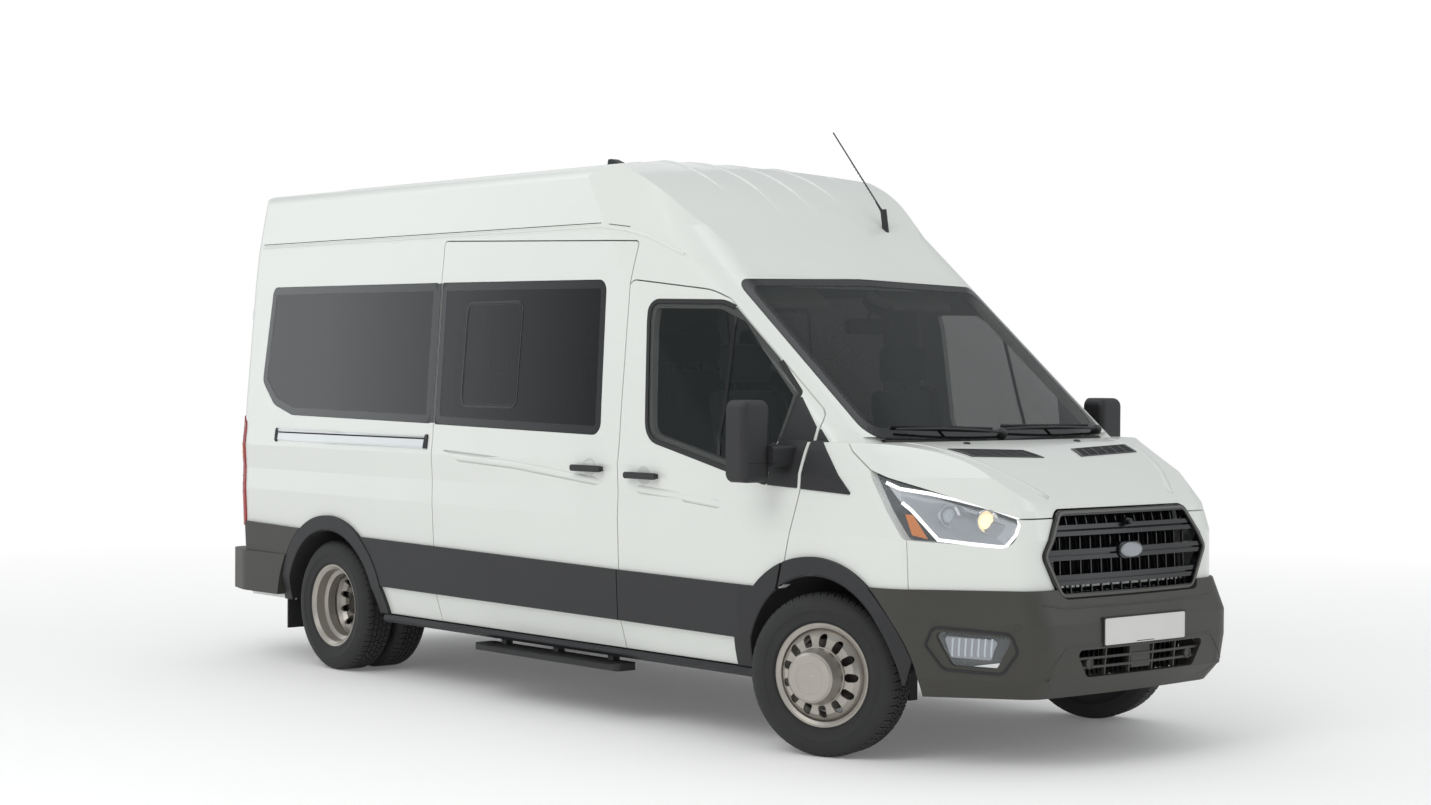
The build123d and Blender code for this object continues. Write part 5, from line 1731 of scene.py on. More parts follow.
@dataclass
class Windscreen:
    """Black borders, wipers, sensor and mirror of the windscreen."""

    # glass edge seen from ahead: y, z, corner radius
    edge: tuple = (
        (-0.772, 1.352, 0.07), (0.0, 1.334, 0.0), (0.772, 1.352, 0.07), (0.778, 2.052, 0.06),
        (0.0, 2.072, 0.0), (-0.778, 2.052, 0.06),
    )

    def build(self) -> None:
        """Make all pieces on and behind the screen."""
        skin = Skin(("windscreen",))
        self.border(skin)
        self.wipers(skin)
        self.sensor(skin)

    def border(self, skin: Skin) -> None:
        """Fired black band on the glass, deepest at the bottom and top.

        Args:
            skin: surfaces that the pieces lie on.
        """
        shape = bmesh.new()
        edge = stepped(rounded(list(self.edge), 5), 0.045, closed=True)
        outer = inset(edge, 0.005)
        inner = [(y * 0.958, 1.392 + (z - 1.352) * 0.905) for y, z in outer]
        add_band(shape, [skin.front(*p) for p in outer], [skin.front(*p) for p in inner], 0.0006, 0.001)
        piece("screen_border", shape, GLASS_ENAMEL)

    def wipers(self, skin: Skin) -> None:
        """Two parked wipers: arms, blades and rubber lips.

        Args:
            skin: surfaces that the pieces lie on.
        """
        rows = (((0.7, 1.366), (0.05, 1.372)), ((0.02, 1.358), (-0.62, 1.378)))
        for number, (foot, tip) in enumerate(rows):
            line = stepped([foot, tip], 0.05)
            stations = [skin.front(*p) for p in line]
            raised = [(p + n * 0.016, n) for p, n in stations]
            arm = bmesh.new()
            add_sweep(
                arm, [(p + n * 0.01 * sin(pi * i / (len(raised) - 1)), n) for i, (p, n) in enumerate(raised)],
                strip_profile(0.01, 0.005, 0.004, 0.003),
            )
            spot, normal = stations[0]
            place = facing(spot, normal)
            add_lathe(
                arm, [(0.0004, 0.0), (0.02, 0.0), (0.02, 0.018), (0.016, 0.026), (0.0004, 0.027)], 24, place
            )
            piece(f"wiper_arm_{number}", arm, POWDER_COAT, slot="gloss_black")
            blade = bmesh.new()
            line = stepped([(foot[0] * 0.93 + tip[0] * 0.07, foot[1] + 0.02), (tip[0], tip[1] + 0.018)], 0.04)
            stations = [skin.front(*p) for p in line]
            add_sweep(
                blade, stations,
                [(-0.0045, 0.006), (0.0045, 0.006), (0.0055, 0.011), (0.0015, 0.016), (-0.0035, 0.012)],
            )
            add_sweep(
                blade, stations, [(-0.0012, 0.0006), (0.0012, 0.0006), (0.0022, 0.007), (-0.0022, 0.007)]
            )
            link = stations[len(stations) // 2]
            add_tube(
                blade,
                [
                    link[0] + link[1] * 0.012,
                    raised[len(raised) // 2][0] + raised[len(raised) // 2][1] * 0.006,
                ],
                0.006, 8,
            )
            piece(f"wiper_blade_{number}", blade, TYRE_RUBBER, slot="gloss_black")

    def sensor(self, skin: Skin) -> None:
        """Rain sensor housing and the mirror behind the glass.

        Args:
            skin: surfaces that the pieces lie on.
        """
        spot, normal = skin.front(0.0, 1.985)
        shape = bmesh.new()
        loop = [
            skin.front(0.055 * cos(a), 1.975 + 0.04 * sin(a)) for a in (2 * pi * k / 20 for k in range(20))
        ]
        add_patch(shape, [(p - n * 0.0055, n) for p, n in loop], 0.001, 0.04)
        piece("rain_sensor", shape, GRAINED_PLASTIC)
        mirror = bmesh.new()
        back = spot - normal * 0.105
        rows = [(-0.125, -0.036, 0.02), (0.125, -0.036, 0.02), (0.118, 0.036, 0.02), (-0.118, 0.036, 0.02)]
        place = Matrix.Translation((back.x, 0, back.z - 0.055))
        add_prism(
            mirror, rounded(rows, 4), lambda u, v, w: place @ Vector((w - 0.1 * v, u, v)), -0.018, 0.012
        )
        add_tube(mirror, [back + Vector((0.0, 0, -0.05)), spot - normal * 0.03], 0.008, 10)
        piece("cabin_mirror", mirror, GRAINED_PLASTIC, slot="dash_plastic")


# ---------------------------------------------------------------- sides
@dataclass
class SideWindows:
    """Black borders, seals, bars and the hinged pane of the side glass."""

    # outlines as x, z, corner radius
    door: tuple = (
        (0.9115, 1.325, 0.1), (1.7315, 1.15, 0.02), (1.7935, 1.545, 0.02), (1.4305, 1.885, 0.09),
        (1.2835, 1.948, 0.12), (0.8615, 1.957, 0.045),
    )
    middle: tuple = (
        (-0.8015, 1.353, 0.05), (0.5735, 1.33, 0.06), (0.5405, 2.062, 0.06), (-0.8185, 2.078, 0.05)
    )
    rear: tuple = (
        (-2.5425, 1.56, 0.06), (-2.4025, 1.43, 0.12), (-2.2025, 1.374, 0.2), (-0.8415, 1.356, 0.05),
        (-0.8565, 2.078, 0.05), (-2.4995, 2.09, 0.045),
    )
    opening: tuple = ((-0.58, 1.45, 0.05), (-0.11, 1.45, 0.05), (-0.11, 1.97, 0.05), (-0.58, 1.97, 0.05))

    def build(self) -> None:
        """Make the pieces of both sides."""
        for side in Side:
            self.door_window(side)
            self.fixed_windows(side)

    def door_window(self, side: Side) -> None:
        """Rubber seal and divider bar of the front door window.

        Args:
            side: side of the vehicle.
        """
        skin = Skin((f"front_door_glass_{side.word}", f"front_door_{side.word}"))
        body = f"front_door_{side.word}"
        edge = stepped(rounded(list(self.door), 5), 0.05, closed=True)
        stations = longest_run(inset(edge, 0.002), lambda x, z: skin.side(x, z, side))
        shape = bmesh.new()
        add_sweep(shape, stations, strip_profile(0.022, 0.0035, 0.002, 0.0015))
        piece(f"door_window_seal_{side.word}", shape, TYRE_RUBBER, body, slot="black_trim")
        bar = bmesh.new()
        line = stepped([(1.365, 1.875), (1.385, 1.7), (1.41, 1.45), (1.425, 1.262)], 0.05)
        add_sweep(bar, [skin.side(x, z, side) for x, z in line], strip_profile(0.02, 0.004, 0.003, 0.0015))
        piece(f"door_window_bar_{side.word}", bar, GLOSS_PLASTIC, body)

    def fixed_windows(self, side: Side) -> None:
        """Enamel borders of the fixed panes and the outline of the hinged pane.

        Args:
            side: side of the vehicle.
        """
        word = side.word
        glass = Skin(("side_glass",))
        doored = side is Side.RIGHT
        rows = (
            ("middle", self.middle, "sliding_door" if doored else "body", 0.042),
            ("rear", self.rear, "body", 0.042),
        )
        for name, corners, _, width in rows:
            edge = stepped(rounded(list(corners), 5), 0.06, closed=True)
            outer, inner = inset(edge, 0.004), inset(edge, width)
            shape = bmesh.new()
            add_band(
                shape, [glass.side(x, z, side) for x, z in outer], [glass.side(x, z, side) for x, z in inner],
                0.0005, 0.001,
            )
            piece(f"glass_border_{name}_{word}", shape, GLASS_ENAMEL)
        pane = stepped(rounded(list(self.opening), 5), 0.06, closed=True)
        shape = bmesh.new()
        add_sweep(
            shape, [glass.side(x, z, side) for x, z in pane], strip_profile(0.01, 0.002, 0.001, 0.0007),
            closed=True,
        )
        inner = inset(pane, 0.012)
        add_sweep(
            shape, [glass.side(x, z, side) for x, z in inner], strip_profile(0.003, 0.001, 0.001), closed=True
        )
        piece(f"hinged_pane_edge_{word}", shape, GLASS_ENAMEL)
        wall = Skin((f"side_wall_{word}", "sliding_door", "side_glass"))
        post = bmesh.new()
        # lower x, upper x and width: on both sides of the sliding door's gap, or one broad post
        split = ((-0.8275, -0.8437, 0.027), (-0.8044, -0.8216, 0.0048))
        whole = ((-0.8215, -0.8375, 0.04),)
        for low, high, width in split if doored else whole:
            stations = [wall.side(x, z, side) for x, z in stepped([(low, 1.36), (high, 2.074)], 0.06)]
            add_sweep(post, stations, strip_profile(width, 0.0014, 0.001))
        piece(f"glass_post_{word}", post, GLASS_ENAMEL)


@dataclass
class SideFittings:
    """Handle cups, sill and step ribs, drip rails, belt lines, arch lips, rail ends and filler flap."""

    repeater: Arrayed

    def build(self) -> None:
        """Make the pieces of both sides."""
        for side in Side:
            self.cup(f"front_door_{side.word}", f"front_door_{side.word}", 0.91, 1.155, side)
            self.sill(side)
            self.gutter(side)
            self.belt(side)
            self.arch_lips(side)
        self.cup("sliding_door", "body", 0.505, 1.18, Side.RIGHT)
        self.rail_ends()
        self.fuel_flap()
        self.step()

    def cup(self, node: str, body: str, x: float, z: float, side: Side) -> None:
        """Round patch behind a handle, in darker paint that paints the shade of the handle cup.

        Args:
            node: panel it is on.
            body: body of that panel.
            x: centre along X.
            z: centre height.
            side: side of the vehicle.
        """
        skin = Skin((node,))
        shape = bmesh.new()
        ring = []
        for k in range(32):
            a = 2 * pi * k / 32
            ring.append(skin.side(x + 0.05 * cos(a), z + 0.044 * sin(a), side))
        # thin patch in darkened paint: painted shade of the cup
        add_patch(shape, ring, 0.001, 0.001, chamfer=0.08)
        piece(f"handle_cup_{node}", shape, CUP_SHADE_PAINT, body)

    def sill(self, side: Side) -> None:
        """Ribs along the sill trim.

        Args:
            side: side of the vehicle.
        """
        skin = Skin(("body_trim",))
        shape = bmesh.new()
        for z in (0.322, 0.334, 0.346):
            points = [(x, z, side) for x, _ in stepped([(-0.74, z), (1.58, z)], 0.1)]
            stations = hits(skin.side, points)
            flat = [s for s in stations if abs(s[0].y) > 0.85]
            if len(flat) > 3:
                add_sweep(
                    shape, flat, [(-0.0028, -0.002), (0.0028, -0.002), (0.0012, 0.0024), (-0.0012, 0.0024)]
                )
        if shape.verts:
            piece(f"sill_ribs_{side.word}", shape, GRAINED_PLASTIC)

    def gutter(self, side: Side) -> None:
        """Drip rail over the doors, running down beside the screen.

        Args:
            side: side of the vehicle.
        """
        skin = Skin((f"side_wall_{side.word}", "roof", "sliding_door"))
        line = stepped(
            [(-2.66, 2.322), (0.45, 2.318), (0.62, 2.296), (0.76, 2.262), (0.9, 2.208), (1.0, 2.17)], 0.07
        )
        shape = bmesh.new()
        stations = [skin.side(x, z, side) for x, z in line]
        add_sweep(
            shape, stations,
            [(-0.01, -0.002), (0.01, -0.002), (0.008, 0.004), (0.001, 0.007), (-0.004, 0.004)],
        )
        piece(f"drip_rail_{side.word}", shape, BODY_PAINT)
        # near-black strip along the seam: painted shade of its groove
        seam = bmesh.new()
        line = stepped([(-2.66, 2.336), (0.45, 2.332), (0.64, 2.308)], 0.08)
        add_sweep(seam, [skin.side(x, z, side) for x, z in line], strip_profile(0.0035, 0.0006, 0.002))
        piece(f"drip_seam_{side.word}", seam, PAINTED_SHADE_BLACK)

    def belt(self, side: Side) -> None:
        """Pressed feature line under the windows, over the sliding door or the wall.

        Args:
            side: side of the vehicle.
        """
        word = side.word
        panel = "sliding_door" if side is Side.RIGHT else "side_wall_left"
        rows = (
            (panel, "body", [(-0.7, 1.196), (-0.1, 1.17), (0.69, 1.104)]),
            (f"front_door_{word}", f"front_door_{word}", [(0.745, 1.1), (1.1, 1.075), (1.55, 1.038)]),
        )
        for node, body, line in rows:
            skin = Skin((node,))
            stations = sunk_ends(
                longest_run(stepped(line, 0.05), lambda x, z: skin.side(x, z, side), closed=False)
            )
            shape = bmesh.new()
            add_sweep(shape, stations, [(-0.03, -0.0008), (0.03, -0.0008), (0.002, 0.0014), (-0.002, 0.0014)])
            piece(f"belt_line_{node}_{word}", shape, BODY_PAINT, body, smooth=True)

    def arch_lips(self, side: Side) -> None:
        """Rolled black lips inside the wheel arches, from the moulding inward.

        Args:
            side: side of the vehicle.
        """
        rows = (("front", 2.0395, 0.358, 0.417), ("rear", -1.7875, 0.314, 0.448))
        for name, x0, z0, radius in rows:
            found: dict[str, list[list[Vector]]] = {}
            for k in range(-14, 195, 3):
                a = radians(k)
                x, z = x0 + (radius + 0.012) * cos(a), z0 + (radius + 0.012) * sin(a)
                if z < 0.345:
                    continue
                for node, body in (
                    (f"front_door_trim_{side.word}", f"front_door_{side.word}"), ("body_trim", "body"),
                    ("front_bumper", "body"),
                ):
                    try:
                        spot, _ = Skin((node,)).side(x, z, side)
                    except ValueError:
                        continue
                    if abs(spot.y) < 0.93:
                        continue
                    ring = []
                    for r, deep in ((0.0035, 0.001), (0.0035, 0.085), (0.0, 0.085), (0.0, 0.001)):
                        place = (
                            x0 + (radius - r) * cos(a), spot.y - side.value * deep, z0 + (radius - r) * sin(a)
                        )
                        ring.append(Vector(place))
                    found.setdefault(body, []).append(ring)
                    break
            for body, rings in found.items():
                if len(rings) < 3:
                    continue
                shape = bmesh.new()
                made = [[shape.verts.new(v) for v in ring] for ring in rings]
                for under, over in zip(made, made[1:]):
                    for i in range(4):
                        j = (i + 1) % 4
                        shape.faces.new((under[i], under[j], over[j], over[i]))
                shape.faces.new(made[0][::-1])
                shape.faces.new(made[-1])
                part = "door" if body.startswith("front_door") else "body"
                piece(f"arch_lip_{name}_{part}_{side.word}", shape, GRAINED_PLASTIC, body)

    def rail_ends(self) -> None:
        """Channel lips, painted shade of the slot and end caps of the sliding door's rail."""
        skin = Skin(("door_rail", "side_wall_right"))
        shape = bmesh.new()
        for z in (1.234, 1.29):
            line = stepped([(-2.33, z), (-0.87, z)], 0.09)
            add_sweep(
                shape, [skin.side(x, z, Side.RIGHT) for x, z in line],
                strip_profile(0.006, 0.004, 0.002, 0.001),
            )
        piece("rail_lips", shape, ANODISED)
        # near-black strip along the rail: painted shade of its slot
        slot = bmesh.new()
        line = stepped([(-2.32, 1.278), (-0.88, 1.278)], 0.09)
        add_sweep(slot, [skin.side(x, z, Side.RIGHT) for x, z in line], strip_profile(0.008, 0.0008, 0.002))
        piece("rail_slot", slot, PAINTED_SHADE_BLACK, slot="rail_metal")
        caps = bmesh.new()
        for x in (-2.345, -0.862):
            rows = [
                (x - 0.014, 1.224, 0.006), (x + 0.014, 1.224, 0.006), (x + 0.014, 1.3, 0.006),
                (x - 0.014, 1.3, 0.006),
            ]
            add_patch(
                caps, [skin.side(u, v, Side.RIGHT) for u, v in rounded(rows, 3)], 0.008, 0.002, chamfer=0.15
            )
        piece("rail_caps", caps, GRAINED_PLASTIC)

    def fuel_flap(self) -> None:
        """Round-cornered filler flap on the left side, with a dark strip that paints the shade of its shut line."""
        skin = Skin(("side_wall_left",))
        rows = [(0.47, 0.98, 0.04), (0.62, 0.98, 0.04), (0.62, 1.13, 0.04), (0.47, 1.13, 0.04)]
        edge = rounded(rows, 6)
        shape = bmesh.new()
        add_patch(
            shape, [skin.side(x, z, Side.LEFT) for x, z in inset(edge, 0.004)], 0.0015, 0.002, chamfer=0.03
        )
        piece("fuel_flap", shape, BODY_PAINT)
        # near-black strip round the flap: painted shade of the shut line
        line = bmesh.new()
        loop = [skin.side(x, z, Side.LEFT) for x, z in stepped(edge, 0.03, closed=True)]
        add_sweep(line, loop, strip_profile(0.003, 0.0003, 0.002), closed=True)
        piece("fuel_flap_gap", line, PAINTED_SHADE_BLACK)

    def step(self) -> None:
        """Raised grip ribs on the side step, in a row."""
        skin = Skin(("body_trim",))
        try:
            spot, _ = skin.top(0.2, -1.03)
        except ValueError:
            return
        if spot.z > 0.32:
            return
        rib = bmesh.new()
        add_block(rib, (-0.004, -0.05, -0.001), (0.004, 0.05, 0.0025), 0.001)
        row = self.repeater.repeat(
            mesh_of(rib), 46, GRAINED_PLASTIC, step=(0.023, 0, 0),
            place=Matrix.Translation((-0.33, spot.y + 0.004, spot.z)),
        )
        piece("step_ribs", row, GRAINED_PLASTIC)


@dataclass
class Mirrors:
    """Glass of the door mirrors and the painted shade of their casing seams."""

    def build(self) -> None:
        """Make both mirrors' pieces."""
        for side in Side:
            skin = Skin((f"front_door_trim_{side.word}",))
            self.glass(skin, side)
            self.casing(skin, side)

    def glass(self, skin: Skin, side: Side) -> None:
        """Main and wide-angle mirror glass on the rear face.

        Args:
            skin: surfaces that the pieces lie on.
            side: side of the vehicle.
        """
        s = side.value
        body = f"front_door_{side.word}"
        rows = (
            ("mirror_glass", [(1.118, 1.272), (1.196, 1.272), (1.2, 1.462), (1.11, 1.462)]),
            ("wide_mirror_glass", [(1.118, 1.175), (1.19, 1.175), (1.196, 1.258), (1.118, 1.258)]),
        )
        for name, corners in rows:
            shape = bmesh.new()
            edge = rounded([(y, z, 0.018) for y, z in corners], 4)
            loop = hits(skin.hit, [((0.9, s * y, z), (1, 0, 0)) for y, z in edge])
            if len(loop) < 6 or max(p.x for p, _ in loop) - min(p.x for p, _ in loop) > 0.05:
                shape.free()
                continue
            add_patch(shape, loop, 0.0015, 0.002, chamfer=0.02)
            piece(f"{name}_{side.word}", shape, MIRROR_GLASS, body)

    def casing(self, skin: Skin, side: Side) -> None:
        """Dark strip round the casing: painted shade of its seam.

        Args:
            skin: surfaces that the pieces lie on.
            side: side of the vehicle.
        """
        s = side.value
        body = f"front_door_{side.word}"
        shape = bmesh.new()
        stations = hits(skin.front, [(s * (1.085 + 0.0105 * k), 1.245) for k in range(13)])
        if len(stations) > 3:
            # near-black strip: painted shade of the casing seam
            add_sweep(shape, stations, strip_profile(0.003, 0.0005, 0.002))
            piece(f"mirror_seam_{side.word}", shape, PAINTED_SHADE_BLACK, body)
        else:
            shape.free()


@dataclass
class Roof:
    """Pressed ribs, cross seams and aerial base of the high roof."""

    def build(self) -> None:
        """Make all roof pieces."""
        skin = Skin(("roof",))
        self.ribs(skin)
        self.seams(skin)
        self.aerial()

    def ribs(self, skin: Skin) -> None:
        """Long flat-topped ribs along the roof.

        Args:
            skin: surfaces that the pieces lie on.
        """
        shape = bmesh.new()
        for y, ahead in ((-0.6, 0.62), (-0.36, 0.86), (-0.12, 0.98), (0.12, 0.98), (0.36, 0.86), (0.6, 0.62)):
            line = stepped([(-2.5, y), (ahead, y)], 0.1)
            stations = sunk_ends([skin.top(*p) for p in line], 0.008)
            add_sweep(shape, stations, [(-0.03, -0.001), (0.03, -0.001), (0.018, 0.0065), (-0.018, 0.0065)])
        piece("roof_ribs", shape, BODY_PAINT)

    def seams(self, skin: Skin) -> None:
        """Sealed joints across the roof.

        Args:
            skin: surfaces that the pieces lie on.
        """
        shape = bmesh.new()
        for x in (-0.85, -2.56):
            line = stepped([(x, -0.66), (x, 0.66)], 0.06)
            add_sweep(shape, [skin.top(*p) for p in line], strip_profile(0.012, 0.0012, 0.001, 0.0005))
        piece("roof_seams", shape, BODY_PAINT)

    def aerial(self) -> None:
        """Flexible foot and spring winding of the whip aerial."""
        foot = Vector((0.92, 0.5, 2.416))
        ahead = Vector((-0.364, 0.0, 0.423)).normalized()
        shape = bmesh.new()
        place = Matrix.Translation(foot) @ ahead.to_track_quat("Y", "Z").to_matrix().to_4x4()
        rows = [
            (0.0075, 0.0), (0.0085, 0.004), (0.0075, 0.034), (0.006, 0.04), (0.0042, 0.09), (0.0035, 0.09),
            (0.0035, 0.0),
        ]
        add_lathe(shape, rows, 20, place)
        coil = []
        for k in range(120):
            a = 2 * pi * k / 10
            coil.append(place @ Vector((0.0045 * cos(a), 0.095 + 0.0022 * k, 0.0045 * sin(a))))
        add_tube(shape, coil, 0.001, 5)
        piece("aerial_winding", shape, GRAINED_PLASTIC)


# ---------------------------------------------------------------- rear
@dataclass
class Rear:
    """Lamps, glass borders, handle, hinge covers and bumper fittings at the back."""

    repeater: Arrayed

    def build(self) -> None:
        """Make every rear piece."""
        for side in Side:
            self.tail_lamp(side)
            self.glass(side)
            self.hinges(side)
        self.handle()
        self.brake_lamp()
        self.bumper()

    def tail_lamp(self, side: Side) -> None:
        """Clear middle, amber patch and red flutes of the tail lamp.

        Args:
            side: side of the vehicle.
        """
        skin = Skin(("tail_lamps",))
        rows = (
            (
                "tail_lamp_clear", LAMP_GLASS,
                [(-2.735, 0.905), (-2.69, 0.905), (-2.692, 1.325), (-2.735, 1.335)],
            ),
            ("tail_lamp_amber", AMBER_LENS, [(-2.728, 1.12), (-2.698, 1.12), (-2.698, 1.21), (-2.728, 1.21)]),
        )
        for number, (name, finish, corners) in enumerate(rows):
            shape = bmesh.new()
            edge = stepped(rounded([(x, z, 0.008) for x, z in corners], 3), 0.04, closed=True)
            try:
                loop = [skin.side(x, z, side) for x, z in edge]
            except ValueError:
                shape.free()
                continue
            add_patch(shape, loop, 0.0012 + 0.0006 * number, 0.002)
            piece(f"{name}_{side.word}", shape, finish, slot="lamp_clear")
        flutes = bmesh.new()
        for k in range(9):
            z = 0.93 + 0.045 * k
            try:
                line = [skin.side(-2.733 + 0.007 * j, z, side) for j in range(6)]
            except ValueError:
                continue
            add_sweep(flutes, line, strip_profile(0.0035, 0.0026, 0.001, 0.001))
        if flutes.verts:
            piece(f"tail_lamp_flutes_{side.word}", flutes, RED_LENS)
        else:
            flutes.free()

    def glass(self, side: Side) -> None:
        """Enamel border and heating lines of the rear pane.

        Args:
            side: side of the vehicle.
        """
        s = side.value
        body = f"rear_door_{side.word}"
        skin = Skin((f"rear_door_glass_{side.word}",))
        corners = [(0.13, 1.38, 0.07), (0.745, 1.38, 0.07), (0.735, 2.07, 0.07), (0.13, 2.07, 0.07)]
        edge = stepped(rounded(corners, 5), 0.06, closed=True)
        outer, inner = inset(edge, 0.004), inset(edge, 0.036)
        shape = bmesh.new()
        add_band(
            shape, [skin.back(s * y, z) for y, z in outer], [skin.back(s * y, z) for y, z in inner], 0.0006,
            0.001,
        )
        piece(f"rear_glass_border_{side.word}", shape, GLASS_ENAMEL, body)
        spot, _ = skin.back(s * 0.43, 1.7)
        line = bmesh.new()
        add_block(line, (-0.0004, -0.262, -0.0007), (0.0006, 0.262, 0.0007))
        place = Matrix.Translation((spot.x - 0.0005, s * 0.4345, 1.45))
        rows = self.repeater.repeat(mesh_of(line), 19, EXHAUST_STEEL, step=(0, 0, 0.031), place=place)
        piece(f"heating_lines_{side.word}", rows, EXHAUST_STEEL, body)

    def hinges(self, side: Side) -> None:
        """Covers on the rear door's strap hinges.

        Args:
            side: side of the vehicle.
        """
        skin = Skin((f"rear_door_{side.word}",))
        shape = bmesh.new()
        for z in (0.69, 1.965):
            corners = [(0.765, z - 0.034), (0.842, z - 0.026), (0.842, z + 0.026), (0.765, z + 0.034)]
            edge = rounded([(side.value * y, h, 0.014) for y, h in corners], 4)
            add_patch(shape, [skin.back(y, h) for y, h in edge], 0.01, 0.002, chamfer=0.18)
        piece(f"hinge_covers_{side.word}", shape, BODY_PAINT, f"rear_door_{side.word}")

    def handle(self) -> None:
        """Framed grip and key barrel on the right rear door."""
        skin = Skin(("rear_door_right",))
        edge = rounded(
            [(-0.035, 1.075, 0.02), (-0.205, 1.075, 0.02), (-0.205, 1.175, 0.02), (-0.035, 1.175, 0.02)], 5
        )
        loop = [skin.back(y, z) for y, z in edge]
        shape = bmesh.new()
        add_band(shape, loop, [skin.back(y, z) for y, z in inset(edge, 0.01)], 0.006)
        grip = [skin.back(y, 1.148) for y in (-0.052, -0.09, -0.13, -0.17, -0.188)]
        add_sweep(shape, grip, strip_profile(0.026, 0.012, 0.002, 0.005))
        piece("rear_handle", shape, GRAINED_PLASTIC, "rear_door_right")
        barrel = bmesh.new()
        spot, normal = skin.back(-0.12, 1.103)
        place = facing(spot, normal)
        add_lathe(
            barrel, [(0.0004, -0.001), (0.011, -0.001), (0.011, 0.0025), (0.009, 0.004), (0.0004, 0.004)], 24,
            place,
        )
        piece("rear_key_barrel", barrel, SATIN_GREY, "rear_door_right", slot="rail_metal")

    def brake_lamp(self) -> None:
        """High brake lamp above the rear doors."""
        skin = Skin(("roof", "side_wall_left", "side_wall_right", "rear_door_left", "rear_door_right"))
        edge = rounded(
            [(-0.13, 2.532, 0.008), (0.13, 2.532, 0.008), (0.13, 2.562, 0.008), (-0.13, 2.562, 0.008)], 4
        )
        shape = bmesh.new()
        add_patch(shape, [skin.back(y, z) for y, z in edge], 0.01, 0.004, chamfer=0.08)
        piece("high_brake_lamp", shape, RED_LENS)

    def bumper(self) -> None:
        """Grip ribs on the rear step, reflectors and parking sensors."""
        skin = Skin(("rear_bumper",))
        spot, _ = skin.top(-2.9, 0.0)
        rib = bmesh.new()
        add_block(rib, (-0.003, -0.42, -0.001), (0.003, 0.42, 0.0022), 0.001)
        row = self.repeater.repeat(
            mesh_of(rib), 8, GRAINED_PLASTIC, step=(0.014, 0, 0),
            place=Matrix.Translation((-2.955, 0, spot.z)),
        )
        piece("rear_step_ribs", row, GRAINED_PLASTIC)
        shape = bmesh.new()
        red = bmesh.new()
        for s in (-1, 1):
            for y in (0.26, 0.56):
                where, normal = skin.back(s * y, 0.5)
                place = Matrix.Translation(where) @ normal.to_track_quat("Y", "Z").to_matrix().to_4x4()
                add_lathe(
                    shape,
                    [(0.0004, -0.002), (0.013, -0.002), (0.013, 0.0008), (0.011, 0.0015), (0.0004, 0.0015)],
                    24, place,
                )
            for middle, height in ((0.71, 0.565), (0.66, 0.52), (0.6, 0.565), (0.8, 0.69)):
                rows = [(-0.065, -0.017), (0.065, -0.017), (0.065, 0.017), (-0.065, 0.017)]
                edge = rounded([(s * (middle + dy), height + dz, 0.006) for dy, dz in rows], 3)
                loop = longest_run(edge, skin.back, closed=False)
                if len(loop) == len(edge):
                    add_patch(red, loop, 0.004, 0.002, chamfer=0.06)
                    break
        piece("rear_sensors", shape, GRAINED_PLASTIC)
        piece("rear_reflectors", red, RED_LENS)


# ---------------------------------------------------------------- cabin
@dataclass(frozen=True)
class Seat:
    """One seat place: cushion centre and the height of its frame."""

    x: float
    y: float
    top: float


def seats() -> list[Seat]:
    """All twelve seats: two in the cab, the others in rows.

    Returns:
        The seats.
    """
    places = [Seat(1.3535, 0.52, 0.9), Seat(1.3535, -0.52, 0.9)]
    for x in (0.1535, -0.6265, -1.4065, -2.1865):
        places += [Seat(x, y, 0.99) for y in (0.21, 0.66)]
    places += [Seat(x, -0.66, 0.99) for x in (-1.4065, -2.1865)]
    return places


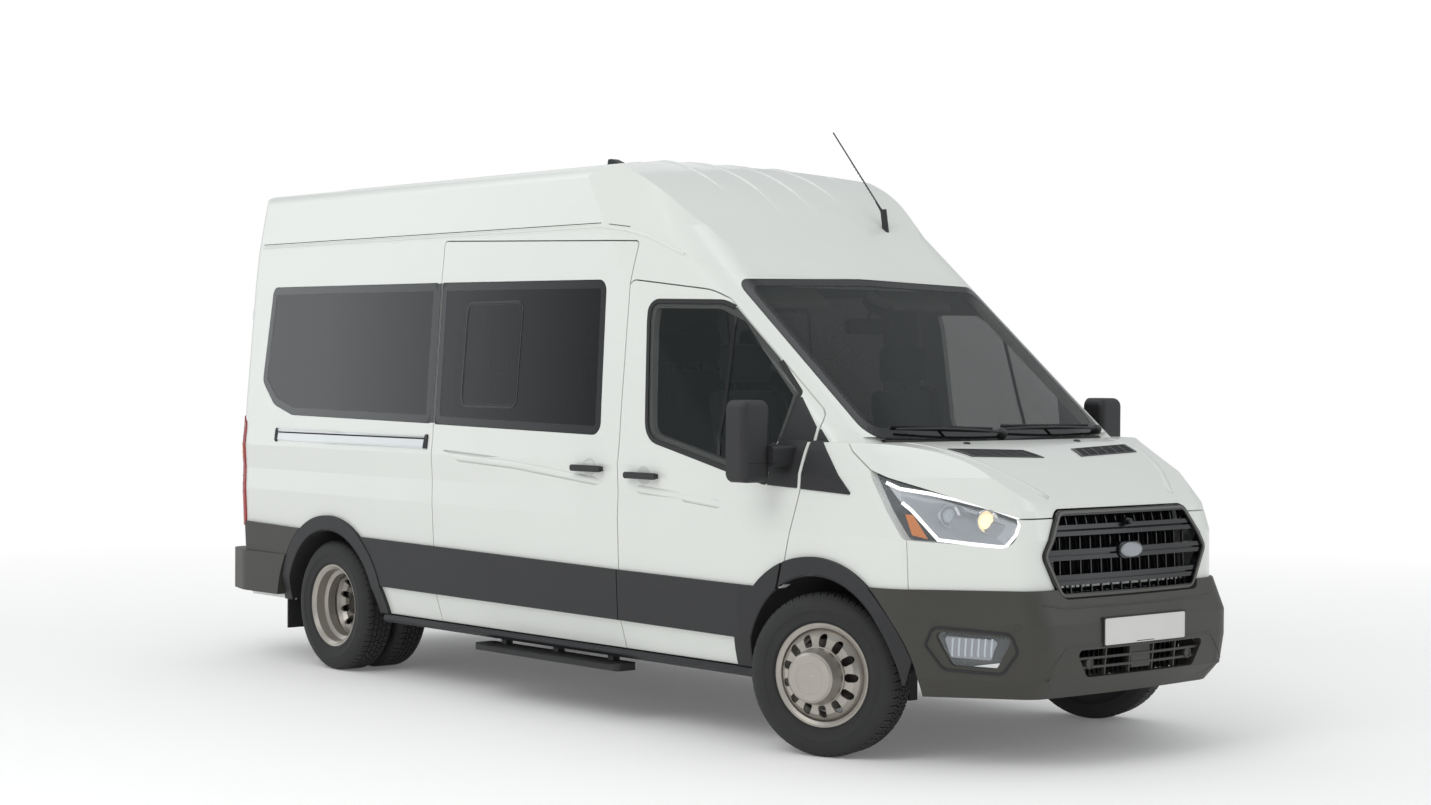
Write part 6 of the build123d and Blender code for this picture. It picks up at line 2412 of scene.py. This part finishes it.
@dataclass
class Upholstery:
    """Padded cushions, backs and head restraints."""

    def build(self) -> None:
        """Soften the carried-over cushions into padded ones, one piece for each seat."""
        source = bmesh.new()
        source.from_mesh(bpy.data.objects["seat_cushions"].data)
        bmesh.ops.remove_doubles(source, verts=source.verts, dist=1e-6)
        blocks = self.loose_parts(source)
        source.free()
        groups: dict[tuple[float, float], list[list]] = {}
        for block in blocks:
            xs = [v.x for face in block for v in face]
            ys = [v.y for face in block for v in face]
            centre = ((min(xs) + max(xs)) / 2, (min(ys) + max(ys)) / 2)
            key = min(self.seat_keys, key=lambda k: abs(k[1] - centre[1]) * 3 + abs(k[0] - 0.1 - centre[0]))
            groups.setdefault(key, []).append(block)
        first = True
        for number, key in enumerate(sorted(groups)):
            shape = bmesh.new()
            for block in groups[key]:
                for face in block:
                    shape.faces.new([shape.verts.new(v) for v in face])
            bmesh.ops.remove_doubles(shape, verts=shape.verts, dist=1e-6)
            mesh = mesh_of(shape, smooth=True)
            soft = self.softened(mesh)
            made = piece(f"padded_seat_{number:02d}", soft, SEAT_CLOTH)
            if first:
                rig.replaces(made, "seat_cushions")
                first = False
            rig.padded(made, 0.7)

    def __post_init__(self) -> None:
        """Keep the seat centres that the blocks are sorted by."""
        self.seat_keys = [(s.x, s.y) for s in seats()]

    @staticmethod
    def loose_parts(shape: BMesh) -> list[list]:
        """Closed parts of a mesh, each as a list of faces' corner points.

        Args:
            shape: working mesh.

        Returns:
            One list of faces for each part.
        """
        seen: set[int] = set()
        parts = []
        shape.faces.ensure_lookup_table()
        for face in shape.faces:
            if face.index in seen:
                continue
            stack, part = [face], []
            seen.add(face.index)
            while stack:
                here = stack.pop()
                part.append([v.co.copy() for v in here.verts])
                for edge in here.edges:
                    for other in edge.link_faces:
                        if other.index not in seen:
                            seen.add(other.index)
                            stack.append(other)
            parts.append(part)
        return parts

    @staticmethod
    def softened(mesh: Mesh) -> Mesh:
        """Evenly faced copy with rounded edges.

        Args:
            mesh: mesh to start from.

        Returns:
            The new mesh.
        """
        carrier = bpy.data.objects.new("cushion_carrier", mesh)
        bpy.context.scene.collection.objects.link(carrier)
        remesh = carrier.modifiers.new("faces", "REMESH")
        remesh.mode = "VOXEL"
        remesh.voxel_size = CUSHION_FACE
        smooth = carrier.modifiers.new("round", "SMOOTH")
        smooth.factor = CUSHION_SMOOTHING
        smooth.iterations = CUSHION_PASSES
        bpy.context.view_layer.update()
        graph = bpy.context.evaluated_depsgraph_get()
        soft = bpy.data.meshes.new_from_object(carrier.evaluated_get(graph))
        bpy.data.objects.remove(carrier)
        for face in soft.polygons:
            face.use_smooth = True
        soft.materials.clear()
        return soft


@dataclass
class CabDetails:
    """Instruments, vents, screen, lever, pedals, visors and belts."""

    repeater: Arrayed

    def build(self) -> None:
        """Make the pieces of the cab."""
        skin = Skin(("dashboard",))
        self.instruments(skin)
        self.vents(skin)
        self.console(skin)
        self.pedals()
        self.visors()
        self.belts()
        self.wheel_hub()

    def instruments(self, skin: Skin) -> None:
        """Hooded binnacle with a dark face in front of the driver.

        Args:
            skin: surfaces that the pieces lie on.
        """
        spot, _ = skin.top(1.7, 0.52)
        shape = bmesh.new()
        arch = [
            (0.52 + 0.165 * cos(a), spot.z - 0.004 + 0.082 * sin(a)) for a in (pi * k / 12 for k in range(13))
        ]
        hood = arch + [
            (0.52 + 0.145 * cos(a), spot.z - 0.004 + 0.066 * sin(a))
            for a in (pi * (12 - k) / 12 for k in range(13))
        ]
        add_prism(shape, hood, lambda u, v, w: (w, u, v), 1.655, 1.8)
        piece("instrument_hood", shape, DASH_SKIN)
        face = bmesh.new()
        add_prism(
            face,
            [
                (0.52 + 0.147 * cos(a), spot.z - 0.004 + 0.067 * sin(a))
                for a in (pi * k / 12 for k in range(13))
            ],
            lambda u, v, w: (w, u, v), 1.7, 1.716,
        )
        for y in (0.455, 0.585):
            place = Matrix.Translation((1.7, y, spot.z + 0.026)) @ Matrix.Rotation(radians(90), 4, "Z")
            add_lathe(face, [(0.026, 0.0), (0.029, 0.0), (0.029, 0.006), (0.026, 0.006)], 32, place)
        piece("instrument_face", face, GLOSS_PLASTIC)

    def vents(self, skin: Skin) -> None:
        """Four air vents with slats, facing the seats.

        Args:
            skin: surfaces that the pieces lie on.
        """
        for number, y in enumerate((0.78, 0.14, -0.14, -0.78)):
            try:
                spot, _ = skin.back(y, 1.155)
            except ValueError:
                continue
            slat = bmesh.new()
            add_block(slat, (-0.004, -0.055, -0.001), (0.008, 0.055, 0.001))
            rows = self.repeater.repeat(
                mesh_of(slat), 6, GLOSS_PLASTIC, step=(0, 0, 0.011),
                place=Matrix.Translation((spot.x - 0.004, y, 1.128)),
            )
            frame = bmesh.new()
            outer = rounded(
                [
                    (y - 0.064, 1.117, 0.012), (y + 0.064, 1.117, 0.012), (y + 0.064, 1.194, 0.012),
                    (y - 0.064, 1.194, 0.012),
                ],
                4,
            )
            inner = inset(outer, 0.008)
            back = Vector((-1, 0, 0))
            add_band(
                frame, [(Vector((spot.x, u, v)), back) for u, v in outer],
                [(Vector((spot.x, u, v)), back) for u, v in inner], 0.007,
            )
            piece(f"air_vent_{number}", merged(rows, mesh_of(frame)), GLOSS_PLASTIC, slot="dash_plastic")

    def console(self, skin: Skin) -> None:
        """Blank screen, keys and the gear lever with its knob.

        Args:
            skin: surfaces that the pieces lie on.
        """
        spot, _ = skin.back(0.0, 1.05)
        shape = bmesh.new()
        rows = rounded(
            [(-0.098, 1.0, 0.008), (0.098, 1.0, 0.008), (0.098, 1.11, 0.008), (-0.098, 1.11, 0.008)], 4
        )
        add_prism(shape, rows, lambda u, v, w: (w, u, v), spot.x - 0.012, spot.x + 0.004)
        piece("blank_screen", shape, GLOSS_PLASTIC)
        keys = bmesh.new()
        add_block(keys, (-0.006, -0.012, -0.007), (0.002, 0.012, 0.007), 0.002)
        row = self.repeater.repeat(
            mesh_of(keys), 7, SATIN_GREY, step=(0, 0.029, 0),
            place=Matrix.Translation((spot.x, -0.087, 0.968)),
        )
        piece("console_keys", row, SATIN_GREY, slot="dash_plastic")
        lever = bmesh.new()
        add_tube(
            lever, [(spot.x + 0.01, 0.0, 0.915), (spot.x - 0.045, 0.02, 0.94), (spot.x - 0.075, 0.03, 1.0)],
            0.009, 12,
        )
        place = Matrix.Translation((spot.x - 0.078, 0.031, 1.003)) @ Matrix.Rotation(radians(90), 4, "X")
        add_lathe(
            lever,
            [
                (0.0005, -0.028), (0.017, -0.024), (0.026, -0.006), (0.026, 0.012), (0.017, 0.024),
                (0.0005, 0.027),
            ],
            20, place,
        )
        piece("gear_lever", lever, DASH_SKIN, smooth=True)

    def pedals(self) -> None:
        """Three pedals on their arms."""
        shape = bmesh.new()
        for y, low in ((0.64, 0.8), (0.52, 0.8), (0.4, 0.78)):
            add_tube(shape, [(1.868, y, 1.0), (1.835, y, 0.9), (1.815, y, low + 0.03)], 0.007, 8)
            width = 0.026 if y < 0.45 else 0.034
            add_block(shape, (1.8, y - width, low), (1.812, y + width, low + 0.055), 0.005)
        piece("pedals", shape, POWDER_COAT)

    def visors(self) -> None:
        """Sun visors folded up over the screen."""
        for side in Side:
            s = side.value
            shape = bmesh.new()
            edge = rounded(
                [
                    (s * 0.2, 0.0, 0.03), (s * 0.62, 0.0, 0.03), (s * 0.62, 0.165, 0.03),
                    (s * 0.2, 0.165, 0.03),
                ],
                4,
            )
            turn = Matrix.Translation((1.215, 0, 1.985)) @ Matrix.Rotation(radians(-52), 4, "Y")
            add_prism(shape, edge, lambda u, v, w: turn @ Vector((w, u, v - 0.08)), -0.008, 0.008)
            add_tube(
                shape, [turn @ Vector((0, s * 0.18, 0.075)), turn @ Vector((0, s * 0.66, 0.075))], 0.005, 8
            )
            piece(f"sun_visor_{side.word}", shape, HEADLINING)

    def belts(self) -> None:
        """Belt webbing over each seat back and the buckles beside the cushions."""
        webs, buckles = bmesh.new(), bmesh.new()
        for seat in seats():
            x, y, top = seat.x, seat.y, seat.top
            line = [
                (Vector((x - 0.368, y + 0.15, top + 0.56)), Vector((0, 0, 1))),
                (Vector((x - 0.3, y + 0.148, top + 0.664)), Vector((0, 0, 1))),
                (Vector((x - 0.243, y + 0.145, top + 0.64)), Vector((1, 0, 0.4)).normalized()),
                (Vector((x - 0.19, y + 0.16, top + 0.4)), Vector((1, 0, 0.2)).normalized()),
                (Vector((x - 0.147, y + 0.19, top + 0.16)), Vector((1, 0, 0.2)).normalized()),
            ]
            add_sweep(webs, line, strip_profile(0.046, 0.0012, 0.0002))
            add_block(
                buckles, (x - 0.155, y - 0.213, top + 0.075), (x - 0.125, y - 0.198, top + 0.165), 0.004
            )
        piece("belt_webbing", webs, BELT_WEB)
        piece("belt_buckles", buckles, GLOSS_PLASTIC, slot="dash_plastic")

    def wheel_hub(self) -> None:
        """Hub pad and stalks of the steering wheel."""
        middle = node_centre("steering_wheel")
        column = Vector((0.905, 0, -0.425)).normalized()
        place = facing(middle, -column)
        shape = bmesh.new()
        add_lathe(
            shape,
            [(0.0005, -0.03), (0.06, -0.03), (0.078, -0.012), (0.074, 0.006), (0.05, 0.02), (0.0005, 0.024)],
            32, place,
        )
        piece("wheel_pad", shape, DASH_SKIN, smooth=True)
        stalks = bmesh.new()
        for s in (-1, 1):
            base = middle + column * 0.075
            add_tube(
                stalks,
                [base, base + Vector((-0.01, s * 0.1, 0.005)), base + Vector((-0.02, s * 0.165, 0.012))],
                0.007, 10,
            )
        piece("column_stalks", stalks, GRAINED_PLASTIC, slot="dash_plastic")


def node_centre(node: str) -> Vector:
    """Middle of a node's box."""
    corners = [Vector(c) for c in bpy.data.objects[node].bound_box]
    return sum(corners, Vector()) / 8


# ---------------------------------------------------------------- underneath
@dataclass
class Underbody:
    """Spring clamps, dampers, shaft flanges, lines, exhaust clamps and bolts."""

    repeater: Arrayed

    def build(self) -> None:
        """Make the pieces under the floor."""
        self.spring_clamps()
        self.dampers()
        self.shaft_joints()
        self.pipes()
        self.rail_bolts()
        self.exhaust_bands()

    def spring_clamps(self) -> None:
        """U-bolts and plates over the axle."""
        shape = bmesh.new()
        for side in Side:
            s = side.value
            for dx in (-0.045, 0.045):
                x = REAR_AXLE_X + dx
                line = [
                    (x, s * 0.498, 0.262), (x, s * 0.498, 0.392), (x, s * 0.528, 0.402),
                    (x, s * 0.558, 0.392), (x, s * 0.558, 0.262),
                ]
                add_tube(shape, line, 0.007, 8)
            add_block(
                shape, (REAR_AXLE_X - 0.065, s * 0.528 - 0.045, 0.256),
                (REAR_AXLE_X + 0.065, s * 0.528 + 0.045, 0.268), 0.003,
            )
        piece("spring_u_bolts", shape, ZINC, slot="steel_dark")

    def dampers(self) -> None:
        """Telescopic dampers beside the rear axle."""
        for side in Side:
            s = side.value
            low, high = Vector(
                (REAR_AXLE_X + 0.08, s * 0.46, 0.3)
            ), Vector((REAR_AXLE_X + 0.2, s * 0.4, 0.545))
            shape = bmesh.new()
            middle = low.lerp(high, 0.52)
            add_tube(shape, [low, middle], 0.024, 18)
            add_tube(shape, [middle, middle.lerp(high, 0.05)], 0.028, 18)
            add_tube(shape, [middle, high], 0.01, 12)
            for end in (low, high):
                add_tube(shape, [end + Vector((0, -0.022, 0)), end + Vector((0, 0.022, 0))], 0.018, 14)
            piece(f"rear_damper_{side.word}", shape, CHASSIS_PAINT)

    def shaft_joints(self) -> None:
        """Bolted flanges of the shaft and the cover on the axle case."""
        ahead = Vector((FRONT_AXLE_X - 0.507 - REAR_AXLE_X, 0, 0.45 - AXLE_Z)).normalized()
        shape = bmesh.new()
        start = Vector((REAR_AXLE_X, 0, AXLE_Z))
        turn = ahead.to_track_quat("Y", "Z").to_matrix().to_4x4()
        for distance in (0.2, 1.62, 3.14):
            place = Matrix.Translation(start + ahead * distance) @ turn
            add_lathe(shape, [(0.03, -0.012), (0.055, -0.012), (0.055, 0.012), (0.03, 0.012)], 28, place)
            bolt = [(0.007 * cos(pi * k / 3), 0.007 * sin(pi * k / 3)) for k in range(6)]
            for k in range(6):
                a = pi * k / 3
                add_prism(
                    shape, bolt,
                    lambda u, v, w, a=a: place @ Vector((0.044 * cos(a) + u, w, 0.044 * sin(a) + v)), 0.01,
                    0.022,
                )
        piece("shaft_flanges", shape, CAST_IRON)
        case = bmesh.new()
        place = Matrix.Translation(start) @ Matrix.Rotation(radians(90), 4, "Z")
        add_lathe(
            case,
            [(0.02, 0.095), (0.105, 0.095), (0.118, 0.088), (0.112, 0.118), (0.06, 0.14), (0.02, 0.145)], 36,
            place,
        )
        bolt = bmesh.new()
        add_prism(
            bolt, [(0.007 * cos(pi * k / 3), 0.1 + 0.007 * sin(pi * k / 3)) for k in range(6)],
            lambda u, v, w: (u, w, v), 0.11, 0.126,
        )
        ring = self.repeater.repeat(mesh_of(bolt), 10, ZINC, turn=(0, pi / 5, 0), place=place)
        piece("axle_case_cover", case, CAST_IRON)
        piece("axle_case_bolts", ring, ZINC)

    def pipes(self) -> None:
        """Brake and fuel lines clipped along the left rail."""
        shape = bmesh.new()
        for k, z in enumerate((0.47, 0.485, 0.5)):
            y = 0.424
            line = [(1.95, y, z), (1.2, y, z), (0.2, y, z), (-0.9, y, z), (-1.65, y - 0.01 * k, z)]
            add_tube(shape, line, 0.0035, 8)
        for x in (1.6, 1.1, 0.6, 0.1, -0.4, -0.9, -1.4):
            add_block(shape, (x - 0.009, 0.418, 0.462), (x + 0.009, 0.432, 0.508), 0.002)
        piece("rail_lines", shape, EXHAUST_STEEL, slot="steel_dark")

    def rail_bolts(self) -> None:
        """Bolt heads in rows along both rails' undersides."""
        bolt = bmesh.new()
        add_prism(
            bolt, [(0.011 * cos(pi * k / 3), 0.011 * sin(pi * k / 3)) for k in range(6)],
            lambda u, v, w: (u, v, w), -0.009, 0.002,
        )
        head = mesh_of(bolt)
        skin = Skin(("chassis",))
        rows = []
        for s in (-1, 1):
            spot, _ = skin.below(0.3, s * 0.465)
            rows.append(
                self.repeater.repeat(
                    head.copy(), 20, ZINC, step=(0.22, 0, 0),
                    place=Matrix.Translation((-2.6, s * 0.465, spot.z)),
                )
            )
        piece("rail_bolts", merged(*rows), ZINC, slot="steel_dark")

    def exhaust_bands(self) -> None:
        """Clamps along the exhaust."""
        shape = bmesh.new()
        for x, radius in (
            (1.3, 0.03), (0.4, 0.03), (-0.42, 0.089), (-0.8, 0.089), (-1.3, 0.03), (-2.3, 0.03)
        ):
            place = Matrix.Translation((x, -0.27, 0.47)) @ Matrix.Rotation(radians(90), 4, "Z")
            add_lathe(
                shape, [(radius - 0.006, -0.011), (radius, -0.011), (radius, 0.011), (radius - 0.006, 0.011)],
                32, place,
            )
        piece("exhaust_bands", shape, ZINC, slot="exhaust_steel")


# ---------------------------------------------------------------- studio
@dataclass
class Studio:
    """Pale floor, soft lamps and the camera."""

    lens_mm: float = 60.48
    place: Point = (9.4249, -7.9556, 1.6444)
    yaw_deg: float = 40.855
    pitch_deg: float = 0.802
    roll_deg: float = 0.3335
    backdrop: str = "FFFFFF"

    def build(self) -> None:
        """Set up the floor, the world, the lamps and the camera."""
        self.floor()
        self.world()
        self.lamp("key_lamp", (3.0, -9.0, 8.5), 6.0, 330.0)
        self.lamp("fill_lamp", (11.0, 3.0, 5.0), 6.0, 30.0)
        self.lamp("back_lamp", (-9.0, 5.0, 7.0), 6.0, 40.0)
        self.camera()
        bpy.context.scene.view_settings.view_transform = "Standard"

    def floor(self) -> None:
        """Pale floor that keeps the vehicle's shadow."""
        shape = bmesh.new()
        corners = [(-40, -40, 0), (40, -40, 0), (40, 40, 0), (-40, 40, 0)]
        shape.faces.new([shape.verts.new(c) for c in corners])
        mesh = bpy.data.meshes.new("studio_floor")
        shape.to_mesh(mesh)
        shape.free()
        ground = bpy.data.objects.new("studio_floor", mesh)
        bpy.context.scene.collection.objects.link(ground)
        made = bpy.data.materials.new("painted_studio_floor")
        made.use_nodes = True
        tree = made.node_tree
        tree.nodes.clear()
        place = add_node(tree, "ShaderNodeTexCoord").outputs["Object"]
        cloud = add_node(tree, "ShaderNodeTexNoise", {"Vector": place, "Scale": 0.6})
        tone = add_node(
            tree, "ShaderNodeMix", {"Factor": cloud.outputs["Fac"], 6: linear("F6F6F5"), 7: linear("F8F8F7")},
            data_type="RGBA",
        )
        shader = add_node(
            tree, "ShaderNodeBsdfPrincipled",
            {
                "Base Color": tone.outputs[2], "Roughness": 0.8, "Emission Color": linear("FFFFFF"),
                "Emission Strength": 0.1,
            },
        )
        away = add_node(tree, "ShaderNodeVectorMath", {0: place}, operation="LENGTH")
        fade = add_node(
            tree, "ShaderNodeMapRange", {0: away.outputs["Value"], 1: 4.5, 2: 11.0, 3: 0.0, 4: 1.0}
        )
        far = add_node(tree, "ShaderNodeEmission", {"Color": linear("FFFFFF"), "Strength": 1.0})
        mixed = add_node(
            tree, "ShaderNodeMixShader", {0: fade.outputs[0], 1: shader.outputs[0], 2: far.outputs[0]}
        )
        add_node(tree, "ShaderNodeOutputMaterial", {"Surface": mixed.outputs[0]})
        mesh.materials.append(made)
        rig.stage(ground)

    def world(self) -> None:
        """Even pale surround, seen white by the camera and by gloss."""
        world = bpy.data.worlds.new("studio_surround")
        bpy.context.scene.world = world
        world.use_nodes = True
        tree = world.node_tree
        tree.nodes.clear()
        path = add_node(tree, "ShaderNodeLightPath")
        seen = add_node(
            tree, "ShaderNodeMath",
            {0: path.outputs["Is Camera Ray"], 1: path.outputs["Is Transmission Ray"]}, operation="MAXIMUM",
        )
        light = add_node(tree, "ShaderNodeBackground", {"Color": linear("FAFBFC"), "Strength": 0.8})
        # a broad soft box behind the right rear corner: panes show its fading edge
        facing = add_node(tree, "ShaderNodeTexCoord").outputs["Generated"]
        across = add_node(
            tree, "ShaderNodeVectorMath", {0: facing, 1: (-0.5736, 0.8192, -0.1)}, operation="DOT_PRODUCT"
        )
        rise = add_node(
            tree, "ShaderNodeMapRange", {0: across.outputs["Value"], 1: -0.06, 2: 0.055, 3: 0.0, 4: 1.0}
        )
        fall = add_node(
            tree, "ShaderNodeMapRange", {0: across.outputs["Value"], 1: 0.1, 2: 0.42, 3: 1.0, 4: 0.0}
        )
        box = add_node(tree, "ShaderNodeMath", {0: rise.outputs[0], 1: fall.outputs[0]}, operation="MULTIPLY")
        strength = add_node(tree, "ShaderNodeMapRange", {0: box.outputs[0], 1: 0.0, 2: 1.0, 3: 0.68, 4: 2.6})
        gloss = add_node(
            tree, "ShaderNodeBackground", {"Color": linear("E8ECEF"), "Strength": strength.outputs[0]}
        )
        white = add_node(tree, "ShaderNodeBackground", {"Color": linear(self.backdrop), "Strength": 1.0})
        lit = add_node(
            tree, "ShaderNodeMixShader",
            {0: path.outputs["Is Glossy Ray"], 1: light.outputs[0], 2: gloss.outputs[0]},
        )
        mixed = add_node(
            tree, "ShaderNodeMixShader", {0: seen.outputs[0], 1: lit.outputs[0], 2: white.outputs[0]}
        )
        add_node(tree, "ShaderNodeOutputWorld", {"Surface": mixed.outputs[0]})

    def lamp(self, name: str, place: Point, size: float, power: float) -> None:
        """Square soft lamp that faces the vehicle.

        Args:
            name: lamp name.
            place: where it hangs.
            size: side length.
            power: watts.
        """
        data = bpy.data.lights.new(name, "AREA")
        data.size = size
        data.energy = power
        lamp = bpy.data.objects.new(name, data)
        bpy.context.scene.collection.objects.link(lamp)
        aim = Vector((0, 0, 1.0)) - Vector(place)
        lamp.matrix_world = Matrix.Translation(place) @ aim.to_track_quat("-Z", "Y").to_matrix().to_4x4()

    def camera(self) -> None:
        """Camera ahead of the right front corner, at mirror height."""
        data = bpy.data.cameras.new("view_camera")
        data.lens = self.lens_mm
        data.sensor_width = 36.0
        data.clip_end = 200.0
        camera = bpy.data.objects.new("view_camera", data)
        bpy.context.scene.collection.objects.link(camera)
        yaw, pitch, roll = (radians(a) for a in (self.yaw_deg, self.pitch_deg, self.roll_deg))
        ahead = Vector((-cos(yaw) * cos(pitch), sin(yaw) * cos(pitch), -sin(pitch)))
        right = ahead.cross(Vector((0, 0, 1))).normalized()
        up = right.cross(ahead)
        rolled_right = right * cos(roll) + up * sin(roll)
        rolled_up = up * cos(roll) - right * sin(roll)
        turn = Matrix((rolled_right, rolled_up, -ahead)).transposed().to_4x4()
        camera.matrix_world = Matrix.Translation(self.place) @ turn
        bpy.context.scene.camera = camera


def main() -> None:
    """Dress the solids, build the fine pieces and set up the studio."""
    cad_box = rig.bounds()
    dress_nodes()
    repeater = Arrayed()
    Tyres(repeater).build()
    WheelFittings(repeater).build()
    Nose(repeater).build()
    Bonnet(repeater).build()
    Headlamps().build()
    LowerFront(repeater).build()
    Windscreen().build()
    SideWindows().build()
    SideFittings(repeater).build()
    Mirrors().build()
    Roof().build()
    Rear(repeater).build()
    Upholstery().build()
    CabDetails(repeater).build()
    Underbody(repeater).build()
    Studio().build()
    with open("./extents.json", "w", encoding="utf-8") as out:
        json.dump({"cad": [list(c) for c in cad_box], "visual": [list(c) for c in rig.bounds()]}, out)


if __name__ == "__main__":
    main()
